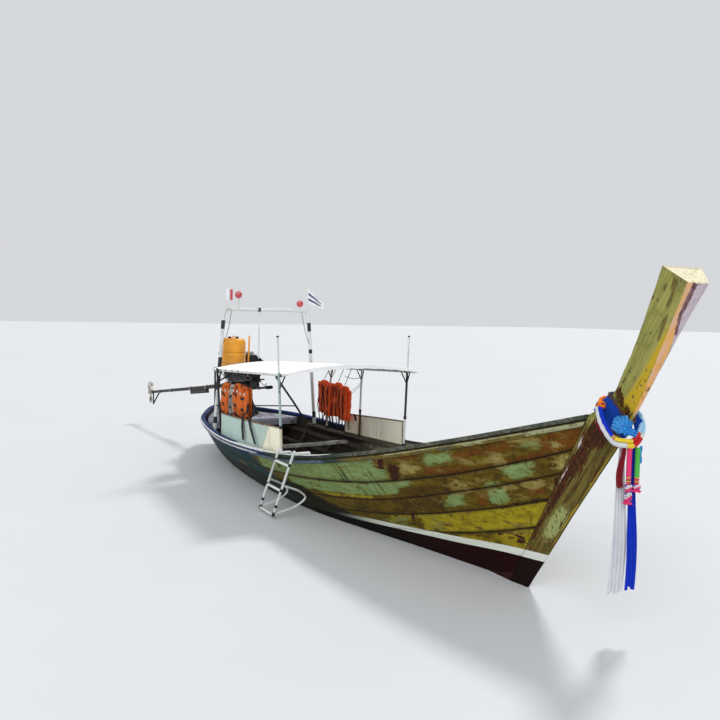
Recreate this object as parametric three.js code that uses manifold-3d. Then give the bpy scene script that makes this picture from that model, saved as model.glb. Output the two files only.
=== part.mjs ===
// A wooden longtail boat, afloat: planked hull, raked prow post, canopy, arch and swung engine.
// Millimetres. +X is the bow, +Y is port, +Z is up. The origin lies amidships on the water plane.
import * as THREE from 'three';
import { mergeVertices } from 'three/addons/utils/BufferGeometryUtils.js';
import Module from 'manifold-3d';

const wasm = await Module();
wasm.setup();

// Driving dimensions
const PORT = 1;
const STARBOARD = -1;
const TOUCH = 0.4;

// Hull lines from the stern to the bow, one row for each station.
// Columns: sheer x, half breadth, sheer z, keel rabbet x, keel rabbet z, section fullness.
const HULL_STATIONS = [
  [-4380, 70, 610, -4020, -10, 1.0],
  [-4160, 250, 605, -3850, -60, 0.62],
  [-3650, 510, 598, -3450, -130, 0.42],
  [-2900, 800, 583, -2800, -190, 0.45],
  [-1800, 956, 550, -1750, -220, 0.45],
  [-670, 978, 579, -650, -220, 0.40],
  [450, 892, 658, 420, -190, 0.38],
  [1560, 713, 865, 1450, -130, 0.48],
  [2670, 442, 1150, 2400, -45, 0.66],
  [3702.7, 69.3, 1455, 2960, 80, 1.0],
];
const LAST_STATION = HULL_STATIONS.length - 1;
const STATION_STEPS = 3;
const PLANK_THICKNESS = 28;
const SEAM_GAP = 0.0004;

// Strake edges as the root of the height between the keel and the sheer, a row for each hull station.
const STRAKE_EDGES = [
  [0, 0.316, 0.49, 0.624, 0.735, 0.870, 1], [0, 0.316, 0.49, 0.624, 0.735, 0.870, 1],
  [0, 0.316, 0.49, 0.624, 0.735, 0.870, 1], [0, 0.316, 0.49, 0.624, 0.735, 0.870, 1],
  [0, 0.316, 0.49, 0.624, 0.735, 0.870, 1], [0, 0.316, 0.49, 0.624, 0.735, 0.870, 1],
  [0, 0.316, 0.49, 0.622, 0.728, 0.862, 1], [0, 0.318, 0.495, 0.630, 0.735, 0.850, 1],
  [0, 0.332, 0.545, 0.684, 0.790, 0.872, 1], [0, 0.350, 0.570, 0.712, 0.822, 0.905, 1],
];
const STRAKE_COUNT = 6;
const STRAKE_FACETS = [3, 2, 2, 2, 2, 2];

const KEEL = { halfWidth: 35, depth: 80, rabbetGap: 1 };
const KEELSON = { halfWidth: 20, height: 60, from: 5 / 3, to: 8 };
const RIBS = { stations: [6, 8, 10, 12, 14, 16, 18, 20, 22, 24], halfWidth: 20, depth: 45, gap: 0.95 };
const RAIL_CAP = { inward: 45, outward: 30, height: 35 };
const RUB_RAIL = { below: 14, height: 38, depth: 22 };
// Inner side shelf that carries the poles, the arch and the screens
const INWALE = { from: -2560, to: 330, below: 60, thickness: 28, width: 84 };

// Stem levels. Columns: z, aft x, aft half width, fore x, fore half width.
const STEM_LEVELS = [
  [0, 2917.2, 36, 3100, 12],
  [80, 2960.5, 36, 3150, 12],
  [270, 3063.1, 40.6, 3274, 12],
  [708, 3299.7, 51.2, 3551, 12],
  [1284, 3610.9, 65.1, 3936, 12],
  [1487, 3720.5, 70, 4045, 13],
  [1560, 3835, 82, 4085, 18],
  [1700, 3985, 110, 4155, 30],
  [2060, 4186, 160, 4325, 60],
];
const STEM_TOP = { aftZ: 2516, aftX: 4378, aftHalf: 199, foreZ: 2410, foreX: 4502, foreHalf: 107 };
const STERN_POST = { length: 110, top: 655, aftHalf: 22 };

const FLOOR = { from: 3, to: 7, rise: 250, thickness: 22, planks: 5, plankWidth: 118, gap: 9, bearer: 60, bearers: [3.333, 4.333, 5, 5.667, 6.667] };
const THWARTS = [
  { name: 'thwart_aft', from: 4.2, to: 4.31 },
  { name: 'thwart_middle', from: 5.73, to: 5.93 },
  { name: 'thwart_forward', from: 6.75, to: 6.94 },
];
const THWART_THICKNESS = 32;
const DECK_EDGE = 0.9185;
const DECK_PLANK = 25;
const DECK_BEAM = 50;
const FOREDECK = { from: 7.333, to: 8.667, beams: [7.333, 8, 8.667], rise: 60 };
const STERN_DECK = { from: 0.667, to: 3, beams: [1, 2, 3], top: 575 };

// Side screens on the rail. Columns: name, side, aft x, fore x, top z aft, top z fore.
const SCREENS = [
  ['side_screen_starboard', STARBOARD, -1840, 72, 852, 925],
  ['side_screen_port', PORT, -1640, -108, 777, 873],
];
const SCREEN = { inset: 14.5, thickness: 8 };

const CANOPY = { aft: -2200, fore: 190, zAtZero: 1510, slope: 0.046, crown: 90, halfWidth: 886, thickness: 6 };
const CANOPY_RAIL = { radius: 12, y: 876.5, drop: 10.6 };
const CANOPY_BOWS = [-2155, -1000, 145];
const POLE = { radius: 16, railY: 904.9 };
// Canopy poles. Columns: name, side, x, height above the canopy's edge, distance of the foot off the planking.
const POLES = [
  ['canopy_pole_starboard_fore', STARBOARD, 100, 427, 19],
  ['canopy_pole_starboard_aft', STARBOARD, -1960, 12, 42],
  ['canopy_pole_port_fore', PORT, -80, 435, 19],
  ['canopy_pole_port_middle', PORT, -1200, 12, 50],
  ['canopy_pole_port_aft', PORT, -2090, 12, 42],
];

const ARCH = { x: -2410, footInset: 44, topY: 655, topZ: 2240, radius: 25, corner: 85 };
const ARCH_ROD = { y: -130, radius: 9, bottom: 1530 };
const CAN_SHELF = { length: 370, from: -668, to: -232, top: 1390, thickness: 20, leg: 14 };
const FUEL_CAN = { x: -2618, y: -440, radius: 178, height: 465, shoulder: 60, capRadius: 38, capHeight: 30 };
const LAMP = { radius: 62, baseRadius: 30, stalkRadius: 14, baseHeight: 14 };
// Lamps. Columns: name, y, height of the stalk under the lamp.
const LAMPS = [['lamp_port', 518, 0], ['lamp_starboard', -443, 105]];
const FLAG = { staff: 5, thickness: 5, seat: 0.2 };
// Flags. Columns: name, y, staff top z, hoist top and foot z, length, fly top and foot z.
const FLAGS = [
  ['flag_port', 652, 2590, 2586, 2350, 290, 2342, 2268],
  ['flag_starboard', -632, 2532, 2529, 2362, 112, 2520, 2368],
];

const LADDER = { aft: 310, fore: 672, topY: -972, topZ: 770, bottomY: -1075, bottomZ: 25, tube: 14, rungs: 3, lean: 0.41 };
const LADDER_HOOK = { drop: 40 };
const LADDER_HOOP = { from: 385, to: 45, apexZ: 205 };

const PIVOT = { x: -3550, z: 1050, yaw: 8.5, tilt: -7.3 };
const STAND = { plateTop: 900, plateHalf: 130, plateThickness: 20, legHalf: 30, spreadX: 210, spreadY: 230 };
const YOKE = { baseRadius: 110, baseHeight: 20, cheekY: 142, cheekThickness: 16, cheekHalf: 55, cheekTop: 45 };
const TAIL = { radius: 32, length: 3560, crossHalf: 133, plateFrom: -210, plateTo: 600, plateHalf: 118 };
const TAIL_BRACKET = { from: -1750, to: -1120, halfWidth: 26, depth: 66 };
const SKEG = { fore: -3145, aft: -3500, drop: 238, halfWidth: 9 };
const TILLER = { from: 380, to: 985, z: -85, radius: 17, grip: 26 };
const PROPELLER = { hubRadius: 38, hubFrom: -3680, hubTo: -3560.6, tip: 212, root: 30, chord: 92, pitch: 38 };

const VEST = { width: 440, height: 520, depth: 84, gap: 30 };
// Life vest groups. Columns: name, side, middle x, top drop below the canopy's rail.
const VEST_GROUPS = [
  ['life_vests_starboard', STARBOARD, -1545, 165],
  ['life_vests_port', PORT, -1780, 190],
];

const WRAP = { aftTop: 1675, foreTop: 1478, aftBottom: 1530, foreBottom: 1352, thickness: 22 };
const GARLAND = { radius: 17, aftX: 3825, centreX: 3975, reachX: 134, reachY: 172, aftZ: 1595, foreZ: 1325 };
// The garland's aft turn, port side, from the middle outward. Columns: x behind the turn's start, y.
const GARLAND_TURN = [[0, 0], [0, 60], [0, 112], [13, 142], [50, 162], [92, 170]];
// How far the garland rises to port for each millimetre off the middle.
const GARLAND_LIST = 0.2;
// Strips hung from the garland.
// Columns: name, top y, foot y, top width, width, thickness, foot z, how far it hangs aft, rise at the top.
const STRIPS = [
  ['prow_ribbon_maroon', -142, -142, 30, 50, 10, 1045, 42, -8.9],
  ['prow_ribbon_white', -112, -113, 24, 126, 14, 300, 34, -7.9],
  ['prow_tassel', -77, -77, 38, 42, 38, 1010, 0, -5.1],
  ['prow_ribbon_blue', 10, -23, 36, 96, 14, 330, 34, -1.7],
];

// Colours and surfaces
const FINISH = {
  topsides: finish(0x8a7a48, 0.85, 0),
  sheerGreen: finish(0x7f8f80, 0.8, 0),
  bottomPaint: finish(0x2c0d0c, 0.8, 0),
  post: finish(0xb39a55, 0.8, 0),
  rail: finish(0x4d5a55, 0.8, 0),
  navy: finish(0x22305e, 0.7, 0),
  inside: finish(0x5b5a4c, 0.9, 0),
  screen: finish(0xcfd6c8, 0.7, 0),
  canopy: finish(0xf2f5f7, 0.6, 0),
  whiteTube: finish(0xe9edea, 0.45, 0.2),
  darkSteel: finish(0x25282a, 0.5, 0.7),
  steel: finish(0x8d9296, 0.35, 0.9),
  can: finish(0xe79a1c, 0.5, 0),
  vest: finish(0xd9502a, 0.85, 0),
  red: finish(0xc0262e, 0.4, 0),
  flag: finish(0xf0f0f2, 0.9, 0),
  wrap: finish(0x1b3aa0, 0.8, 0),
  garland: finish(0xd9b64a, 0.8, 0),
  paleRibbon: finish(0xd8dce2, 0.85, 0),
  pinkRibbon: finish(0xd85a8c, 0.85, 0),
};

function finish(color, roughness, metalness) {
  return new THREE.MeshStandardMaterial({ color, roughness, metalness });
}

// Number helpers
function mix(a, b, t) {
  return a + (b - a) * t;
}

function smooth(p0, p1, p2, p3, t) {
  const a = 2 * p1;
  const b = p2 - p0;
  const c = 2 * p0 - 5 * p1 + 4 * p2 - p3;
  const d = 3 * p1 - p0 - 3 * p2 + p3;
  return 0.5 * (a + b * t + c * t * t + d * t * t * t);
}

// Hull lines at a station u from 0 at the stern to LAST_STATION at the bow.
function linesAt(u) {
  const i = Math.min(Math.floor(u), LAST_STATION - 1);
  const row = (k) => HULL_STATIONS[Math.max(0, Math.min(LAST_STATION, k))];
  const value = (c) => smooth(row(i - 1)[c], row(i)[c], row(i + 1)[c], row(i + 2)[c], u - i);
  return { sheerX: value(0), half: value(1), sheerZ: value(2), keelX: value(3), keelZ: value(4), fullness: value(5) };
}

// A point of the hull's outer face on the port side; q is the root of the height.
function hullFace(u, q) {
  const line = linesAt(u);
  const s = q * q;
  const inner = KEEL.halfWidth + KEEL.rabbetGap;
  return new THREE.Vector3(
    mix(line.keelX, line.sheerX, s),
    inner + (line.half - inner) * s ** line.fullness,
    mix(line.keelZ, line.sheerZ, s),
  );
}

// The hull's face moved out along its normal, or in where the offset is negative.
function hullOffset(u, q, offset) {
  const du = 0.01;
  const dq = 0.01;
  const qa = Math.max(q - dq, 0.02);
  const qb = Math.max(Math.min(q + dq, 1), 0.04);
  const along = hullFace(Math.min(u + du, LAST_STATION), q).sub(hullFace(Math.max(u - du, 0), q));
  const up = hullFace(u, qb).sub(hullFace(u, qa));
  const normal = new THREE.Vector3().crossVectors(up, along).normalize();
  if (normal.y < 0) normal.negate();
  return hullFace(u, q).addScaledVector(normal, offset);
}

// The same point on the flat facets between the planks' sampled stations.
function facetOffset(u, q, offset) {
  const a = Math.floor(u * STATION_STEPS) / STATION_STEPS;
  const b = Math.min(a + 1 / STATION_STEPS, LAST_STATION);
  return hullOffset(a, q, offset).lerp(hullOffset(b, q, offset), b > a ? (u - a) / (b - a) : 0);
}

// The sheer between the sampled stations, as the planks and the rails are cut.
function chordLine(u) {
  const low = Math.min(Math.floor(u * STATION_STEPS + 1e-6), LAST_STATION * STATION_STEPS - 1) / STATION_STEPS;
  const a = linesAt(low);
  const b = linesAt(low + 1 / STATION_STEPS);
  const t = (u - low) * STATION_STEPS;
  return { sheerX: mix(a.sheerX, b.sheerX, t), half: mix(a.half, b.half, t), sheerZ: mix(a.sheerZ, b.sheerZ, t) };
}

function stationOnChord(x) {
  let low = 0;
  let high = LAST_STATION;
  for (let k = 0; k < 40; k += 1) {
    const mid = (low + high) / 2;
    if (chordLine(mid).sheerX < x) low = mid;
    else high = mid;
  }
  return (low + high) / 2;
}

function sheerAtX(x) {
  const reach = Math.max(HULL_STATIONS[0][0], Math.min(HULL_STATIONS[LAST_STATION][0], x));
  return chordLine(stationOnChord(reach)).sheerZ;
}

// Half breadth of the hull's outer face at a given x and z.
function hullHalfAt(x, z) {
  let s = 0.5;
  let u = stationOnChord(x);
  for (let k = 0; k < 30; k += 1) {
    const line = linesAt(u);
    s = Math.max(0, Math.min(1, (z - line.keelZ) / (line.sheerZ - line.keelZ)));
    u += (x - mix(line.keelX, line.sheerX, s)) / 1100;
    u = Math.max(0, Math.min(LAST_STATION, u));
  }
  return hullFace(u, Math.sqrt(s)).y;
}

function stationRange(from, to) {
  const first = Math.ceil(from * STATION_STEPS - 1e-3);
  const last = Math.floor(to * STATION_STEPS + 1e-3);
  const list = [];
  for (let k = first; k <= last; k += 1) list.push(k / STATION_STEPS);
  if (list[0] - from > 1e-3) list.unshift(from);
  if (to - list[list.length - 1] > 1e-3) list.push(to);
  return list;
}

function mirrorY(point, side) {
  return new THREE.Vector3(point.x, point.y * side, point.z);
}

// Mesh building: every solid is a closed set of triangles facing out.
function solidGeometry(points, triangles) {
  let volume = 0;
  for (const [a, b, c] of triangles) {
    volume += points[a].dot(new THREE.Vector3().crossVectors(points[b], points[c]));
  }
  const index = volume < 0 ? triangles.flatMap(([a, b, c]) => [a, c, b]) : triangles.flat();
  const geometry = new THREE.BufferGeometry();
  geometry.setAttribute('position', new THREE.Float32BufferAttribute(points.flatMap((p) => [p.x, p.y, p.z]), 3));
  geometry.setIndex(index);
  return geometry;
}

// A solid between two like grids of points, open at its edges or closed round in either direction.
function slab(outer, inner, loopRows = false, loopColumns = false) {
  const rows = outer.length;
  const columns = outer[0].length;
  const points = [...outer.flat(), ...inner.flat()];
  const at = (side, i, j) => side * rows * columns + (i % rows) * columns + (j % columns);
  const triangles = [];
  const quad = (a, b, c, d) => triangles.push([a, b, c], [a, c, d]);
  const lastRow = loopRows ? rows : rows - 1;
  const lastColumn = loopColumns ? columns : columns - 1;
  for (let i = 0; i < lastRow; i += 1) {
    for (let j = 0; j < lastColumn; j += 1) {
      quad(at(0, i, j), at(0, i, j + 1), at(0, i + 1, j + 1), at(0, i + 1, j));
      quad(at(1, i, j), at(1, i + 1, j), at(1, i + 1, j + 1), at(1, i, j + 1));
    }
  }
  if (!loopRows) {
    for (let j = 0; j < lastColumn; j += 1) {
      quad(at(0, 0, j), at(1, 0, j), at(1, 0, j + 1), at(0, 0, j + 1));
      quad(at(0, rows - 1, j), at(0, rows - 1, j + 1), at(1, rows - 1, j + 1), at(1, rows - 1, j));
    }
  }
  if (!loopColumns) {
    for (let i = 0; i < lastRow; i += 1) {
      quad(at(0, i, 0), at(0, i + 1, 0), at(1, i + 1, 0), at(1, i, 0));
      quad(at(0, i, columns - 1), at(1, i, columns - 1), at(1, i + 1, columns - 1), at(0, i + 1, columns - 1));
    }
  }
  return solidGeometry(points, triangles);
}

// A skin over like rings, closed by a fan at each end or by joining the last ring to the first.
function loft(rings, closed = false) {
  const count = rings[0].length;
  const points = rings.flat();
  const triangles = [];
  const spans = closed ? rings.length : rings.length - 1;
  for (let i = 0; i < spans; i += 1) {
    const next = (i + 1) % rings.length;
    for (let j = 0; j < count; j += 1) {
      const k = (j + 1) % count;
      triangles.push([i * count + j, i * count + k, next * count + k]);
      triangles.push([i * count + j, next * count + k, next * count + j]);
    }
  }
  if (!closed) {
    const end = (rings.length - 1) * count;
    for (let j = 1; j < count - 1; j += 1) {
      triangles.push([0, j + 1, j]);
      triangles.push([end, end + j, end + j + 1]);
    }
  }
  return solidGeometry(points, triangles);
}

// A round bar along a list of points; radius may be a number or a list with one value for each point.
function pipe(path, radius, sides = 8, closed = false) {
  const count = path.length;
  const radiusAt = (i) => (Array.isArray(radius) ? radius[i] : radius);
  const tangentAt = (i) => {
    const before = closed ? path[(i + count - 1) % count] : path[Math.max(i - 1, 0)];
    const after = closed ? path[(i + 1) % count] : path[Math.min(i + 1, count - 1)];
    return after.clone().sub(before).normalize();
  };
  const first = tangentAt(0);
  const helper = Math.abs(first.z) < 0.9 ? new THREE.Vector3(0, 0, 1) : new THREE.Vector3(1, 0, 0);
  let side = new THREE.Vector3().crossVectors(first, helper).normalize();
  const rings = path.map((point, i) => {
    const tangent = tangentAt(i);
    side = side.clone().addScaledVector(tangent, -side.dot(tangent)).normalize();
    const up = new THREE.Vector3().crossVectors(tangent, side);
    return Array.from({ length: sides }, (_, k) => {
      const angle = (2 * Math.PI * k) / sides;
      return point.clone()
        .addScaledVector(side, radiusAt(i) * Math.cos(angle))
        .addScaledVector(up, radiusAt(i) * Math.sin(angle));
    });
  });
  return loft(rings, closed);
}

// A round bar that stands on a level foot, with its ends cut level.
function uprightBar(foot, top, radius, sides) {
  const ring = (centre) => Array.from({ length: sides }, (_, k) => {
    const angle = (2 * Math.PI * k) / sides;
    return point(centre.x + radius * Math.cos(angle), centre.y + radius * Math.sin(angle), centre.z);
  });
  return loft([ring(foot), ring(top)]);
}

// Corner points joined by straight stretches with rounded bends.
function rounded(corners, radius, steps = 4) {
  const path = [corners[0].clone()];
  for (let i = 1; i < corners.length - 1; i += 1) {
    const toBack = corners[i - 1].clone().sub(corners[i]);
    const toFront = corners[i + 1].clone().sub(corners[i]);
    const reach = Math.min(radius, toBack.length() * 0.48, toFront.length() * 0.48);
    const a = corners[i].clone().addScaledVector(toBack.normalize(), reach);
    const b = corners[i].clone().addScaledVector(toFront.normalize(), reach);
    const bend = new THREE.QuadraticBezierCurve3(a, corners[i], b);
    path.push(...bend.getPoints(steps));
  }
  path.push(corners[corners.length - 1].clone());
  return path;
}

function point(x, y, z) {
  return new THREE.Vector3(x, y, z);
}

function box(x0, x1, y0, y1, z0, z1) {
  const geometry = new THREE.BoxGeometry(x1 - x0, y1 - y0, z1 - z0);
  return geometry.translate((x0 + x1) / 2, (y0 + y1) / 2, (z0 + z1) / 2);
}

// A flat outline in x and z, given a thickness across the boat.
function plateXZ(outline, halfWidth) {
  const shape = new THREE.Shape(outline.map(([x, z]) => new THREE.Vector2(x, z)));
  const geometry = new THREE.ExtrudeGeometry(shape, { depth: 2 * halfWidth, bevelEnabled: false });
  return geometry.rotateX(Math.PI / 2).translate(0, halfWidth, 0);
}

// A turned solid about z: profile rows are radius and height.
function turned(profile, segments) {
  const lathe = new THREE.LatheGeometry(profile.map(([r, z]) => new THREE.Vector2(r, z)), segments);
  return lathe.rotateX(Math.PI / 2);
}

function cylinder(radius, length, sides, axis) {
  const geometry = new THREE.CylinderGeometry(radius, radius, length, sides);
  if (axis === 'x') geometry.rotateZ(Math.PI / 2);
  if (axis === 'z') geometry.rotateX(Math.PI / 2);
  return geometry;
}

function bare(geometry) {
  const copy = geometry.clone();
  for (const name of Object.keys(copy.attributes)) {
    if (name !== 'position') copy.deleteAttribute(name);
  }
  return mergeVertices(copy, 1e-3);
}

function toManifold(geometry) {
  const clean = bare(geometry);
  return new wasm.Manifold(new wasm.Mesh({
    numProp: 3,
    vertProperties: new Float32Array(clean.attributes.position.array),
    triVerts: new Uint32Array(clean.index.array),
  }));
}

function fromManifold(solid) {
  const mesh = solid.getMesh();
  const geometry = new THREE.BufferGeometry();
  geometry.setAttribute('position', new THREE.BufferAttribute(new Float32Array(mesh.vertProperties), 3));
  geometry.setIndex(new THREE.BufferAttribute(new Uint32Array(mesh.triVerts), 1));
  return geometry;
}

function joined(...geometries) {
  return fromManifold(geometries.map(toManifold).reduce((sum, next) => sum.add(next)));
}

function cutFrom(geometry, ...tools) {
  return fromManifold(tools.map(toManifold).reduce((rest, tool) => rest.subtract(tool), toManifold(geometry)));
}

const boat = new THREE.Group();

function add(parent, name, geometry, material) {
  const mesh = new THREE.Mesh(geometry, material);
  mesh.name = name;
  parent.add(mesh);
  return mesh;
}

// Backbone: keel, stem and stern post
function addKeel() {
  const upper = [];
  const lower = [];
  for (const u of stationRange(0, LAST_STATION)) {
    const line = linesAt(u);
    upper.push([line.keelX, line.keelZ - KEEL.rabbetGap / 2]);
    lower.unshift([line.keelX, line.keelZ - KEEL.depth]);
  }
  const rake = (STEM_LEVELS[1][1] - STEM_LEVELS[0][1]) / KEEL.depth;
  upper[upper.length - 1] = [STEM_LEVELS[1][1] - 1, upper[upper.length - 1][1]];
  lower[0] = [STEM_LEVELS[1][1] - 1 - rake * KEEL.depth, 0];
  const stern = linesAt(0);
  const sternRake = (stern.keelX - stern.sheerX) / (stern.sheerZ - stern.keelZ);
  lower[lower.length - 1][0] = stern.keelX + sternRake * KEEL.depth;
  add(boat, 'keel', plateXZ([...upper, ...lower], KEEL.halfWidth), FINISH.bottomPaint);
}

function addStem() {
  const rings = STEM_LEVELS.map(([z, aftX, aftHalf, foreX, foreHalf]) => [
    point(aftX, aftHalf, z), point(aftX, -aftHalf, z), point(foreX, -foreHalf, z), point(foreX, foreHalf, z),
  ]);
  const top = STEM_TOP;
  rings.push([
    point(top.aftX, top.aftHalf, top.aftZ), point(top.aftX, -top.aftHalf, top.aftZ),
    point(top.foreX, -top.foreHalf, top.foreZ), point(top.foreX, top.foreHalf, top.foreZ),
  ]);
  add(boat, 'prow_post', loft(rings), FINISH.post);
}

function addSternPost() {
  const line = linesAt(0);
  const slope = (line.sheerX - line.keelX) / (line.sheerZ - line.keelZ);
  const levels = [line.keelZ - KEEL.depth, line.keelZ, line.sheerZ, STERN_POST.top];
  const rings = levels.map((z) => {
    const foreX = line.keelX + slope * (z - line.keelZ) - 1;
    const half = mix(KEEL.halfWidth + 1, line.half, Math.max(0, (z - line.keelZ) / (line.sheerZ - line.keelZ)));
    const aftX = foreX - STERN_POST.length;
    return [
      point(foreX, half, z), point(foreX, -half, z),
      point(aftX, -STERN_POST.aftHalf, z), point(aftX, STERN_POST.aftHalf, z),
    ];
  });
  add(boat, 'stern_post', loft(rings), FINISH.navy);
}

// Planking
function strakeEdge(k, u) {
  const i = Math.min(Math.floor(u + 1e-9), LAST_STATION - 1);
  return mix(STRAKE_EDGES[i][k], STRAKE_EDGES[i + 1][k], u - i);
}

function strakeLevels(k, u) {
  const low = strakeEdge(k, u) + (k > 0 ? SEAM_GAP : 0);
  const high = strakeEdge(k + 1, u) - SEAM_GAP;
  const facets = STRAKE_FACETS[k];
  return Array.from({ length: facets + 1 }, (_, j) => {
    if (j === 0) return low;
    if (j === facets) return high;
    return mix(strakeEdge(k, u), strakeEdge(k + 1, u), j / facets);
  });
}

function addStrakes() {
  const stations = stationRange(0, LAST_STATION);
  for (const [label, side] of [['port', PORT], ['starboard', STARBOARD]]) {
    for (let k = 0; k < STRAKE_COUNT; k += 1) {
      const outer = stations.map((u) => strakeLevels(k, u).map((q) => mirrorY(hullOffset(u, q, 0), side)));
      const inner = stations.map((u) => strakeLevels(k, u).map((q) => {
        const inside = hullOffset(u, q, -PLANK_THICKNESS);
        if (q > 0.99) inside.z = Math.min(inside.z, sheerAtX(inside.x) - TOUCH);
        return mirrorY(inside, side);
      }));
      const material = k < 2 ? FINISH.bottomPaint : FINISH.topsides;
      add(boat, `strake_${label}_${k + 1}`, slab(outer, inner), material);
    }
  }
}

// Inner frame: ribs joined by the keelson. Rib stations count thirds of a hull station.
function addRibs() {
  const levels = (u) => STRAKE_FACETS.slice(0, -1).flatMap((facets, k) => (
    Array.from({ length: facets }, (_, j) => mix(strakeEdge(k, u), strakeEdge(k + 1, u), (j + 1) / facets))
  ));
  const parts = [];
  for (const third of RIBS.stations) {
    const u = third / STATION_STEPS;
    const spread = linesAt(u + 0.05).keelX - linesAt(u - 0.05).keelX;
    const du = (RIBS.halfWidth * 0.1) / spread;
    const face = (depth, dx) => {
      const half = levels(u).map((q) => facetOffset(u + dx * du, q, -(PLANK_THICKNESS + RIBS.gap + 0.35 + depth)));
      return [...half.map((p) => mirrorY(p, STARBOARD)).reverse(), ...half];
    };
    parts.push(slab([face(0, -1), face(0, 1)], [face(RIBS.depth, -1), face(RIBS.depth, 1)]));
  }
  const top = [];
  const bottom = [];
  for (const u of stationRange(KEELSON.from, KEELSON.to)) {
    const line = linesAt(u);
    top.push([line.keelX, line.keelZ + KEELSON.height + PLANK_THICKNESS]);
    bottom.unshift([line.keelX, line.keelZ + TOUCH]);
  }
  parts.push(plateXZ([...top, ...bottom], KEELSON.halfWidth));
  add(boat, 'ribs_and_keelson', joined(...parts), FINISH.inside);
}

// Root height of a level that lies a distance below the sheer
function rootBelowSheer(u, drop) {
  const line = linesAt(u);
  return Math.sqrt(1 - drop / (line.sheerZ - line.keelZ));
}

// Gives the inner face of the planking a distance below the sheer
function innerBelowSheer(u, drop) {
  const face = (k) => hullOffset(k, rootBelowSheer(k, drop), -(PLANK_THICKNESS + TOUCH));
  const a = Math.min(Math.floor(u * STATION_STEPS + 1e-6), LAST_STATION * STATION_STEPS - 1) / STATION_STEPS;
  return face(a).lerp(face(a + 1 / STATION_STEPS), (u - a) * STATION_STEPS);
}

function innerBelowSheerAt(x, drop) {
  let low = stationOnChord(x) - 0.4;
  let high = low + 0.8;
  for (let i = 0; i < 40; i += 1) {
    const middle = (low + high) / 2;
    if (innerBelowSheer(middle, drop).x < x) low = middle;
    else high = middle;
  }
  return innerBelowSheer((low + high) / 2, drop);
}

// Side shelves inside the rails
function addInwales() {
  for (const [label, side] of [['port', PORT], ['starboard', STARBOARD]]) {
    const stations = stationRange(stationOnChord(INWALE.from), stationOnChord(INWALE.to));
    const row = (u, drop) => {
      const edge = innerBelowSheer(u, drop);
      return [point(edge.x, side * (edge.y - INWALE.width), edge.z), point(edge.x, side * edge.y, edge.z)];
    };
    const top = stations.map((u) => row(u, INWALE.below));
    const bottom = stations.map((u) => {
      const low = row(u, INWALE.below + INWALE.thickness);
      const high = row(u, INWALE.below);
      low[0].x = high[0].x;
      low[0].y = side * (Math.abs(low[1].y) - INWALE.width);
      return low;
    });
    add(boat, `inwale_${label}`, slab(top, bottom), FINISH.inside);
  }
}

// Rail caps and rub rails
function addRails() {
  const stations = stationRange(0, LAST_STATION);
  for (const [label, side] of [['port', PORT], ['starboard', STARBOARD]]) {
    const capRow = (u, rise) => {
      const line = linesAt(u);
      return [-RAIL_CAP.inward, RAIL_CAP.outward].map((reach) => (
        point(line.sheerX, side * (line.half + reach), line.sheerZ + rise)
      ));
    };
    const top = stations.map((u) => capRow(u, TOUCH + RAIL_CAP.height));
    const bottom = stations.map((u) => capRow(u, TOUCH));
    add(boat, `rail_cap_${label}`, slab(top, bottom), FINISH.rail);

    const rubRow = (u, offset) => [RUB_RAIL.below + RUB_RAIL.height, RUB_RAIL.below].map((drop) => (
      mirrorY(hullOffset(u, rootBelowSheer(u, drop), offset), side)
    ));
    const rubStations = stationRange(0, LAST_STATION);
    const outer = rubStations.map((u) => rubRow(u, RUB_RAIL.depth));
    const inner = rubStations.map((u) => rubRow(u, 1));
    add(boat, `rub_rail_${label}`, slab(outer, inner), FINISH.sheerGreen);
  }
}

// Floorboards on their bearers
function addFloor() {
  const stations = stationRange(FLOOR.from, FLOOR.to);
  const row = (u, y0, y1, rise) => {
    const line = linesAt(u);
    return [point(line.keelX, y0, line.keelZ + rise), point(line.keelX, y1, line.keelZ + rise)];
  };
  const pitch = FLOOR.plankWidth + FLOOR.gap;
  const parts = [];
  const reach = (FLOOR.planks * pitch) / 2 - 10;
  for (let k = 0; k < FLOOR.planks; k += 1) {
    const middle = (k - (FLOOR.planks - 1) / 2) * pitch;
    const y0 = middle - FLOOR.plankWidth / 2;
    const y1 = middle + FLOOR.plankWidth / 2;
    parts.push(slab(
      stations.map((u) => row(u, y0, y1, FLOOR.rise + FLOOR.thickness)),
      stations.map((u) => row(u, y0, y1, FLOOR.rise)),
    ));
  }
  for (const u of FLOOR.bearers) {
    const line = linesAt(u);
    const next = linesAt(u + 0.01);
    const slope = Math.abs((next.keelZ - line.keelZ) / (next.keelX - line.keelX));
    const foot = line.keelZ + KEELSON.height + PLANK_THICKNESS + TOUCH + slope * FLOOR.bearer * 0.5;
    const x0 = line.keelX - FLOOR.bearer / 2;
    const x1 = line.keelX + FLOOR.bearer / 2;
    parts.push(box(x0, x1, -reach, reach, line.keelZ + FLOOR.rise - 30, line.keelZ + FLOOR.rise + 3));
    parts.push(box(x0, x1, -30, 30, foot, line.keelZ + FLOOR.rise));
  }
  add(boat, 'floorboards', joined(...parts), FINISH.inside);
}

function addThwarts() {
  for (const { name, from, to } of THWARTS) {
    const corner = (u, side, rise) => {
      const seat = facetOffset(u, strakeEdge(5, u) - SEAM_GAP, -(PLANK_THICKNESS + TOUCH));
      return point(seat.x, side * seat.y, seat.z + rise);
    };
    const face = (rise) => [from, to].map((u) => [corner(u, STARBOARD, rise), corner(u, PORT, rise)]);
    add(boat, name, slab(face(THWART_THICKNESS), face(0)), FINISH.inside);
  }
}

// Decks: planked plates on beams that reach the planking
function deckBeam(u, top) {
  const edge = hullOffset(u, DECK_EDGE, -(PLANK_THICKNESS + TOUCH + 0.5));
  return box(edge.x - DECK_BEAM / 2, edge.x + DECK_BEAM / 2, 20 - edge.y, edge.y - 20, edge.z + 2, top + 5);
}

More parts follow.
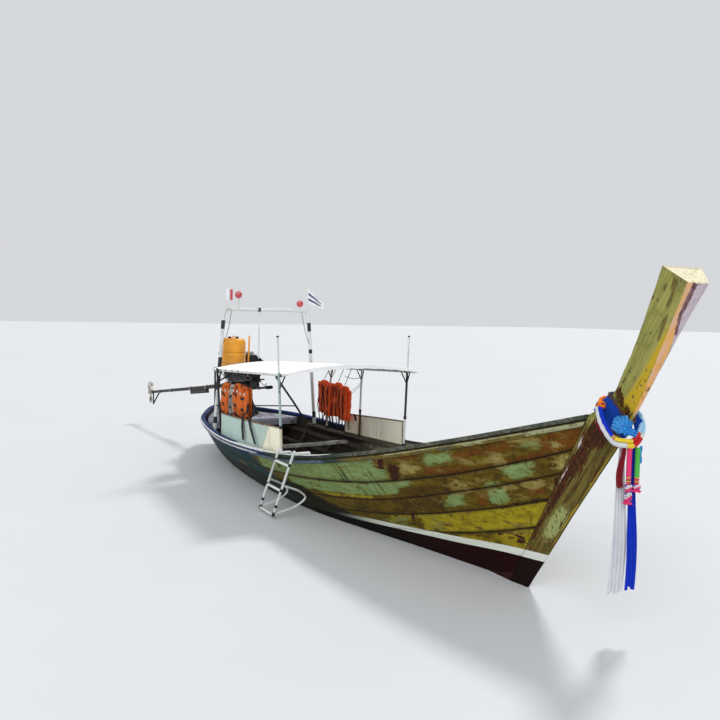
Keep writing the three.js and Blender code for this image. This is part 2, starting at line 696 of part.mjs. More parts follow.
function deckEnds(u, top) {
  const edge = hullOffset(u, DECK_EDGE, -(PLANK_THICKNESS + TOUCH + 0.5));
  const parts = [];
  for (const side of [PORT, STARBOARD]) {
    const tip = point(edge.x, side * edge.y, edge.z);
    parts.push(pipe([tip, point(edge.x, side * (edge.y - 40), edge.z + 30)], [1, 14], 6));
  }
  return [deckBeam(u, top), ...parts];
}

function addForedeck() {
  const rows = stationRange(FOREDECK.from, FOREDECK.to).map((u) => {
    const edge = hullOffset(u, DECK_EDGE, -(PLANK_THICKNESS + TOUCH + 0.5));
    return [point(edge.x, -edge.y, edge.z + FOREDECK.rise), point(edge.x, edge.y, edge.z + FOREDECK.rise)];
  });
  const upper = rows.map((row) => row.map((p) => p.clone().add(point(0, 0, DECK_PLANK))));
  const beams = FOREDECK.beams.flatMap((u) => {
    const edge = hullOffset(u, DECK_EDGE, -(PLANK_THICKNESS + TOUCH + 0.5));
    return deckEnds(u, edge.z + FOREDECK.rise);
  });
  add(boat, 'foredeck', joined(slab(upper, rows), ...beams), FINISH.rail);
}

function addSternDeck() {
  const edgeRow = (u, z) => {
    const edge = hullOffset(u, DECK_EDGE, -(PLANK_THICKNESS + TOUCH + 0.5));
    return [point(edge.x, -edge.y, z), point(edge.x, edge.y, z)];
  };
  const stations = stationRange(STERN_DECK.from, STERN_DECK.to);
  const upper = stations.map((u) => edgeRow(u, STERN_DECK.top));
  const lower = stations.map((u) => edgeRow(u, STERN_DECK.top - DECK_PLANK));
  const beams = STERN_DECK.beams.flatMap((u) => deckEnds(u, STERN_DECK.top - DECK_PLANK));
  add(boat, 'stern_deck', joined(slab(upper, lower), ...beams), FINISH.navy);
}

function addScreens() {
  for (const [name, side, aft, fore, topAft, topFore] of SCREENS) {
    const stations = stationRange(stationOnChord(aft), stationOnChord(fore));
    const bends = stations.map((u) => innerBelowSheer(Math.round(u * STATION_STEPS) / STATION_STEPS, INWALE.below).x);
    const places = [aft, ...bends.filter((x) => x > aft + 20 && x < fore - 20), fore];
    const face = (offset) => places.map((x) => {
      const seat = innerBelowSheerAt(x, INWALE.below);
      const y = side * (seat.y - SCREEN.inset + offset);
      const top = mix(topAft, topFore, (x - aft) / (fore - aft));
      return [point(x, y, seat.z + 2 * TOUCH), point(x, y, top)];
    });
    add(boat, name, slab(face(SCREEN.thickness / 2), face(-SCREEN.thickness / 2)), FINISH.screen);
  }
}

// Canopy
function canopyEdgeZ(x) {
  return CANOPY.zAtZero + CANOPY.slope * x;
}

function canopyZ(x, y) {
  return canopyEdgeZ(x) + CANOPY.crown * (1 - (y / CANOPY.halfWidth) ** 2);
}

function addCanopy() {
  const columns = 16;
  const rows = 6;
  const grid = (rise) => Array.from({ length: rows + 1 }, (_, i) => {
    const x = mix(CANOPY.aft, CANOPY.fore, i / rows);
    return Array.from({ length: columns + 1 }, (__, j) => {
      const y = mix(-CANOPY.halfWidth, CANOPY.halfWidth, j / columns);
      return point(x, y, canopyZ(x, y) + rise);
    });
  });
  add(boat, 'canopy_sheet', slab(grid(CANOPY.thickness), grid(0)), FINISH.canopy);

  const parts = [];
  for (const side of [PORT, STARBOARD]) {
    const end = (x) => point(x, side * CANOPY_RAIL.y, canopyEdgeZ(x) - CANOPY_RAIL.drop);
    parts.push(pipe([end(CANOPY.aft + 8), end(CANOPY.fore - 8)], CANOPY_RAIL.radius, 10));
  }
  for (const x of CANOPY_BOWS) {
    const path = Array.from({ length: columns + 1 }, (_, j) => {
      const y = mix(-CANOPY_RAIL.y, CANOPY_RAIL.y, j / columns);
      return point(x, y, canopyZ(x, y) - CANOPY_RAIL.radius - 0.7);
    });
    parts.push(pipe(path, CANOPY_RAIL.radius, 8));
  }
  add(boat, 'canopy_frame', joined(...parts), FINISH.whiteTube);
}

function railTopAt(x) {
  const line = chordLine(stationOnChord(x));
  return { half: line.half, z: line.sheerZ + RAIL_CAP.height + TOUCH };
}

function addPoles() {
  for (const [name, side, x, above, inset] of POLES) {
    const seat = (dx) => innerBelowSheerAt(x + dx, INWALE.below);
    const footZ = Math.max(seat(-POLE.radius).z, seat(POLE.radius).z) + TOUCH;
    const footY = seat(0).y - inset;
    const rise = canopyEdgeZ(x) + above - footZ;
    const lean = (POLE.railY - footY) / (canopyEdgeZ(x) - CANOPY_RAIL.drop - footZ);
    const foot = point(x, side * footY, footZ);
    const top = point(x, side * (footY + lean * rise), footZ + rise);
    add(boat, name, uprightBar(foot, top, POLE.radius, 12), FINISH.whiteTube);
  }
}

// Arch, its rod, lamps and flags
function addArch() {
  const seat = (dx) => innerBelowSheerAt(ARCH.x + dx, INWALE.below);
  const foot = Math.max(seat(-ARCH.radius).z, seat(ARCH.radius).z) + 2.2;
  const footY = seat(0).y - ARCH.footInset;
  const corners = [
    point(ARCH.x, -footY, foot),
    point(ARCH.x, -ARCH.topY, ARCH.topZ),
    point(ARCH.x, ARCH.topY, ARCH.topZ),
    point(ARCH.x, footY, foot),
  ];
  const tube = pipe(rounded(corners, ARCH.corner, 6), ARCH.radius, 12);
  const rod = pipe([point(ARCH.x, ARCH_ROD.y, ARCH.topZ), point(ARCH.x, ARCH_ROD.y, ARCH_ROD.bottom)], ARCH_ROD.radius, 8);
  add(boat, 'arch', joined(tube, rod), FINISH.whiteTube);

  const lampSeat = ARCH.topZ + ARCH.radius + TOUCH;
  for (const [name, y, stalk] of LAMPS) {
    const start = LAMP.baseHeight + stalk;
    const profile = [[0, 0], [LAMP.baseRadius, 0], [LAMP.baseRadius, LAMP.baseHeight]];
    if (stalk > 0) profile.push([LAMP.stalkRadius, LAMP.baseHeight], [LAMP.stalkRadius, start + 2]);
    for (let k = 1; k < 8; k += 1) {
      const angle = (Math.PI * k) / 8;
      const r = LAMP.radius * Math.sin(angle);
      if (r > LAMP.baseRadius * 0.7 || k > 4) profile.push([r, start + LAMP.radius * (1 - Math.cos(angle))]);
    }
    profile.push([0, start + 2 * LAMP.radius]);
    add(boat, name, turned(profile, 16).translate(ARCH.x, y, lampSeat), FINISH.red);
  }

  for (const [name, y, staffTop, hoistTop, hoistFoot, length, flyTop, flyFoot] of FLAGS) {
    const x = ARCH.x - ARCH.radius - FLAG.staff - FLAG.seat;
    const staff = pipe([point(x, y, ARCH.topZ - 50), point(x, y, staffTop)], FLAG.staff, 6);
    const steps = 5;
    const cloth = (offset) => Array.from({ length: steps + 1 }, (_, i) => {
      const t = i / steps;
      const wave = 10 * Math.sin(t * 6);
      return [
        point(x + offset + wave, y + length * t, mix(hoistFoot, flyFoot, t)),
        point(x + offset + wave, y + length * t, mix(hoistTop, flyTop, t)),
      ];
    });
    add(boat, name, joined(staff, slab(cloth(-FLAG.thickness / 2), cloth(FLAG.thickness / 2))), FINISH.flag);
  }
}

function addFuelCan() {
  const front = ARCH.x - ARCH.radius - TOUCH;
  const back = front - CAN_SHELF.length;
  const plate = box(back, front, CAN_SHELF.from, CAN_SHELF.to, CAN_SHELF.top - CAN_SHELF.thickness, CAN_SHELF.top);
  const foot = STERN_DECK.top + TOUCH;
  const legX = back + CAN_SHELF.leg;
  const leg = pipe([
    point(legX, CAN_SHELF.from + CAN_SHELF.leg, CAN_SHELF.top - 4),
    point(legX - 125, CAN_SHELF.from + 60, foot + 2.2),
  ], CAN_SHELF.leg, 8);
  const stay = pipe([
    point(legX, CAN_SHELF.to - CAN_SHELF.leg, CAN_SHELF.top - 6),
    point(legX - 41, CAN_SHELF.from + 28, mix(foot, CAN_SHELF.top, 0.7)),
  ], CAN_SHELF.leg * 0.8, 8);
  add(boat, 'can_shelf', joined(plate, leg, stay), FINISH.darkSteel);

  const can = FUEL_CAN;
  const wall = can.height - can.capHeight;
  const profile = [
    [0, 0], [can.radius - 16, 0], [can.radius, 18], [can.radius, wall * 0.5 - 6], [can.radius - 4, wall * 0.5],
    [can.radius, wall * 0.5 + 6], [can.radius, wall - can.shoulder], [can.radius - 14, wall - 22],
    [can.radius - 46, wall], [can.capRadius, wall], [can.capRadius, can.height], [0, can.height],
  ];
  add(boat, 'fuel_can', turned(profile, 24).translate(can.x, can.y, CAN_SHELF.top + TOUCH), FINISH.can);
}

// Boarding ladder hooked over the starboard rail, its foot swung aft
function addLadder() {
  const heightToT = (z) => (LADDER.topZ - z) / (LADDER.topZ - LADDER.bottomZ);
  const railPoint = (x, t) => {
    const z = mix(LADDER.topZ, LADDER.bottomZ, t);
    return point(x - LADDER.lean * (LADDER.topZ - z), mix(LADDER.topY, LADDER.bottomY, t), z);
  };
  const hoopX = (x, z) => x - LADDER.lean * (LADDER.topZ - z);
  const hoopY = (x) => -(hullHalfAt(hoopX(x, LADDER_HOOP.apexZ), LADDER_HOOP.apexZ + 20) + LADDER.tube + 4);
  const parts = [];
  for (const x of [LADDER.aft, LADDER.fore]) {
    const cap = railTopAt(x);
    const hookZ = railTopAt(x + 6).z + LADDER.tube * 0.93 + TOUCH;
    const inner = -(cap.half - RAIL_CAP.inward) + LADDER.tube + 8;
    const corners = [
      railPoint(x, 1),
      railPoint(x, 0),
      point(x, LADDER.topY + 6, hookZ),
      point(x, inner, hookZ),
      point(x, inner, cap.z - LADDER_HOOK.drop),
    ];
    parts.push(pipe(rounded(corners, 24, 3), LADDER.tube, 8));
    const apexY = hoopY(x);
    const high = LADDER_HOOP.apexZ + 95;
    const low = LADDER_HOOP.apexZ - 95;
    const hoop = [
      railPoint(x, heightToT(LADDER_HOOP.from)),
      point(hoopX(x, high), mix(apexY, LADDER.bottomY, 0.3), high),
      point(hoopX(x, LADDER_HOOP.apexZ), apexY, LADDER_HOOP.apexZ),
      point(hoopX(x, low), mix(apexY, LADDER.bottomY, 0.3), low),
      railPoint(x, heightToT(LADDER_HOOP.to)),
    ];
    parts.push(pipe(rounded(hoop, 60, 3), LADDER.tube * 0.8, 8));
  }
  for (let k = 0; k < LADDER.rungs; k += 1) {
    const t = heightToT(mix(40, 600, k / (LADDER.rungs - 1)));
    parts.push(pipe([railPoint(LADDER.aft, t), railPoint(LADDER.fore, t)], LADDER.tube, 8));
  }
  add(boat, 'boarding_ladder', joined(...parts), FINISH.whiteTube);
}

// Life vests hung from the canopy's side rails
function vestBody(x, y, top) {
  const rows = [
    [0, 0.42, 0.5], [0.1, 0.7, 0.8], [0.35, 0.82, 1], [0.7, 0.94, 1], [0.95, 0.98, 0.85], [1, 0.9, 0.55],
  ];
  const sides = 10;
  const rings = rows.map(([drop, wide, deep]) => Array.from({ length: sides }, (_, k) => {
    const angle = (2 * Math.PI * k) / sides;
    const across = Math.sign(Math.cos(angle)) * Math.abs(Math.cos(angle)) ** 0.6;
    const through = Math.sign(Math.sin(angle)) * Math.abs(Math.sin(angle)) ** 0.7;
    return point(x + across * wide * VEST.width / 2, y + through * deep * VEST.depth / 2, top - drop * VEST.height);
  }));
  return loft(rings);
}

function addVests() {
  for (const [name, side, middle, drop] of VEST_GROUPS) {
    const y = side * (CANOPY_RAIL.y - 102);
    const parts = [];
    const step = (VEST.width + VEST.gap) / 2;
    const railZ = (x) => canopyEdgeZ(x) - CANOPY_RAIL.drop - CANOPY_RAIL.radius;
    for (const x of [middle - step, middle + step]) {
      parts.push(vestBody(x, y, railZ(middle) - drop));
      const strapY = side * (CANOPY_RAIL.y - 4);
      parts.push(pipe([
        point(x, strapY, railZ(x) - TOUCH),
        point(x, strapY, railZ(x) - 26),
        point(x, y, railZ(middle) - drop - 30),
      ], 8, 6));
    }
    parts.push(pipe([point(middle - step, y, railZ(middle) - drop - 120), point(middle + step, y, railZ(middle) - drop - 120)], 12, 6));
    add(boat, name, joined(...parts), FINISH.vest);
  }
}

// Engine stand, swivel, engine, tail and propeller
function addStand() {
  const top = STAND.plateTop;
  const plate = box(-STAND.plateHalf, STAND.plateHalf, -STAND.plateHalf, STAND.plateHalf, top - STAND.plateThickness, top);
  const foot = STERN_DECK.top + TOUCH;
  const parts = [plate];
  for (const sx of [-1, 1]) {
    for (const sy of [-1, 1]) {
      const upper = [sx * (STAND.plateHalf - STAND.legHalf), sy * (STAND.plateHalf - STAND.legHalf), top - 5];
      const lower = [sx * STAND.spreadX, sy * STAND.spreadY, foot];
      const ring = ([x, y, z]) => [
        point(x - STAND.legHalf, y - STAND.legHalf, z), point(x + STAND.legHalf, y - STAND.legHalf, z),
        point(x + STAND.legHalf, y + STAND.legHalf, z), point(x - STAND.legHalf, y + STAND.legHalf, z),
      ];
      parts.push(loft([ring(lower), ring(upper)]));
    }
    parts.push(box(sx * 160 - 14, sx * 160 + 14, -205, 205, foot + 60, foot + 105));
  }
  const stand = new THREE.Group();
  stand.position.set(PIVOT.x, 0, 0);
  boat.add(stand);
  add(stand, 'engine_stand', joined(...parts), FINISH.darkSteel);
}

function engineBody() {
  const lower = box(-150, 470, -118, 118, 52.6, 150);
  const block = box(-110, 450, -140, 140, 145, 360);
  const head = box(-90, 430, -100, 100, 355, 440);
  const cover = box(-70, 410, -62, 62, 435, 490);
  const bell = cylinder(150, 120, 20, 'x').translate(-160, 0, 210);
  const fan = cylinder(170, 24, 20, 'x').translate(520, 0, 250);
  const hub = cylinder(40, 90, 12, 'x').translate(480, 0, 250);
  const filter = cylinder(85, 105, 16, 'z').translate(60, -40, 530);
  const neck = cylinder(32, 40, 10, 'z').translate(60, -40, 480);
  const parts = [lower, block, head, cover, bell, hub, fan, filter, neck];
  for (let k = 0; k < 4; k += 1) {
    parts.push(box(-50 + k * 125, -6 + k * 125, 96, 152, 372, 420));
    parts.push(box(-60 + k * 125, 30 + k * 125, -150, -100, 180, 330));
  }
  const starter = cylinder(45, 200, 12, 'x').translate(20, 175, 190);
  parts.push(starter);
  return joined(...parts);
}

function propellerBody() {
  const middle = (PROPELLER.hubFrom + PROPELLER.hubTo) / 2;
  const length = PROPELLER.hubTo - PROPELLER.hubFrom;
  const parts = [cylinder(PROPELLER.hubRadius, length, 14, 'x').translate(middle, 0, 0)];
  for (const turn of [0, Math.PI]) {
    const rows = 5;
    const blade = (offset) => Array.from({ length: rows + 1 }, (_, i) => {
      const t = i / rows;
      const radius = mix(PROPELLER.root, PROPELLER.tip, t);
      const chord = PROPELLER.chord * (0.75 + 0.55 * Math.sin(Math.PI * Math.min(t * 0.8 + 0.1, 1))) * (t > 0.95 ? 0.45 : 1);
      const twist = THREE.MathUtils.degToRad(mix(PROPELLER.pitch + 18, PROPELLER.pitch - 10, t));
      return [-0.5, 0, 0.5].map((c) => {
        const along = c * chord;
        return point(
          middle + along * Math.sin(twist) + offset * Math.cos(twist),
          along * Math.cos(twist) - offset * Math.sin(twist),
          radius,
        ).applyAxisAngle(new THREE.Vector3(1, 0, 0), turn);
      });
    });
    parts.push(slab(blade(4), blade(-4)));
  }
  return joined(...parts);
}

function addEngine() {
  const steered = new THREE.Group();
  steered.position.set(PIVOT.x, 0, PIVOT.z);
  steered.rotation.z = THREE.MathUtils.degToRad(PIVOT.yaw);
  boat.add(steered);

  const baseTop = STAND.plateTop - PIVOT.z + TOUCH + YOKE.baseHeight;
  const disc = cylinder(YOKE.baseRadius, YOKE.baseHeight, 24, 'z').translate(0, 0, baseTop - YOKE.baseHeight / 2);
  const bridge = box(-YOKE.cheekHalf, YOKE.cheekHalf, -YOKE.cheekY - YOKE.cheekThickness, YOKE.cheekY + YOKE.cheekThickness, baseTop - 4, baseTop + 14);
  const cheeks = [PORT, STARBOARD].map((side) => box(
    -YOKE.cheekHalf, YOKE.cheekHalf,
    side * YOKE.cheekY - (side < 0 ? YOKE.cheekThickness : 0), side * YOKE.cheekY + (side > 0 ? YOKE.cheekThickness : 0),
    baseTop + 8, YOKE.cheekTop,
  ));
  add(steered, 'swivel_yoke', joined(disc, bridge, ...cheeks), FINISH.darkSteel);

  const tilted = new THREE.Group();
  tilted.rotation.y = THREE.MathUtils.degToRad(PIVOT.tilt);
  steered.add(tilted);

  const shaft = pipe([point(330, 0, 0), point(-900, 0, 0), point(-TAIL.length, 0, 0)], [TAIL.radius, TAIL.radius, TAIL.radius * 0.8], 12);
  const cross = cylinder(TAIL.radius * 0.9, 2 * (YOKE.cheekY - TOUCH), 14, 'y');
  const plate = box(TAIL.plateFrom, TAIL.plateTo, -TAIL.plateHalf, TAIL.plateHalf, 36, 52);
  const ribs = [-150, 280, 560].map((x) => box(x, x + 26, -60, 60, x > 300 ? 10 : -10, 40));
  const tillerSeat = box(345, 600, -20, 20, -70, 40);
  const bracket = box(TAIL_BRACKET.from, TAIL_BRACKET.to, -TAIL_BRACKET.halfWidth, TAIL_BRACKET.halfWidth, -TAIL.radius - TAIL_BRACKET.depth, 0);
  const skeg = plateXZ([
    [SKEG.fore, -5], [SKEG.aft - 8, -SKEG.drop - 7], [SKEG.aft - 22, -SKEG.drop], [SKEG.aft + 10, -5],
    [SKEG.aft + 34, -5], [SKEG.aft + 7, -SKEG.drop + 28], [SKEG.fore - 40, -5],
  ], SKEG.halfWidth);
  add(tilted, 'tail_tube', joined(shaft, cross, plate, tillerSeat, ...ribs, bracket, skeg), FINISH.darkSteel);

  add(tilted, 'engine_block', engineBody(), FINISH.darkSteel);

  const exhaust = pipe(rounded([
    point(120, 152.6, 396), point(120, 215, 396), point(-260, 225, 430), point(-330, 225, 560),
  ], 50, 4), 24, 10);
  add(tilted, 'exhaust_pipe', exhaust, FINISH.steel);

  const grip = TILLER.to - 150;
  const tiller = joined(
    pipe([point(TILLER.from, 0, TILLER.z), point(TILLER.to - 30, 0, TILLER.z)], TILLER.radius, 10),
    pipe([point(grip, 0, TILLER.z), point(TILLER.to, 0, TILLER.z)], [TILLER.grip * 0.8, TILLER.grip], 10),
  );
  add(tilted, 'tiller_handle', cutFrom(tiller, tillerSeat.clone().scale(1, 1.04, 1)), FINISH.darkSteel);

  add(tilted, 'propeller', propellerBody(), FINISH.steel);
}

// Prow dressing: cloth wrap, garland and hanging strips
function stemCorner(z) {
  const rows = [...STEM_LEVELS, [STEM_TOP.foreZ, STEM_TOP.aftX, STEM_TOP.aftHalf, STEM_TOP.foreX, STEM_TOP.foreHalf]];
  let k = 0;
  while (k < rows.length - 2 && rows[k + 1][0] < z) k += 1;
  const t = (z - rows[k][0]) / (rows[k + 1][0] - rows[k][0]);
  const value = (c) => mix(rows[k][c], rows[k + 1][c], t);
  return { aftX: value(1), aftHalf: value(2), foreX: value(3), foreHalf: value(4) };
}

function addProwDressing() {
  const ring = (aftZ, foreZ, offset) => {
    const aft = stemCorner(aftZ);
    const fore = stemCorner(foreZ);
    const bulge = offset * 0.75;
    return [
      point(aft.aftX - offset, 0, aftZ),
      point(aft.aftX - offset, -aft.aftHalf - bulge, aftZ),
      point(mix(aft.aftX, fore.foreX, 0.5), -mix(aft.aftHalf, fore.foreHalf, 0.5) - offset * 1.3, mix(aftZ, foreZ, 0.5)),
      point(fore.foreX + offset, -fore.foreHalf - bulge, foreZ),
      point(fore.foreX + offset, fore.foreHalf + bulge, foreZ),
      point(mix(aft.aftX, fore.foreX, 0.5), mix(aft.aftHalf, fore.foreHalf, 0.5) + offset * 1.3, mix(aftZ, foreZ, 0.5)),
      point(aft.aftX - offset, aft.aftHalf + bulge, aftZ),
    ];
  };
  const levels = 4;
  const grid = (offset) => Array.from({ length: levels + 1 }, (_, i) => {
    const t = i / levels;
    return ring(mix(WRAP.aftBottom, WRAP.aftTop, t), mix(WRAP.foreBottom, WRAP.foreTop, t), offset);
  });
  add(boat, 'prow_wrap', slab(grid(WRAP.thickness), grid(1.5), false, true), FINISH.wrap);

  const foreX = GARLAND.centreX + GARLAND.reachX;
  const garlandZ = (x, y) => (
    mix(GARLAND.aftZ, GARLAND.foreZ, (x - GARLAND.aftX) / (foreX - GARLAND.aftX)) + GARLAND_LIST * Math.max(0, y)
  );
  const half = GARLAND_TURN.map(([dx, y]) => [GARLAND.aftX + dx, y]);
  const steps = 8;
  for (let i = 0; i <= steps; i += 1) {
    const angle = (Math.PI / 2) * (1 - i / steps);
    half.push([GARLAND.centreX + GARLAND.reachX * Math.cos(angle), GARLAND.reachY * Math.sin(angle)]);
  }
  const back = half.slice(1, -1).reverse().map(([x, y]) => [x, -y]);
  const loop = [...half, ...back].map(([x, y]) => point(x, y, garlandZ(x, y)));
  add(boat, 'prow_garland', pipe(loop, GARLAND.radius, 8, true), FINISH.garland);

  const colours = {
    prow_ribbon_maroon: FINISH.red,
    prow_ribbon_white: FINISH.paleRibbon,
    prow_tassel: FINISH.pinkRibbon,
    prow_ribbon_blue: FINISH.wrap,
  };
  for (const [name, topY, footY, topWidth, width, thickness, foot, back, rise] of STRIPS) {
    const rows = 12;
    const ahead = Math.sqrt(1 - (topY / GARLAND.reachY) ** 2);
    const x = GARLAND.centreX + GARLAND.reachX * ahead;
    const top = garlandZ(x, topY) - GARLAND.radius - TOUCH + rise;
    const strip = Array.from({ length: rows + 1 }, (_, i) => {
      const t = (i / rows) ** 1.6;
      const half = mix(topWidth, width, Math.min(1, t * 1.3)) * 0.5;
      const away = back * Math.min(1, t * 8);
      const sway = 9 * Math.sin(t * 7);
      return [[-1, -1], [1, -1], [1, 1], [-1, 1]].map(([a, b]) => (
        point(x - away + sway + a * thickness * 0.5, mix(topY, footY, t) + b * half, mix(top, foot, t))
      ));
    });
    add(boat, name, loft(strip), colours[name]);
  }
}

addKeel();
addStem();
addSternPost();
addStrakes();
addRibs();
addRails();
addInwales();
addFloor();
addThwarts();
addForedeck();
addSternDeck();
addScreens();
addCanopy();
addPoles();
addArch();
addFuelCan();
addLadder();
addVests();
addStand();
addEngine();
addProwDressing();

export default boat;
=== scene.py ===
"""Looks of a wooden longtail boat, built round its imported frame.

Metres, +X towards the bow, +Y towards port, +Z up. The water plane is z = 0.
"""

import logging
import math
import random
from dataclasses import dataclass, field
from enum import Enum
from typing import Sequence

import bpy
from mathutils import Matrix, Vector, noise

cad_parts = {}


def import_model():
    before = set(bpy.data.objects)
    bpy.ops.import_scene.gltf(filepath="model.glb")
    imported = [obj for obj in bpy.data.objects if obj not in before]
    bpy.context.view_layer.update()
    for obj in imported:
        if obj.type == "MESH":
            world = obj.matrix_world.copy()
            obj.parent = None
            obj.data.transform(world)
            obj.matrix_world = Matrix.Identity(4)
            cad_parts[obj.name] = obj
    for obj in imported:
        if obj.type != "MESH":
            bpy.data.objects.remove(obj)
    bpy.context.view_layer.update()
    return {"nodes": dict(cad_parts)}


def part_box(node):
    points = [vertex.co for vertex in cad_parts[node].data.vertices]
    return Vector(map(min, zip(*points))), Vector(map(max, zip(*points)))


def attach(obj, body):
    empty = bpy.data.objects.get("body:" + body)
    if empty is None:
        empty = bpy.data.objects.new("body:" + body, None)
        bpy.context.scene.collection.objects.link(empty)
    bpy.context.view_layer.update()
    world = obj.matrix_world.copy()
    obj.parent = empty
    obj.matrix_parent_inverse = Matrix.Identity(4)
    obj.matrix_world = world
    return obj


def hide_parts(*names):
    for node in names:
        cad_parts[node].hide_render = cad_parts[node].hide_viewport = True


LOG = logging.getLogger("longtail")
UP = Vector((0, 0, 1))
TURN = 2 * math.pi
BOOT_SLOPE = -0.07
BOOT_EDGE = (0.0345, 0.031)
EYELET_Y = 0.8765
Colour = tuple[float, float, float]
Finish = bpy.types.Material
Piece = bpy.types.Object
Nodes = dict[str, Piece]


# Numbers and lines


def mix(a: float, b: float, t: float) -> float:
    """Blends two numbers.

    Args:
        a: Value at t 0.
        b: Value at t 1.
        t: Blend.

    Returns:
        The blended number.
    """
    return a + (b - a) * t


def clamp(value: float, low: float = 0.0, high: float = 1.0) -> float:
    """Keeps a number within two limits.

    Args:
        value: The number.
        low: Lower limit.
        high: Upper limit.

    Returns:
        The limited number.
    """
    return max(low, min(high, value))


def smoothstep(low: float, high: float, value: float) -> float:
    """Rises from 0 at low to 1 at high with soft ends.

    Args:
        low: Start of the rise.
        high: End of the rise.
        value: Where to read it.

    Returns:
        A number from 0 to 1.
    """
    t = clamp((value - low) / (high - low))
    return t * t * (3 - 2 * t)


def shares(count: int) -> list[float]:
    """Lists even shares of a length.

    Args:
        count: Steps from 0 to 1.

    Returns:
        The shares, with both ends.
    """
    return [k / count for k in range(count + 1)]


def turns(count: int) -> list[float]:
    """Lists even angles round a circle.

    Args:
        count: Steps in a turn.

    Returns:
        The angles from 0 on, without the full turn.
    """
    return [TURN * k / count for k in range(count)]


def wobble(place: Vector, scale: float, amount: float) -> float:
    """Reads smooth noise at a place.

    Args:
        place: Point in metres.
        scale: Waves to the metre.
        amount: Largest value.

    Returns:
        A number between minus amount and amount.
    """
    return amount * noise.noise(place * scale)


def spots(x: float, row: float, table: Sequence[tuple[float, ...]]) -> float:
    """Adds up soft round patches.

    Args:
        x: Place along the surface.
        row: Place up the surface.
        table: Rows of centre x, centre row, reach in x and reach in rows.

    Returns:
        How deep the place lies in a patch, 0 to 1.
    """
    depths = [math.hypot((x - cx) / rx, (row - crow) / rrow) for cx, crow, rx, rrow in table]
    return max(1.0 - smoothstep(0.55, 1.35, depth) for depth in depths)


def blocks(x: float, row: float, table: Sequence[tuple[float, ...]]) -> float:
    """Adds up soft patches with upright ends, as paint wears board by board.

    Args:
        x: Place along the boat.
        row: Place up the boat.
        table: Rows of first x, last x, first row, last row and strength.

    Returns:
        The strongest patch at the place, 0 to 1.
    """
    best = 0.0
    for x0, x1, row0, row1, strength in table:
        ease = min(0.09, 0.45 * (x1 - x0))
        along = smoothstep(x0 - ease, x0 + ease, x) * (1 - smoothstep(x1 - ease, x1 + ease, x))
        up = smoothstep(row0 - 0.16, row0 + 0.16, row) * (1 - smoothstep(row1 - 0.16, row1 + 0.16, row))
        best = max(best, strength * along * up)
    return best


def v(x: float, y: float, z: float) -> Vector:
    """Makes a point.

    Args:
        x: Along the boat.
        y: Across the boat.
        z: Up.

    Returns:
        The point.
    """
    return Vector((x, y, z))


def bend(corners: Sequence[Vector], radius: float, steps: int = 6) -> list[Vector]:
    """Rounds the corners of a line of points.

    Args:
        corners: The line.
        radius: Reach of each bend.
        steps: Points in each bend.

    Returns:
        The rounded line.
    """
    path = [corners[0].copy()]
    for before, here, after in zip(corners, corners[1:], corners[2:]):
        back, ahead = before - here, after - here
        reach = min(radius, back.length * 0.48, ahead.length * 0.48)
        a, b = here + back.normalized() * reach, here + ahead.normalized() * reach
        path += [a * (1 - t) ** 2 + here * (2 * t * (1 - t)) + b * t ** 2 for t in shares(steps)]
    return path + [corners[-1].copy()]


def hang(a: Vector, b: Vector, sag: float) -> list[Vector]:
    """Makes a slack line between two points.

    Args:
        a: First end.
        b: Second end.
        sag: How far its middle drops.

    Returns:
        The line.
    """
    return [a.lerp(b, t) - v(0, 0, sag * 4 * t * (1 - t)) for t in shares(10)]


def curve(points: Sequence, t: float) -> Vector | float:
    """Runs a smooth curve through the middle two of four points or numbers.

    Args:
        points: The four.
        t: Share of the way from the second to the third.

    Returns:
        The point or number.
    """
    p0, p1, p2, p3 = points
    a, b = 2 * p1, p2 - p0
    c, d = 2 * p0 - 5 * p1 + 4 * p2 - p3, 3 * p1 - p0 - 3 * p2 + p3
    return 0.5 * (a + b * t + c * t * t + d * t * t * t)


class Side(Enum):
    """A side of the boat and the sign of its y."""

    PORT = 1
    STARBOARD = -1

    @property
    def label(self) -> str:
        """Gives the side's name as the frame's nodes write it.

        Returns:
            "port" or "starboard".
        """
        return self.name.lower()

    def at(self, x: float, y: float, z: float) -> Vector:
        """Makes a point on this side.

        Args:
            x: Along the boat.
            y: Out from the centreline.
            z: Up.

        Returns:
            The point.
        """
        return v(x, y * self.value, z)

    def turned(self, items: list) -> list:
        """Puts a row that was built for port in this side's order.

        Args:
            items: The row.

        Returns:
            The row, the other way round to starboard.
        """
        return items if self is Side.PORT else items[::-1]


# Finishes


def shade(colour: Colour, share: float, lift: float = 0.0) -> Colour:
    """Darkens or lightens a colour.

    Args:
        colour: The colour.
        share: Factor on each part.
        lift: Added to each part.

    Returns:
        The new colour.
    """
    return tuple(share * c + lift for c in colour)


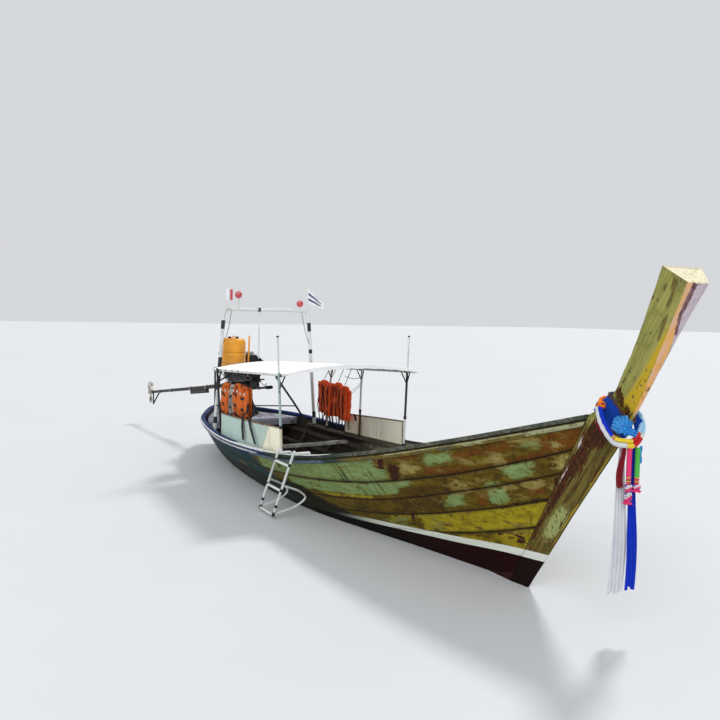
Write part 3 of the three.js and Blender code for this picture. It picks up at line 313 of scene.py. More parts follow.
@dataclass(frozen=True)
class Value:
    """A number or colour that shader nodes work out, which takes plain arithmetic."""

    weave: "Weave"
    socket: bpy.types.NodeSocket

    def __add__(self, other: "Value | float") -> "Value":
        """Adds.

        Args:
            other: Second number.

        Returns:
            The sum.
        """
        return self.weave.join("ADD", self, other)

    def __mul__(self, other: "Value | float") -> "Value":
        """Multiplies.

        Args:
            other: Second number.

        Returns:
            The product.
        """
        return self.weave.join("MULTIPLY", self, other)

    def __sub__(self, other: "Value | float") -> "Value":
        """Subtracts.

        Args:
            other: What is taken away.

        Returns:
            The difference.
        """
        return self.weave.join("SUBTRACT", self, other)

    def __rsub__(self, other: float) -> "Value":
        """Subtracts this from a number.

        Args:
            other: The number.

        Returns:
            The difference.
        """
        return self.weave.join("SUBTRACT", other, self)

    def ramp(self, low: float, high: float) -> "Value":
        """Stretches the value between two limits to 0 to 1 with soft ends.

        Args:
            low: Becomes 0.
            high: Becomes 1, also where it is the lower limit.

        Returns:
            The stretched value.
        """
        node = self.weave.node("ShaderNodeMapRange", {"Value": self, "From Min": min(low, high),
                                                      "From Max": max(low, high)})
        node.interpolation_type = "SMOOTHSTEP"
        if high < low:
            node.inputs["To Min"].default_value = 1.0
            node.inputs["To Max"].default_value = 0.0
        return Value(self.weave, node.outputs[0])

    def tone(self, low: float, high: float, first: "Value | Colour", second: "Value | Colour") -> "Value":
        """Blends two colours where the value passes between two limits.

        Args:
            low: Gives the first colour.
            high: Gives the second colour.
            first: First colour.
            second: Second colour.

        Returns:
            The blended colour.
        """
        return self.weave.blend(self.ramp(low, high), first, second)

    def peel(self, ragged: "Value", reach: float = 0.5, soft: float = 0.06) -> "Value":
        """Turns a soft weight into a patch with a ragged edge.

        Args:
            ragged: Noise that breaks the edge up.
            reach: How far the noise moves the edge.
            soft: Half width of the edge.

        Returns:
            A mask.
        """
        return (self + (ragged - 0.5) * (reach * 2)).ramp(0.5 - soft, 0.5 + soft)


class Weave:
    """Builds one procedural material out of shader nodes, a coat of colour at a time."""

    def __init__(self, name: str) -> None:
        """Starts an empty material.

        Args:
            name: The material's name.
        """
        self.material = bpy.data.materials.new(name)
        self.material.use_nodes = True
        self.tree = self.material.node_tree
        self.tree.nodes.clear()
        self.place = Value(self, self.node("ShaderNodeTexCoord").outputs["Object"])
        split = self.node("ShaderNodeSeparateXYZ", {"Vector": self.place})
        self.x, self.z = Value(self, split.outputs["X"]), Value(self, split.outputs["Z"])
        self.colour: Value | Colour = (0.5, 0.5, 0.5)

    def node(self, kind: str, inputs: dict[str | int, object] | None = None) -> bpy.types.Node:
        """Adds a node.

        Args:
            kind: The node's type name.
            inputs: Its inputs by name or number, each a number, a colour or a value of other nodes.

        Returns:
            The new node.
        """
        node = self.tree.nodes.new(kind)
        for name, value in (inputs or {}).items():
            socket = node.inputs[name]
            if isinstance(value, Value):
                self.tree.links.new(value.socket, socket)
            elif socket.type == "RGBA":
                socket.default_value = (*value, 1.0)
            else:
                socket.default_value = value
        return node

    def cloud(self, place: Value, scale: float, detail: float, rough: float = 0.5) -> Value:
        """Adds cloudy noise.

        Args:
            place: Where it is read.
            scale: Size of the pattern.
            detail: Octaves.
            rough: Weight of the fine octaves.

        Returns:
            A value near 0.5.
        """
        node = self.node("ShaderNodeTexNoise", {"Vector": place, "Scale": scale, "Detail": detail,
                                                "Roughness": rough})
        return Value(self, node.outputs["Fac"])

    def noise(self, scale: float, detail: float, stretch: Colour = (1.0, 1.0, 1.0), rough: float = 0.6,
              shift: float = 0.0) -> Value:
        """Adds cloudy noise in the object's own space.

        Args:
            scale: Size of the pattern.
            detail: Octaves.
            stretch: Scale along x, y and z.
            rough: Weight of the fine octaves.
            shift: Moves the pattern, so that two don't match.

        Returns:
            A value near 0.5.
        """
        mapping = self.node("ShaderNodeMapping", {
            "Vector": self.place, "Location": (shift, shift * 0.7, shift * 1.3), "Scale": stretch})
        return self.cloud(Value(self, mapping.outputs[0]), scale, detail, rough)

    def slant(self, lean: float, across: float, along: float, shift: float = 0.0) -> Value:
        """Adds noise drawn out into slanted lines in the x and z plane.

        Args:
            lean: Angle of the lines from straight down, in degrees.
            across: Lines to the metre, across them.
            along: Waves to the metre, along them.
            shift: Moves the pattern.

        Returns:
            A value near 0.5.
        """
        c, s = math.cos(math.radians(lean)), math.sin(math.radians(lean))
        first = self.x * (c * across) + self.z * (s * across)
        second = self.x * (s * along) - self.z * (c * along)
        joint = self.node("ShaderNodeCombineXYZ", {"X": first, "Y": second, "Z": shift})
        return self.cloud(Value(self, joint.outputs[0]), 1.0, 3.0)

    def join(self, kind: str, a: Value | float, b: Value | float) -> Value:
        """Joins two numbers by arithmetic.

        Args:
            kind: ADD, MULTIPLY or SUBTRACT.
            a: First number.
            b: Second number.

        Returns:
            The result.
        """
        node = self.node("ShaderNodeMath", {0: a, 1: b})
        node.operation = kind
        return Value(self, node.outputs[0])

    def blend(self, factor: Value | float, a: Value | Colour, b: Value | Colour) -> Value:
        """Blends two colours.

        Args:
            factor: 0 gives a, 1 gives b.
            a: First colour.
            b: Second colour.

        Returns:
            The blended colour.
        """
        node = self.tree.nodes.new("ShaderNodeMix")
        node.data_type = "RGBA"
        for socket, value in ((node.inputs[0], factor), (node.inputs[6], a), (node.inputs[7], b)):
            if isinstance(value, Value):
                self.tree.links.new(value.socket, socket)
            else:
                socket.default_value = (*value, 1.0) if socket.type == "RGBA" else value
        return Value(self, node.outputs[2])

    def paint(self, mask: Value | float, colour: Value | Colour) -> None:
        """Lays a coat over the colour so far.

        Args:
            mask: Where it shows.
            colour: Its colour.
        """
        self.colour = self.blend(mask, self.colour, colour)

    def stored(self, name: str) -> Value:
        """Reads a value stored on the mesh.

        Args:
            name: The stored value's name.

        Returns:
            The value.
        """
        node = self.node("ShaderNodeAttribute")
        node.attribute_name = name
        return Value(self, node.outputs["Fac"])

    def finish(self, rough: Value | float, metal: Value | float = 0.0, height: Value | None = None,
               depth: float = 0.0, coat: float = 0.0) -> Finish:
        """Closes the material.

        Args:
            rough: Roughness.
            metal: How metallic it is.
            height: Relief as a value, or None.
            depth: Relief in metres.
            coat: Weight of a clear coat.

        Returns:
            The finished material.
        """
        shader = self.node("ShaderNodeBsdfPrincipled", {
            "Base Color": self.colour, "Roughness": rough, "Metallic": metal, "Coat Weight": coat,
            "Specular IOR Level": 0.13 + coat})
        if height is not None:
            bump = self.node("ShaderNodeBump", {"Strength": 1.0, "Distance": depth, "Height": height})
            self.tree.links.new(bump.outputs[0], shader.inputs["Normal"])
        out = self.node("ShaderNodeOutputMaterial")
        self.tree.links.new(shader.outputs[0], out.inputs["Surface"])
        return self.material


@dataclass(frozen=True)
class HullPaint:
    """Layers of old paint on the planking, with painted shadow low down and painted shade inside, steered by
    weights stored on the mesh.
    """

    olive: Colour = (0.066, 0.043, 0.002)
    ochre: Colour = (0.128, 0.086, 0.004)
    dirt: Colour = (0.01, 0.006, 0.002)
    white: Colour = (0.64, 0.68, 0.6)
    maroon: Colour = (0.012, 0.0005, 0.0004)
    soft: tuple[str, ...] = ("sage", "pale", "brown")
    layers: tuple[tuple[str, Colour, Colour, float], ...] = (
        ("teal", (0.002, 0.026, 0.03), (0.007, 0.048, 0.052), 0.3),
        ("yellow", (0.33, 0.262, 0.01), (0.18, 0.14, 0.006), 0.4),
        ("brown", (0.032, 0.016, 0.002), (0.075, 0.04, 0.004), 0.55),
        ("sage", (0.195, 0.29, 0.11), (0.14, 0.18, 0.05), 0.46),
        ("rust", (0.15, 0.05, 0.002), (0.074, 0.026, 0.002), 0.58),
        ("pale", (0.33, 0.275, 0.085), (0.15, 0.11, 0.02), 0.62),
        ("stain", (0.018, 0.003, 0.0015), (0.045, 0.014, 0.004), 0.5),
        # shade: painted shadow, near black, on the lower strakes from the stern to forward of amidships.
        ("shade", (0.004, 0.006, 0.002), (0.014, 0.016, 0.004), 0.25),
        # inside: the planks' inner face; its near-black is partly dark timber and partly painted shade under
        # the canopy.
        ("inside", (0.012, 0.009, 0.006), (0.034, 0.027, 0.019), 0.1),
    )

    def material(self) -> Finish:
        """Builds the material.

        Returns:
            The finished material.
        """
        w = Weave("hull paint")
        ragged = w.noise(6.5, 8.0, (0.42, 1.0, 1.35), 0.66)
        fine = w.noise(30.0, 7.0, (0.4, 1.0, 1.1), 0.68, 3.1)
        streak = w.noise(15.0, 6.0, (0.16, 1.0, 1.9), 0.62, 7.7)
        broken = (ragged * 0.45 + fine * 0.35 + streak * 0.2).ramp(0.37, 0.63)
        drips = w.noise(16.0, 5.0, (2.4, 1.0, 0.3), 0.6, 5.3).ramp(0.54, 0.74)
        inside, seam = w.stored("inside"), w.stored("seam")
        w.colour = streak.tone(0.38, 0.64, self.olive, self.ochre)
        patchy = fine * 0.6 + streak * 0.4
        # Each layer shows where its stored weight is; the shade layer is painted shadow, the inside layer
        # partly painted shade.
        for name, main, second, reach in self.layers:
            mask = w.stored(name).peel(broken, reach, 0.26 if name in self.soft else 0.16)
            w.paint(mask, patchy.tone(0.4, 0.62, main, second))
        bare = fine.tone(0.42, 0.64, (0.3, 0.285, 0.195), (0.16, 0.14, 0.085))
        # Forward of the canopy the inner face turns to pale bare wood; aft of that its near-black is partly
        # painted shade.
        w.paint(inside * (w.x + ragged).ramp(-0.9, 0.1), bare)
        worn = w.noise(21.0, 8.0, (0.3, 1.0, 1.5), 0.72, 9.4).ramp(0.615, 0.665)
        w.paint(worn * 0.6, (0.105, 0.058, 0.012))
        flecks = w.noise(17.0, 8.0, (0.45, 1.0, 1.3), 0.74, 31.0).ramp(0.64, 0.675)
        w.paint(flecks * (w.stored("flecks") * 0.85), (0.33, 0.27, 0.09))
        w.paint(drips * 0.45, self.dirt)
        scrapes = w.slant(31.0, 27.0, 2.2).ramp(0.52, 0.6) * w.stored("grime")
        w.paint(scrapes * 0.88, (0.026, 0.022, 0.007))
        w.paint(w.noise(8.0, 2.0, (0.5, 1.0, 1.3), 0.4, 21.0).ramp(0.75, 0.775) * 0.8, self.dirt)
        w.paint((seam + (fine - 0.5) * 0.9).ramp(0.95, 0.3) * 0.5, (0.034, 0.016, 0.005))
        w.paint(seam.ramp(0.3, 0.05) * 0.92, self.dirt)
        # The boot top and the white line above it rise towards the bow.
        edge = w.z + w.x * BOOT_SLOPE + (ragged - 0.5) * 0.008
        outside = 1.0 - inside
        line = (edge - (w.x.ramp(-0.2, 3.3) * 0.03 + 0.004)).ramp(0.064, 0.061) * w.x.ramp(0.75, 1.65)
        w.paint(line * fine.ramp(0.8, 0.7) * outside, self.white)
        below = edge.ramp(*BOOT_EDGE) * outside
        boot = fine.tone(0.45, 0.75, self.maroon, (0.014, 0.002, 0.001))
        # Below the boot top the hull is maroon forward and near-black green aft; the aft part is painted
        # shade on the low hull.
        w.paint(below, w.x.tone(2.3, 1.2, boot, (0.0018, 0.0034, 0.0016)))
        relief = ragged * 0.7 + w.noise(75.0, 5.0, (0.05, 1.0, 1.0), 0.6, 1.9) * 0.35
        return w.finish(fine * 0.3 + 0.48 + below * 0.25, 0.0, relief, 0.0045)


@dataclass(frozen=True)
class PostPaint:
    """Ochre paint on the prow post, with mustard, rose and lilac zones and dark stains."""

    ochre: Colour = (0.315, 0.3, 0.085)
    olive: Colour = (0.2, 0.185, 0.042)
    mustard: Colour = (0.47, 0.32, 0.018)
    rose: Colour = (0.78, 0.4, 0.13)
    lilac: Colour = (0.56, 0.47, 0.52)
    stain: Colour = (0.07, 0.036, 0.008)
    cut: Colour = (0.76, 0.7, 0.5)
    maroon: Colour = (0.007, 0.0006, 0.0005)
    patches: tuple[tuple[str, float, float, float, float, Colour, Colour], ...] = (
        ("sage", 0.5, 0.18, 0.45, 0.7, (0.3, 0.33, 0.12), (0.16, 0.18, 0.055)),
        ("rust", 0.55, 0.16, 0.42, 0.66, (0.034, 0.008, 0.003), (0.09, 0.034, 0.009)),
        ("plum", 0.26, 0.24, 0.42, 0.64, (0.23, 0.115, 0.13), (0.11, 0.05, 0.05)),
    )

    def material(self) -> Finish:
        """Builds the material.

        Returns:
            The finished material.
        """
        w = Weave("post paint")
        ragged = w.noise(7.0, 7.0, (1.6, 1.6, 0.7), 0.62)
        fine = w.noise(34.0, 6.0, (1.3, 1.3, 0.5), 0.66, 4.0)
        broad, narrow = w.slant(-30.0, 34.0, 1.6), w.slant(-30.0, 62.0, 2.6, 5.0)
        grain = broad * 0.6 + narrow * 0.4
        broken = (grain * 0.55 + fine * 0.45).ramp(0.38, 0.62)
        w.colour = grain.tone(0.4, 0.62, self.ochre, self.olive)
        w.paint(ragged.ramp(0.52, 0.7), shade(self.ochre, 0.55))
        deep = grain.tone(0.42, 0.6, (0.105, 0.074, 0.011), (0.034, 0.022, 0.004))
        w.paint(w.z.ramp(1.46, 1.38) * 0.82, deep)
        w.paint(fine.ramp(0.58, 0.74), shade(self.ochre, 1.3))
        w.paint(w.stored("mustard").peel(broken, 0.3, 0.42), self.mustard)
        w.paint(w.stored("rose").peel(ragged, 0.3), ragged.tone(0.45, 0.62, self.rose, (0.7, 0.43, 0.29)))
        w.paint(w.stored("lilac").peel(ragged, 0.6), fine.tone(0.46, 0.7, self.lilac, (0.33, 0.25, 0.27)))
        for name, reach, soft, low, high, first, second in self.patches:
            w.paint(w.stored(name).peel(broken, reach, soft), fine.tone(low, high, first, second))
        w.paint(w.stored("stain").peel(fine, 0.24, 0.28) * 0.68, self.stain)
        w.paint(narrow.ramp(0.67, 0.71) * 0.5, self.stain)
        w.paint((w.stored("edge") + (ragged - 0.5) * 0.9).ramp(0.42, 0.62) * 0.85, self.mustard)
        w.paint(w.stored("cut").peel(fine, 0.1), fine.tone(0.5, 0.72, self.cut, (0.43, 0.34, 0.19)))
        edge = w.z + w.x * BOOT_SLOPE + (ragged - 0.5) * 0.01
        w.paint(edge.ramp(0.098, 0.095), (0.64, 0.66, 0.61))
        w.paint(edge.ramp(*BOOT_EDGE), self.maroon)
        return w.finish(fine * 0.32 + 0.46, 0.0, ragged * 0.6 + grain * 0.5, 0.005)


@dataclass(frozen=True)
class RailPaint:
    """Rail paint that is navy aft and grey-green forward, under worn white, blue and cream zones."""

    navy: tuple[Colour, Colour] = ((0.01, 0.026, 0.115), (0.06, 0.1, 0.22))
    teal: tuple[Colour, Colour] = ((0.018, 0.034, 0.03), (0.075, 0.088, 0.07))
    green: tuple[Colour, Colour] = ((0.05, 0.056, 0.04), (0.15, 0.148, 0.115))
    olive: tuple[Colour, Colour] = ((0.17, 0.125, 0.022), (0.085, 0.06, 0.014))
    layers: tuple[tuple[str, Colour, Colour, float], ...] = (
        ("blue", (0.1, 0.14, 0.2), (0.036, 0.05, 0.07), 0.35),
        ("pale", (0.33, 0.34, 0.19), (0.13, 0.115, 0.045), 0.55),
        ("white", (0.72, 0.73, 0.71), (0.42, 0.43, 0.4), 0.3),
    )

    def material(self) -> Finish:
        """Builds the material.

        Returns:
            The finished material.
        """
        w = Weave("rail paint")
        ragged = w.noise(9.0, 7.0, (0.35, 1.0, 1.0), 0.64)
        fine = w.noise(44.0, 6.0, (0.35, 1.0, 1.0), 0.65, 2.0)
        shifted = w.x + (ragged - 0.5) * 0.8
        w.colour = fine.tone(0.5, 0.76, *self.navy)
        w.paint(shifted.ramp(-0.35, 0.05), fine.tone(0.48, 0.7, *self.teal))
        w.paint(shifted.ramp(1.15, 1.6), fine.tone(0.45, 0.68, *self.green))
        w.paint(w.stored("olive") * ragged.ramp(0.3, 0.52), fine.tone(0.42, 0.66, *self.olive))
        worn = w.noise(17.0, 7.0, (0.3, 1.0, 1.0), 0.68, 6.0).ramp(0.6, 0.65)
        w.paint(worn * 0.6, (0.17, 0.15, 0.105))
        for name, main, second, reach in self.layers:
            w.paint(w.stored(name).peel(ragged, reach, 0.08), fine.tone(0.48, 0.68, main, second))
        dirt = w.noise(13.0, 6.0, (1.2, 1.0, 1.0), 0.66, 15.0).ramp(0.58, 0.7)
        w.paint(dirt * 0.55, (0.03, 0.026, 0.018))
        return w.finish(fine * 0.3 + 0.45, 0.0, ragged * 0.6 + fine * 0.4, 0.003)


@dataclass(frozen=True)
class Timber:
    """Painted or bare timber with worn edges, grain and dirt."""

    name: str
    paint: Colour
    worn: Colour
    wear: float = 0.55
    along: Colour = (0.25, 1.0, 1.0)

    def material(self) -> Finish:
        """Builds the material.

        Returns:
            The finished material.
        """
        w = Weave(self.name)
        ragged, fine = w.noise(6.0, 6.0, self.along, 0.62), w.noise(38.0, 5.0, self.along, 0.62, 3.0)
        w.colour = fine.tone(0.42, 0.72, self.paint, shade(self.paint, 0.68))
        w.paint(ragged.ramp(self.wear, self.wear + 0.1) * 0.85, self.worn)
        w.paint(w.noise(2.6, 5.0, shift=12.0).ramp(0.55, 0.68) * 0.55, shade(self.worn, 0.35))
        return w.finish(fine * 0.28 + 0.48, 0.0, ragged * 0.5 + fine * 0.5, 0.003)


@dataclass(frozen=True)
class PaintedSteel:
    """Paint on steel tube or plate, with chips, rust runs and grime."""

    name: str
    paint: Colour
    rust: float = 0.66
    rough: float = 0.38
    metal: float = 0.0

    def material(self) -> Finish:
        """Builds the material.

        Returns:
            The finished material.
        """
        w = Weave(self.name)
        ragged = w.noise(14.0, 6.0, (1.0, 1.0, 0.5), 0.64)
        fine = w.noise(60.0, 5.0, (1.0, 1.0, 0.6), 0.6, 5.0)
        w.colour = fine.tone(0.45, 0.75, self.paint, shade(self.paint, 0.8))
        w.paint(w.noise(4.0, 5.0, (1.0, 1.0, 0.6), 0.6, 2.0).ramp(0.48, 0.68) * 0.35, (0.11, 0.095, 0.07))
        chips = ragged.ramp(self.rust, self.rust + 0.035)
        w.paint(chips, w.blend(fine, (0.13, 0.045, 0.018), (0.26, 0.11, 0.04)))
        return w.finish(chips * 0.4 + self.rough, self.metal, fine + chips, 0.0012)


@dataclass(frozen=True)
class Cloth:
    """Woven cloth with a fine weave, fading and creases."""

    name: str
    base: Colour
    second: Colour
    fade: float = 0.35
    rough: float = 0.85
    threads: float = 420.0
    depth: float = 0.0012

    def material(self) -> Finish:
        """Builds the material.

        Returns:
            The finished material.
        """
        w = Weave(self.name)
        threads = w.noise(self.threads, 2.0, (1.0, 1.0, 0.35), 0.5, 2.0)
        w.colour = w.blend(w.noise(5.0, 5.0).ramp(0.4, 0.68) * self.fade, self.base, self.second)
        w.paint(threads.ramp(0.4, 0.8) * 0.25, shade(self.base, 0.5))
        creases = w.noise(22.0, 4.0, (1.0, 1.0, 0.4), 0.55, 6.0)
        return w.finish(self.rough, 0.0, threads * 0.35 + creases, self.depth)


@dataclass(frozen=True)
class Screen:
    """Pale sheet panels with rust runs from the top edge and grime at the foot."""

    name: str = "screen sheet"
    cream: Colour = (0.8, 0.78, 0.62)
    sage: Colour = (0.43, 0.56, 0.51)

    def material(self) -> Finish:
        """Builds the material.

        Returns:
            The finished material.
        """
        w = Weave(self.name)
        ragged = w.noise(5.0, 6.0, (1.0, 1.0, 0.4), 0.62)
        fine = w.noise(30.0, 5.0, (1.0, 1.0, 0.3), 0.6, 3.0)
        runs = w.noise(26.0, 4.0, (1.0, 1.0, 0.05), 0.6, 8.0)
        w.colour = w.blend(w.stored("aft"), self.cream, self.sage)
        w.paint(ragged.ramp(0.48, 0.68) * 0.4, (0.48, 0.43, 0.3))
        w.paint(runs.ramp(0.6, 0.72) * 0.4, (0.3, 0.2, 0.1))
        w.paint(w.stored("rust").peel(fine, 0.7) * 0.75, (0.2, 0.085, 0.03))
        return w.finish(fine * 0.3 + 0.45, 0.0, ragged, 0.004)


@dataclass(frozen=True)
class Plastic:
    """Moulded plastic with a slight gloss, scuffs and dirt in its low parts."""

    name: str
    base: Colour
    rough: float = 0.34
    scuff: float = 0.35
    coat: float = 0.15

    def material(self) -> Finish:
        """Builds the material.

        Returns:
            The finished material.
        """
        w = Weave(self.name)
        fine = w.noise(46.0, 5.0, shift=5.0)
        w.colour = w.noise(5.0, 5.0, (1.0, 1.0, 0.7)).tone(0.35, 0.75, self.base, shade(self.base, 0.74))
        w.paint(fine.ramp(0.6, 0.7) * self.scuff, shade(self.base, 0.35, 0.05))
        return w.finish(fine * 0.18 + self.rough, 0.0, fine, 0.0008, self.coat)


@dataclass(frozen=True)
class BareMetal:
    """Cast or drawn metal with tarnish and oil."""

    name: str
    base: Colour
    tarnish: Colour
    rough: float = 0.36
    metal: float = 0.9

    def material(self) -> Finish:
        """Builds the material.

        Returns:
            The finished material.
        """
        w = Weave(self.name)
        mask = w.noise(16.0, 6.0, rough=0.64).ramp(0.45, 0.64)
        w.colour = w.blend(mask, self.base, self.tarnish)
        fine = w.noise(80.0, 5.0, shift=4.0)
        return w.finish(mask * 0.3 + self.rough, self.metal - mask * 0.45, fine, 0.0009)


# Mesh building


@dataclass
class Builder:
    """Collects geometry with finishes and stored values, then makes one object of it."""

    name: str
    body: str = "boat"
    angle: float = 38.0
    points: list[Vector] = field(default_factory=list)
    faces: list[tuple[int, ...]] = field(default_factory=list)
    slots: list[int] = field(default_factory=list)
    materials: list[Finish] = field(default_factory=list)
    stored: dict[str, dict[int, float]] = field(default_factory=dict)

    def add(self, points: Sequence[Vector], faces: Sequence[Sequence[int]], material: Finish) -> int:
        """Adds a lump of geometry.

        Args:
            points: Corner points.
            faces: Corner indices of each face, counted from the lump's first point.
            material: Its finish.

        Returns:
            The index of the lump's first point.
        """
        start = len(self.points)
        if material not in self.materials:
            self.materials.append(material)
        self.points.extend(points)
        self.faces += [tuple(start + c for c in corners) for corners in faces]
        self.slots += [self.materials.index(material)] * len(faces)
        return start

    def keep(self, name: str, start: int, values: Sequence[float]) -> None:
        """Stores a value on points.

        Args:
            name: The value's name.
            start: First point.
            values: One for each point from there on.
        """
        self.stored.setdefault(name, {}).update(enumerate(values, start))

    def grid(self, rows: Sequence[Sequence[Vector]], material: Finish, around: bool = True,
             caps: bool = True, ends: bool = False) -> int:
        """Adds a skin over rows of points.

        Args:
            rows: Rows with the same number of points.
            material: Its finish.
            around: Joins the last point of each row to its first.
            caps: Closes the first and last rows with a face.
            ends: Joins the last row to the first.

        Returns:
            The index of the first point.
        """
        count, wide = len(rows), len(rows[0])
        faces: list[tuple[int, ...]] = []
        for i in range(count if ends else count - 1):
            for j in range(wide if around else wide - 1):
                here, after = i * wide, ((i + 1) % count) * wide
                faces.append((here + j, here + (j + 1) % wide, after + (j + 1) % wide, after + j))
        if caps:
            faces.append(tuple(reversed(range(wide))))
            faces.append(tuple((count - 1) * wide + j for j in range(wide)))
        return self.add([p for row in rows for p in row], faces, material)

    def leaf(self, rows: Sequence[Sequence[Vector]], material: Finish, front: Vector, back: Vector) -> None:
        """Adds a thin closed sheet over rows of points.

        Args:
            rows: Rows of its middle.
            material: Its finish.
            front: Step from the middle to its front.
            back: Step from the middle to its back.
        """
        self.grid([[p + front for p in row] + [p + back for p in reversed(row)] for row in rows], material)

    def pipe(self, path: Sequence[Vector], radius: float | Sequence[float], material: Finish,
             sides: int = 12, closed: bool = False) -> None:
        """Adds a round bar along points.

        Args:
            path: Its centre line.
            radius: One radius, or one for each point.
            material: Its finish.
            sides: Corners round the bar.
            closed: Joins its ends.
        """
        count = len(path)
        radii = [radius] * count if isinstance(radius, float) else radius
        rows = []
        side = None
        for i, centre in enumerate(path):
            before = path[(i - 1) % count if closed else max(i - 1, 0)]
            after = path[(i + 1) % count if closed else min(i + 1, count - 1)]
            tangent = (after - before).normalized()
            if side is None:
                side = tangent.cross(UP if abs(tangent.z) < 0.9 else v(1, 0, 0)).normalized()
            side = (side - tangent * side.dot(tangent)).normalized()
            up = tangent.cross(side)
            rows.append([centre + side * (radii[i] * math.cos(a)) + up * (radii[i] * math.sin(a))
                         for a in turns(sides)])
        self.grid(rows, material, True, not closed, closed)

    def lathe(self, profile: Sequence[tuple[float, float]], origin: Vector, axis: Vector,
              material: Finish, sides: int = 32) -> None:
        """Adds a turned solid.

        Args:
            profile: Radius and height pairs from one end to the other.
            origin: Where height 0 lies.
            axis: Direction of the height.
            material: Its finish.
            sides: Corners round it.
        """
        turn = axis.to_track_quat("Z", "Y")
        rows = [[origin + axis.normalized() * h + turn @ v(r * math.cos(a), r * math.sin(a), 0)
                 for a in turns(sides)] for r, h in profile]
        self.grid(rows, material)

    def block(self, low: Sequence[float], high: Sequence[float], material: Finish,
              ease: float = 0.004, turn: Matrix | None = None) -> None:
        """Adds a box with eased edges.

        Args:
            low: Lowest corner.
            high: Highest corner.
            material: Its finish.
            ease: Width of the eased edge.
            turn: Moves the box after it is made.
        """
        a, b = Vector(low), Vector(high)
        ease = min(ease, min(b - a) * 0.45)
        rows = []
        for z, inset in ((a.z, ease), (a.z + ease, 0.0), (b.z - ease, 0.0), (b.z, ease)):
            ring = []
            for sx, sy in ((0, 0), (1, 0), (1, 1), (0, 1)):
                cx, cy = (b.x if sx else a.x), (b.y if sy else a.y)
                dx, dy = (-1 if sx else 1), (-1 if sy else 1)
                pair = [v(cx + dx * inset, cy + dy * (ease + inset), z),
                        v(cx + dx * (ease + inset), cy + dy * inset, z)]
                ring += pair if (sx + sy) % 2 == 0 else pair[::-1]
            rows.append([turn @ p for p in ring] if turn is not None else ring)
        self.grid(rows, material)

    def build(self, replaces: Sequence[str] = (), slot: str | None = None) -> Piece:
        """Makes the object and hands it to its body.

        Args:
            replaces: Frame nodes it stands for.
            slot: Not used.

        Returns:
            The new object.
        """
        label = self.name.replace(" ", "_")
        mesh = bpy.data.meshes.new(label)
        mesh.from_pydata([tuple(p) for p in self.points], [], self.faces)
        for material in self.materials:
            mesh.materials.append(material)
        mesh.polygons.foreach_set("material_index", self.slots)
        mesh.polygons.foreach_set("use_smooth", [True] * len(self.faces))
        for name, table in self.stored.items():
            layer = mesh.attributes.new(name, "FLOAT", "POINT")
            layer.data.foreach_set("value", [table.get(k, 0.0) for k in range(len(self.points))])
        mesh.update()
        mesh.set_sharp_from_angle(angle=math.radians(self.angle))
        obj = bpy.data.objects.new(label, mesh)
        bpy.context.scene.collection.objects.link(obj)
        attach(obj, self.body)
        if replaces:
            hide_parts(*replaces)
        return obj


def dress(obj: Piece, material: Finish, angle: float | None = None) -> None:
    """Gives a piece of the frame its finish.

    Args:
        obj: The piece.
        material: The finish.
        angle: Edges up to this many degrees are smoothed, or None to leave all as they are.
    """
    obj.data.materials.clear()
    obj.data.materials.append(material)
    if angle is not None:
        obj.data.polygons.foreach_set("use_smooth", [True] * len(obj.data.polygons))
        obj.data.set_sharp_from_angle(angle=math.radians(angle))


# Hull


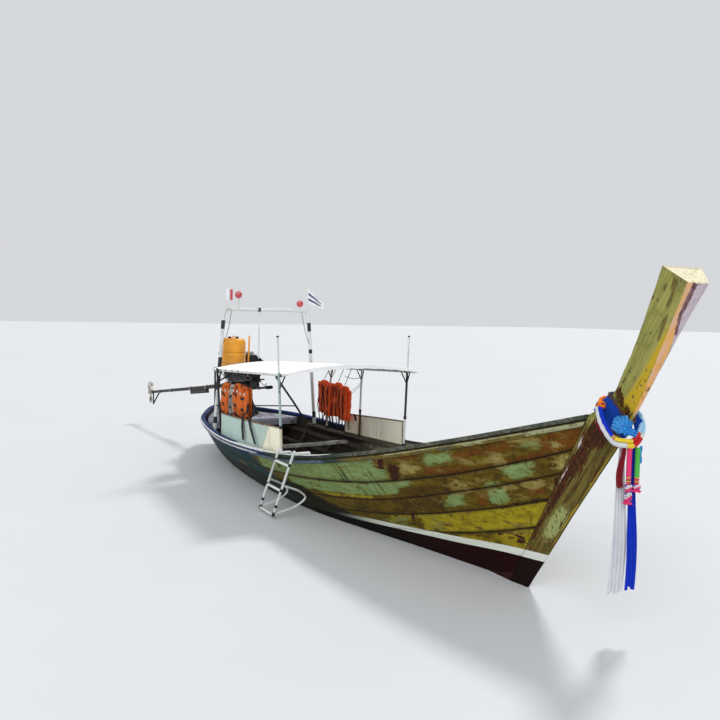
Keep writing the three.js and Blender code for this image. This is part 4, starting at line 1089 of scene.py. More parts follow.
@dataclass(frozen=True)
class HullLines:
    """The hull's lines, as the frame's own planks follow them."""

    stations: tuple[tuple[float, ...], ...] = (
        (-4.38, 0.07, 0.61, -4.02, -0.01, 1.0),
        (-4.16, 0.25, 0.605, -3.85, -0.06, 0.62),
        (-3.65, 0.51, 0.598, -3.45, -0.13, 0.42),
        (-2.9, 0.8, 0.583, -2.8, -0.19, 0.45),
        (-1.8, 0.956, 0.55, -1.75, -0.22, 0.45),
        (-0.67, 0.978, 0.579, -0.65, -0.22, 0.4),
        (0.45, 0.892, 0.658, 0.42, -0.19, 0.38),
        (1.56, 0.713, 0.865, 1.45, -0.13, 0.48),
        (2.67, 0.442, 1.15, 2.4, -0.045, 0.66),
        (3.7027, 0.0693, 1.455, 2.96, 0.08, 1.0),
    )
    edges: tuple[tuple[float, ...], ...] = (
        (0.0, 0.316, 0.49, 0.624, 0.735, 0.87, 1.0),
    ) * 6 + (
        (0.0, 0.316, 0.49, 0.622, 0.728, 0.862, 1.0),
        (0.0, 0.318, 0.495, 0.63, 0.735, 0.85, 1.0),
        (0.0, 0.332, 0.545, 0.684, 0.79, 0.872, 1.0),
        (0.0, 0.35, 0.57, 0.712, 0.822, 0.905, 1.0),
    )
    strakes: int = 6
    keel_half: float = 0.036
    plank: float = 0.028
    cap_top: float = 0.0354

    @property
    def last(self) -> int:
        """Counts the stations.

        Returns:
            The last station's number.
        """
        return len(self.stations) - 1

    def walk(self, steps: int) -> list[float]:
        """Lists places from the first station to the last.

        Args:
            steps: Steps between two stations.

        Returns:
            Stations, with fractions.
        """
        count = self.last * steps
        return [self.last * i / count for i in range(count + 1)]

    def at(self, u: float) -> tuple[float, ...]:
        """Reads the lines between stations.

        Args:
            u: Station, with fractions.

        Returns:
            Sheer x, half breadth, sheer z, keel x, keel z and fullness.
        """
        i = min(int(u), self.last - 1)
        t = u - i
        rows = [self.stations[int(clamp(i + k, 0, self.last))] for k in (-1, 0, 1, 2)]
        return tuple(curve(points, t) for points in zip(*rows))

    def edge(self, k: int, u: float) -> float:
        """Gives a seam's place.

        Args:
            k: Its number from the keel, from 0.
            u: Station.

        Returns:
            Root of its height between keel and sheer.
        """
        i = min(int(u + 1e-9), self.last - 1)
        return mix(self.edges[i][k], self.edges[i + 1][k], u - i)

    def face(self, u: float, q: float) -> Vector:
        """Gives a point of the port side's outer face.

        Args:
            u: Station.
            q: Root of the height between keel and sheer.

        Returns:
            The point.
        """
        sheer_x, half, sheer_z, keel_x, keel_z, full = self.at(u)
        s = q * q
        y = self.keel_half + (half - self.keel_half) * s ** full
        return v(mix(keel_x, sheer_x, s), y, mix(keel_z, sheer_z, s))

    def offset(self, u: float, q: float, reach: float) -> Vector:
        """Gives a point off the outer face.

        Args:
            u: Station.
            q: Root of the height.
            reach: Distance out along the face's normal.

        Returns:
            The point.
        """
        low, high = max(q - 0.01, 0.02), max(min(q + 0.01, 1.0), 0.04)
        along = self.face(min(u + 0.01, self.last), q) - self.face(max(u - 0.01, 0.0), q)
        normal = (self.face(u, high) - self.face(u, low)).cross(along).normalized()
        if normal.y < 0:
            normal.negate()
        return self.face(u, q) + normal * reach

    def station(self, x: float) -> float:
        """Finds the station whose sheer lies at x.

        Args:
            x: Place along the boat.

        Returns:
            The station.
        """
        low, high = 0.0, float(self.last)
        for _ in range(30):
            mid = (low + high) / 2
            if self.at(mid)[0] < x:
                low = mid
            else:
                high = mid
        return (low + high) / 2

    def below(self, u: float, drop: float) -> float:
        """Finds the root height of a level under the sheer.

        Args:
            u: Station.
            drop: Distance below the sheer.

        Returns:
            Root of the height.
        """
        line = self.at(u)
        return math.sqrt(clamp(1 - drop / (line[2] - line[4])))

    def inner(self, x: float) -> Vector:
        """Gives a point of the planking's inner face just below the rail.

        Args:
            x: Place along the boat.

        Returns:
            The point on the port side.
        """
        reach = x
        for _ in range(4):
            u = self.station(reach)
            p = self.offset(u, self.below(u, 0.06), -self.plank)
            reach += x - p.x
        return v(x, p.y, p.z)


LINES = HullLines()


@dataclass
class Planking:
    """The planks, with eased seams, nail heads and their layers of paint and painted shade."""

    paint: Finish
    iron: Finish
    steps: int = 26
    groove: float = 0.0045
    patches: tuple[tuple[str, tuple[tuple[float, ...], ...]], ...] = (
        ("sage", ((-0.45, 1.84, 5.0, 5.95, 1.0), (0.2, 1.93, 4.32, 4.98, 0.98),
                  (1.88, 2.12, 4.62, 5.0, 0.85),
                  (2.28, 2.6, 5.38, 5.8, 0.85), (3.18, 3.42, 5.3, 5.66, 0.62), (2.8, 2.97, 4.02, 4.28, 0.66),
                  (3.02, 3.25, 4.22, 4.98, 0.98), (2.42, 2.62, 3.28, 3.9, 1.0),
                  (2.85, 3.01, 3.18, 3.85, 1.0),
                  (1.7, 1.92, 2.3, 2.85, 0.62), (2.03, 2.28, 2.1, 2.95, 0.4), (1.3, 1.7, 2.25, 2.75, 0.46),
                  (-1.05, -0.96, 5.3, 5.75, 0.62), (-0.68, -0.54, 5.2, 5.7, 0.66),
                  (-1.5, -1.28, 5.25, 5.65, 0.5))),
        ("rust", ((1.7, 1.86, 5.4, 5.9, 0.75), (1.98, 2.3, 5.62, 5.92, 0.72), (2.24, 2.76, 5.0, 5.32, 0.9),
                  (2.62, 3.16, 5.46, 5.74, 0.92), (2.74, 3.4, 5.0, 5.2, 0.92), (3.36, 3.72, 5.02, 5.78, 1.0),
                  (3.16, 3.34, 3.28, 3.66, 0.92), (2.72, 2.83, 3.1, 3.9, 0.62), (2.02, 2.16, 4.1, 4.5, 0.42),
                  (3.46, 3.6, 4.0, 4.22, 0.6))),
        ("pale", ((2.0, 2.26, 5.15, 5.58, 0.62), (2.68, 3.04, 5.16, 5.42, 0.74),
                  (3.43, 3.49, 5.22, 5.42, 0.7),
                  (3.43, 3.58, 4.22, 4.88, 0.8), (2.97, 3.08, 4.86, 5.04, 0.92),
                  (3.0, 3.37, 3.62, 3.98, 0.84),
                  (3.04, 3.2, 3.2, 3.6, 0.6), (3.35, 3.43, 3.25, 3.62, 0.7), (2.61, 2.69, 3.88, 4.04, 0.92),
                  (2.52, 2.84, 4.16, 4.7, 0.44), (3.12, 3.36, 5.6, 5.8, 0.6), (1.9, 2.02, 4.82, 5.0, 0.7))),
        ("brown", ((1.92, 2.42, 4.0, 4.6, 0.7), (1.2, 2.4, 3.02, 3.98, 0.6), (2.44, 2.5, 4.02, 4.98, 0.95),
                   (2.92, 3.0, 4.26, 4.72, 0.95), (3.38, 3.43, 4.22, 4.64, 0.9),
                   (2.64, 2.72, 3.02, 3.98, 0.55),
                   (2.33, 2.41, 3.02, 3.98, 0.85), (2.0, 2.26, 5.02, 5.12, 0.7),
                   (3.25, 3.38, 4.02, 4.98, 0.42))),
        ("yellow", ((2.05, 3.36, 2.02, 2.98, 1.0), (1.7, 3.25, 1.2, 1.98, 0.62),
                    (0.7, 1.6, 4.02, 4.34, 0.66),
                    (1.6, 2.05, 2.02, 2.98, 0.52))),
        ("stain", ((1.76, 1.83, 5.42, 5.86, 0.8), (1.87, 1.99, 5.02, 5.58, 0.8),
                   (3.02, 3.42, 3.0, 3.14, 0.8),
                   (1.96, 2.0, 2.5, 2.95, 0.9), (2.44, 2.48, 2.9, 3.0, 0.9), (2.5, 2.55, 1.92, 2.02, 0.9),
                   (2.83, 2.89, 1.9, 1.98, 0.9), (3.02, 3.1, 1.58, 1.76, 1.0), (1.62, 1.66, 2.86, 2.98, 0.9),
                   (3.4, 3.47, 3.1, 3.9, 0.75))),
        ("grime", ((1.1, 1.34, 5.0, 5.95, 1.0), (1.42, 1.76, 4.3, 4.98, 1.0), (0.92, 1.06, 4.6, 5.0, 0.6),
                   (1.5, 1.7, 5.0, 5.5, 0.55))),
    )

    def weights(self, x: float, row: float, side: Side) -> dict[str, float]:
        """Says which paint and painted shadow show at a place.

        Args:
            x: Place along the boat.
            row: Strake number with its fraction.
            side: Side of the boat; its patches lie elsewhere to port.

        Returns:
            Weights by name.
        """
        place = x if side is Side.STARBOARD else x - 0.16 + 0.1 * math.sin(2.1 * x)
        values = {name: blocks(place, row, table) for name, table in self.patches}
        aft = 1.0 - smoothstep(-0.85, -0.15, x + 0.35 * (row - 5.5))
        # The shade weight is painted shadow on the lower strakes; it reaches further forward the lower the
        # strake.
        reach = 0.35 + 1.35 * clamp((4.7 - row) / 3.2)
        low = (1.0 - smoothstep(reach - 0.45, reach + 0.35, x)) * (1.0 - smoothstep(4.35, 4.75, row))
        values["teal"] = aft
        values["sage"] *= 1 - 0.55 * aft
        values["shade"] = low * (1 - 0.45 * aft)
        values["flecks"] = smoothstep(1.9, 2.4, x) * smoothstep(3.8, 4.4, row)
        return values

    def levels(self, low: float, high: float) -> list[tuple[float, float, float]]:
        """Places the rows of a plank's outer face.

        Args:
            low: Lower edge.
            high: Upper edge.

        Returns:
            Rows of root height, groove depth and nearness to the middle.
        """
        small = 0.03 * (high - low) + 0.0015
        rows = [(low + 0.0008, -self.groove, 0.0), (low + small, 0.0, 0.3), (low + 4 * small, 0.0, 1.0)]
        rows += [(mix(low, high, t), 0.0, 1.0) for t in (0.24, 0.36, 0.48, 0.6, 0.72, 0.82)]
        rows += [(high - 3 * small, 0.0, 1.0), (high - small, 0.0, 0.3), (high - 0.0008, -self.groove, 0.0)]
        return rows

    def strake(self, side: Side, k: int) -> None:
        """Builds one plank.

        Args:
            side: The side it is on.
            k: Its number from the keel, from 0.
        """
        build = Builder(f"plank {side.label} {k + 1}", angle=50.0)
        rings, stored = [], []
        for u in LINES.walk(self.steps):
            low, high = LINES.edge(k, u), LINES.edge(k + 1, u)
            levels = self.levels(low, high)
            fade = smoothstep(0.0, 0.4, u) * (1 - smoothstep(LINES.last - 0.4, LINES.last, u))
            ring, kept = [], []
            for q, depth, near in levels:
                p = LINES.offset(u, q, depth)
                if depth == 0.0 and near > 0.5:
                    p = LINES.offset(u, q, (wobble(p, 1.3, 0.003) + wobble(p, 6.0, 0.001)) * fade)
                ring.append(side.at(*p))
                row = k + (q - low) / (high - low)
                kept.append({"seam": near, "inside": 0.0, **self.weights(p.x, row, side)})
            sheer = LINES.at(u)[2]
            for q in (levels[-1][0], mix(levels[0][0], levels[-1][0], 0.5), levels[0][0]):
                p = LINES.offset(u, q, -LINES.plank)
                ring.append(side.at(p.x, p.y, min(p.z, sheer - 0.002)))
                kept.append({"seam": 1.0, "inside": 1.0})
            rings.append(side.turned(ring))
            stored += side.turned(kept)
        start = build.grid(rings, self.paint)
        for name in ("seam", "inside", "teal", "shade", "flecks", *[name for name, _ in self.patches]):
            build.keep(name, start, [row.get(name, 0.0) for row in stored])
        build.build([f"strake_{side.label}_{k + 1}"], "bottom_paint" if k < 2 else "topside_paint")

    def nails(self) -> None:
        """Sets rows of nail heads along the seams at each frame."""
        build = Builder("hull nails")
        head = ((0.0042, 0.0), (0.0042, 0.0016), (0.002, 0.0022))
        for side in Side:
            for k in range(1, LINES.strakes):
                for i in range(2, LINES.last * 3 - 1):
                    for dq in (-0.014, 0.014):
                        u = i / 3 + 0.02 * math.sin(7.3 * i + 11 * dq * k)
                        q = LINES.edge(k, u) + dq
                        p = LINES.offset(u, q, -0.001)
                        out = (LINES.offset(u, q, 0.01) - p).normalized()
                        build.lathe(head, side.at(*p), side.at(*out), self.iron, 6)
        build.build()

    def build(self) -> None:
        """Builds every plank and the nails."""
        for side in Side:
            for k in range(LINES.strakes):
                self.strake(side, k)
        self.nails()


@dataclass
class Rails:
    """Rail caps and rub rails with eased edges and zones of worn paint."""

    paint: Finish
    steps: int = 20
    cap_shape: tuple[tuple[float, float], ...] = (
        (-0.045, 0.001), (-0.045, 0.028), (-0.039, 0.0345), (0.0, LINES.cap_top), (0.016, 0.035),
        (0.025, 0.0335), (0.03, 0.027), (0.03, 0.01), (0.026, 0.001),
    )
    rub_shape: tuple[tuple[float, float], ...] = (
        (0.052, 0.001), (0.052, 0.017), (0.046, 0.0215), (0.026, 0.022), (0.019, 0.0215), (0.014, 0.018),
        (0.014, 0.001),
    )

    def cap(self, side: Side, u: float) -> tuple[list[Vector], list[dict[str, float]]]:
        """Shapes the rail cap at a station.

        Args:
            side: Its side.
            u: The station.

        Returns:
            Its section and the paint weights of each point.
        """
        x, half, sheer_z = LINES.at(u)[:3]
        band = smoothstep(-1.25, -0.75, x) * (1 - smoothstep(1.0, 1.3, x))
        edge = 1 - smoothstep(-0.4, 0.4, x)
        far = smoothstep(0.8, 1.3, x) * (1 - smoothstep(2.4, 2.9, x)) if side is Side.PORT else 0.0
        ring, kept = [], []
        for dy, dz in self.cap_shape:
            worn = abs(wobble(v(x, dy, 0), 3.0, 0.002))
            ring.append(side.at(x, half + dy, sheer_z + dz - 0.0012 - worn))
            top = 1.0 if dz > 0.03 else 0.0
            corner = 1.0 if dy > 0.02 and dz > 0.02 else 0.0
            kept.append({"white": max(top * band, 0.85 * edge * corner, 0.8 * top * far)})
        return ring, kept

    def rub(self, side: Side, u: float) -> tuple[list[Vector], list[dict[str, float]]]:
        """Shapes the rub rail at a station.

        Args:
            side: Its side.
            u: The station.

        Returns:
            Its section and the paint weights of each point.
        """
        ring, kept = [], []
        for drop, reach in self.rub_shape:
            p = LINES.offset(u, LINES.below(u, drop), reach)
            ring.append(side.at(*p))
            line = 1.0 if drop < 0.022 else 0.0
            face = 1.0 if 0.022 < drop < 0.05 else 0.6
            patch = 0.5 * blocks(p.x, 0.5, ((2.72, 2.98, 0.0, 1.0, 1.0),)) * face
            blue = blocks(p.x, 0.5, ((-0.6, 1.05, -0.5, 1.5, 0.72), (-2.6, -1.3, -0.5, 1.5, 0.5))) * face
            kept.append({
                "olive": smoothstep(1.1, 1.6, p.x), "blue": blue,
                "pale": max(0.85 * smoothstep(3.15, 3.35, p.x), patch,
                            0.62 * line * smoothstep(1.6, 2.0, p.x)),
                "white": 0.78 * line * (1 - smoothstep(-0.6, 0.0, p.x)),
            })
        return ring, kept

    def build(self) -> None:
        """Builds the cap and the rub rail of both sides."""
        for side in Side:
            for name, slot, shape in (("rail cap", "rail_paint", self.cap),
                                      ("rub rail", "sheer_paint", self.rub)):
                build = Builder(f"{name} {side.label}", angle=50.0)
                sections = [shape(side, u) for u in LINES.walk(self.steps)]
                start = build.grid([side.turned(ring) for ring, _ in sections], self.paint)
                stored = [row for _, kept in sections for row in side.turned(kept)]
                for zone in ("white", "blue", "pale", "olive"):
                    build.keep(zone, start, [row.get(zone, 0.0) for row in stored])
                build.build([f"{name.replace(' ', '_')}_{side.label}"], slot)


@dataclass
class ProwPost:
    """The raked post and stem, with chipped arrises and zones of old paint."""

    paint: Finish
    levels: tuple[tuple[float, ...], ...] = (
        (0.0, 2.9172, 0.036, 3.1, 0.012), (0.08, 2.9605, 0.036, 3.15, 0.012),
        (0.27, 3.0631, 0.0406, 3.274, 0.012), (0.708, 3.2997, 0.0512, 3.551, 0.012),
        (1.284, 3.6109, 0.0651, 3.936, 0.012), (1.487, 3.7205, 0.07, 4.045, 0.013),
        (1.56, 3.835, 0.082, 4.085, 0.018), (1.7, 3.985, 0.11, 4.155, 0.03),
        (2.06, 4.186, 0.16, 4.325, 0.06),
    )
    top: tuple[float, ...] = (2.41, 4.378, 0.199, 4.502, 0.107)
    top_aft_z: float = 2.516
    zones: tuple[str, ...] = ("mustard", "rose", "lilac", "sage", "rust", "stain", "cut", "edge", "plum")
    stains: tuple[tuple[float, ...], ...] = (
        (0.37, 2.382, 0.052, 0.042), (0.61, 2.405, 0.078, 0.055), (0.66, 2.32, 0.026, 0.075),
        (0.53, 2.28, 0.024, 0.085), (0.39, 2.285, 0.038, 0.05), (0.74, 2.15, 0.078, 0.078),
        (0.8, 2.085, 0.052, 0.058),
    )
    rust: tuple[tuple[float, ...], ...] = (
        (0.42, 1.34, 0.4, 0.13), (0.3, 1.1, 0.26, 0.16), (0.16, 0.86, 0.16, 0.22), (0.1, 0.55, 0.1, 0.2),
    )
    rows_up: int = 150
    wide: tuple[int, ...] = (10, 8, 10, 8)
    ease: float = 0.006

    def corner(self, z: float) -> tuple[float, ...]:
        """Reads the post at a height.

        Args:
            z: Height.

        Returns:
            Aft x, aft half width, fore x and fore half width.
        """
        rows = (*self.levels, self.top)
        k = 0
        while k < len(rows) - 2 and rows[k + 1][0] < z:
            k += 1
        t = (z - rows[k][0]) / (rows[k + 1][0] - rows[k][0])
        return tuple(mix(a, b, t) for a, b in zip(rows[k][1:], rows[k + 1][1:]))

    def section(self, t: float) -> list[Vector]:
        """Reads the post's four corners.

        Args:
            t: 0 at the foot, 1 at the top cut.

        Returns:
            Aft port, fore port, fore starboard and aft starboard corners.
        """
        rows = []
        for z, ax, ah, fx, fh in (*self.levels, self.top):
            aft_z = self.top_aft_z if z == self.top[0] else z
            rows.append((v(ax, ah, aft_z), v(fx, fh, z), v(fx, -fh, z), v(ax, -ah, aft_z)))
        spans = [(b[0] - a[0]).length for a, b in zip(rows, rows[1:])]
        reach = t * sum(spans)
        k = 0
        while k < len(spans) - 1 and reach > spans[k]:
            reach -= spans[k]
            k += 1
        return [a.lerp(b, clamp(reach / spans[k])) for a, b in zip(rows[k], rows[k + 1])]

    def weights(self, z: float, across: float, where: str) -> dict[str, float]:
        """Says which paint shows at a place.

        Args:
            z: Its height.
            across: From the aft to the fore edge of a side face, or from port to starboard, 0 to 1.
            where: Face name: side, fore or aft.

        Returns:
            Weights by name.
        """
        values = dict.fromkeys(self.zones, 0.0)
        if where == "side":
            border = mix(0.46, 0.97, clamp((z - 1.6) / 0.56))
            high = smoothstep(1.5, 1.58, z) * (1 - smoothstep(2.12, 2.2, z))
            values["mustard"] = smoothstep(border - 0.12, border + 0.12, across) * high
            low = smoothstep(0.25, 0.5, z) * (1 - smoothstep(1.5, 1.6, z))
            values["edge"] = 0.62 * smoothstep(0.88, 0.99, across) * low
            band = 0.9 * spots(across, z - mix(1.7, 1.495, across), ((0.5, 0.0, 0.95, 0.022),))
            values["stain"] = max(spots(across, z, self.stains), band)
            values["sage"] = max(spots(across, z, ((0.62, 0.6, 0.34, 0.17),)),
                                 0.22 * smoothstep(1.4, 1.9, z))
            band = 0.85 * spots(across, z - mix(1.715, 1.51, across), ((0.5, 0.0, 0.75, 0.024),))
            values["rust"] = max(0.95 * spots(across, z, self.rust),
                                 0.2 - 0.16 * smoothstep(1.44, 1.5, z), band)
            values["lilac"] = 0.75 * spots(across, z, ((0.16, 1.3, 0.07, 0.14), (0.1, 1.02, 0.05, 0.1)))
        elif where == "fore":
            high, a = smoothstep(1.45, 1.6, z), 1.0 - across
            border = mix(0.88, 0.27, smoothstep(1.96, 2.22, z))
            values["lilac"] = high * smoothstep(border - 0.06, border + 0.06, a)
            values["rose"] = high - values["lilac"]
            values["plum"] = smoothstep(2.02, 2.12, z) * (1 - smoothstep(0.1, 0.22, abs(a - border - 0.1)))
        else:
            values["sage"] = 0.4
        return values

    def ring(self, t: float) -> tuple[list[Vector], list[dict[str, float]]]:
        """Shapes the post's section with its dents.

        Args:
            t: 0 at the foot, 1 at the top cut.

        Returns:
            Points round the post and the paint weights of each.
        """
        corners = self.section(t)
        middle = (corners[0] + corners[1] + corners[2] + corners[3]) / 4
        ring, kept = [], []
        for e, name in enumerate(("side", "fore", "side", "aft")):
            a, b = corners[e], corners[(e + 1) % 4]
            cut = (b - a).normalized() * min(self.ease, (b - a).length * 0.3)
            for share in shares(self.wide[e] - 1):
                p = (a + cut).lerp(b - cut, share)
                dent = abs(wobble(p, 4.0, 0.005)) + abs(wobble(p, 17.0, 0.002))
                if share in (0.0, 1.0):
                    dent += max(0.0, wobble(p, 9.0, 0.012) - 0.003)
                p += (middle - p).normalized() * (dent * 0.4 if p.z < 1.45 else dent)
                ring.append(p)
                kept.append(self.weights(p.z, 1 - share if e == 2 else share, name))
        return ring, kept

    def build(self) -> None:
        """Builds the post, its cut top and its foot."""
        build = Builder("prow post", angle=28.0)
        sections = [self.ring(t) for t in shares(self.rows_up)]
        rings = [ring for ring, _ in sections]
        start = build.grid(rings, self.paint, caps=False)
        count = len(rings[0])
        centre = sum(rings[-1], Vector()) / count
        lids = [rings[-1]]
        for t in (0.04, 0.3, 0.6, 0.85):
            flat = [p.lerp(centre, t) for p in rings[-1]]
            lids.append([p - v(0, 0, 0.004 + 0.01 * abs(noise.noise(p * 19))) for p in flat])
        lid = build.grid(lids, self.paint, caps=False)
        cap = build.add(lids[-1], [tuple(range(count))], self.paint)
        foot = build.add(rings[0], [tuple(reversed(range(count)))], self.paint)
        for name in self.zones:
            build.keep(name, start, [row[name] for _, kept in sections for row in kept])
            cut = 1.0 if name == "cut" else 0.0
            build.keep(name, lid, [cut] * (count * len(lids)))
            build.keep(name, cap, [cut] * count)
            build.keep(name, foot, [0.0] * count)
        build.build(["prow_post"], "post_paint")


# Inside, decks and screens


@dataclass
class Inside:
    """Finishes for the frame's own inner pieces, and the stringers."""

    nodes: Nodes
    inner: Finish
    bench: Finish
    floor: Finish
    deck: Finish
    navy: Finish
    bottom: Finish
    ease: float = 0.003

    def dress(self) -> None:
        """Gives the inner pieces their finish and eased edges."""
        table = {
            "keel": self.bottom, "stern_post": self.navy, "ribs_and_keelson": self.inner,
            "floorboards": self.floor, "thwart_aft": self.bench, "thwart_middle": self.bench,
            "thwart_forward": self.bench, "foredeck": self.deck, "stern_deck": self.navy,
            "inwale_port": self.inner, "inwale_starboard": self.inner,
        }
        for name, material in table.items():
            dress(self.nodes[name], material)
            ease = self.nodes[name].modifiers.new("ease", "BEVEL")
            ease.width = self.ease
            ease.segments = 2
            ease.limit_method = "ANGLE"
            ease.angle_limit = math.radians(50)

    def risers(self) -> None:
        """Adds the stringers that carry the thwarts along both sides."""
        build = Builder("stringers")
        for side in Side:
            for q in (0.72, 0.86):
                rings = []
                for t in shares(69):
                    u = mix(1.1, 8.2, t)
                    corners = ((-0.018, 0.032), (0.018, 0.032), (0.018, 0.054), (-0.018, 0.054))
                    ring = [side.at(*LINES.offset(u, q + dq, -deep)) for dq, deep in corners]
                    rings.append(side.turned(ring)[::-1])
                build.grid(rings, self.inner)
        build.build()

    def build(self) -> None:
        """Dresses the inside."""
        self.dress()
        self.risers()


@dataclass
class Screens:
    """Side screens on the rails with their top battens and stiffeners."""

    finishes: dict[Side, Finish]
    frame: Finish
    rows: tuple[tuple[Side, float, float, float, float], ...] = (
        (Side.STARBOARD, -1.84, 0.072, 0.852, 0.925),
        (Side.PORT, -1.64, -0.108, 0.777, 0.873),
    )
    columns: int = 60
    up: int = 10
    half_thick: float = 0.003
    inset: float = 0.0145

    def panel(self, side: Side, aft: float, fore: float, top_aft: float, top_fore: float) -> None:
        """Builds one screen.

        Args:
            side: Its side.
            aft: Aft end.
            fore: Fore end.
            top_aft: Height of its top edge aft.
            top_fore: Height of its top edge forward.
        """
        build = Builder(f"side screen {side.label}", angle=40.0)
        rings, rust, tone, edges = [], [], [], ([], [])
        for t in shares(self.columns):
            x, top = mix(aft, fore, t), mix(top_aft, top_fore, t)
            base = LINES.inner(x)
            outer, inner, rusty, behind = [], [], [], []
            for s in shares(self.up):
                z = mix(base.z + 0.0026, top, s)
                dent = 0.0035 * math.sin(x * 9.0 + 3 * s) + wobble(v(x, 0, z), 2.4, 0.004)
                y = base.y - self.inset + dent * math.sin(math.pi * s)
                outer.append(side.at(x, y + self.half_thick, z))
                inner.append(side.at(x, y - self.half_thick, z))
                rusty.append(max(smoothstep(0.9, 1.0, s) * 0.8, 0.35 * (1 - smoothstep(0.0, 0.1, s))))
                behind.append(1 - smoothstep(-0.44, -0.4, x - 0.25 * s) if side is Side.STARBOARD else 0.0)
            rings.append(outer + inner[::-1])
            rust += rusty + rusty[::-1]
            tone += behind + behind[::-1]
            for edge, z in zip(edges, (top - 0.006, base.z + 0.009)):
                edge.append(side.at(x, base.y - self.inset, z))
        start = build.grid(rings, self.finishes[side])
        build.keep("rust", start, rust)
        build.keep("aft", start, tone)
        for edge, size in zip(edges, (0.009, 0.007)):
            build.pipe(edge, size, self.frame, 8)
        for x in (aft + 0.01, fore - 0.01):
            base = LINES.inner(x)
            top = mix(top_aft, top_fore, (x - aft) / (fore - aft)) - 0.004
            ends = [side.at(x, base.y - 0.022, z) for z in (base.z + 0.001, top)]
            build.pipe(ends, 0.006, self.frame, 8)
        build.build([f"side_screen_{side.label}"], "screen_sheet")

    def build(self) -> None:
        """Builds both screens."""
        for row in self.rows:
            self.panel(*row)


# Canopy


def canopy_edge(x: float) -> float:
    """Gives the canopy edge's height.

    Args:
        x: Place along the boat.

    Returns:
        z of the edge.
    """
    return 1.51 + 0.046 * x


def at_height(a: Vector, b: Vector, z: float) -> Vector:
    """Finds the point at a height on the line through two points.

    Args:
        a: First point.
        b: Second point.
        z: The height.

    Returns:
        The point.
    """
    return a.lerp(b, (z - a.z) / (b.z - a.z))


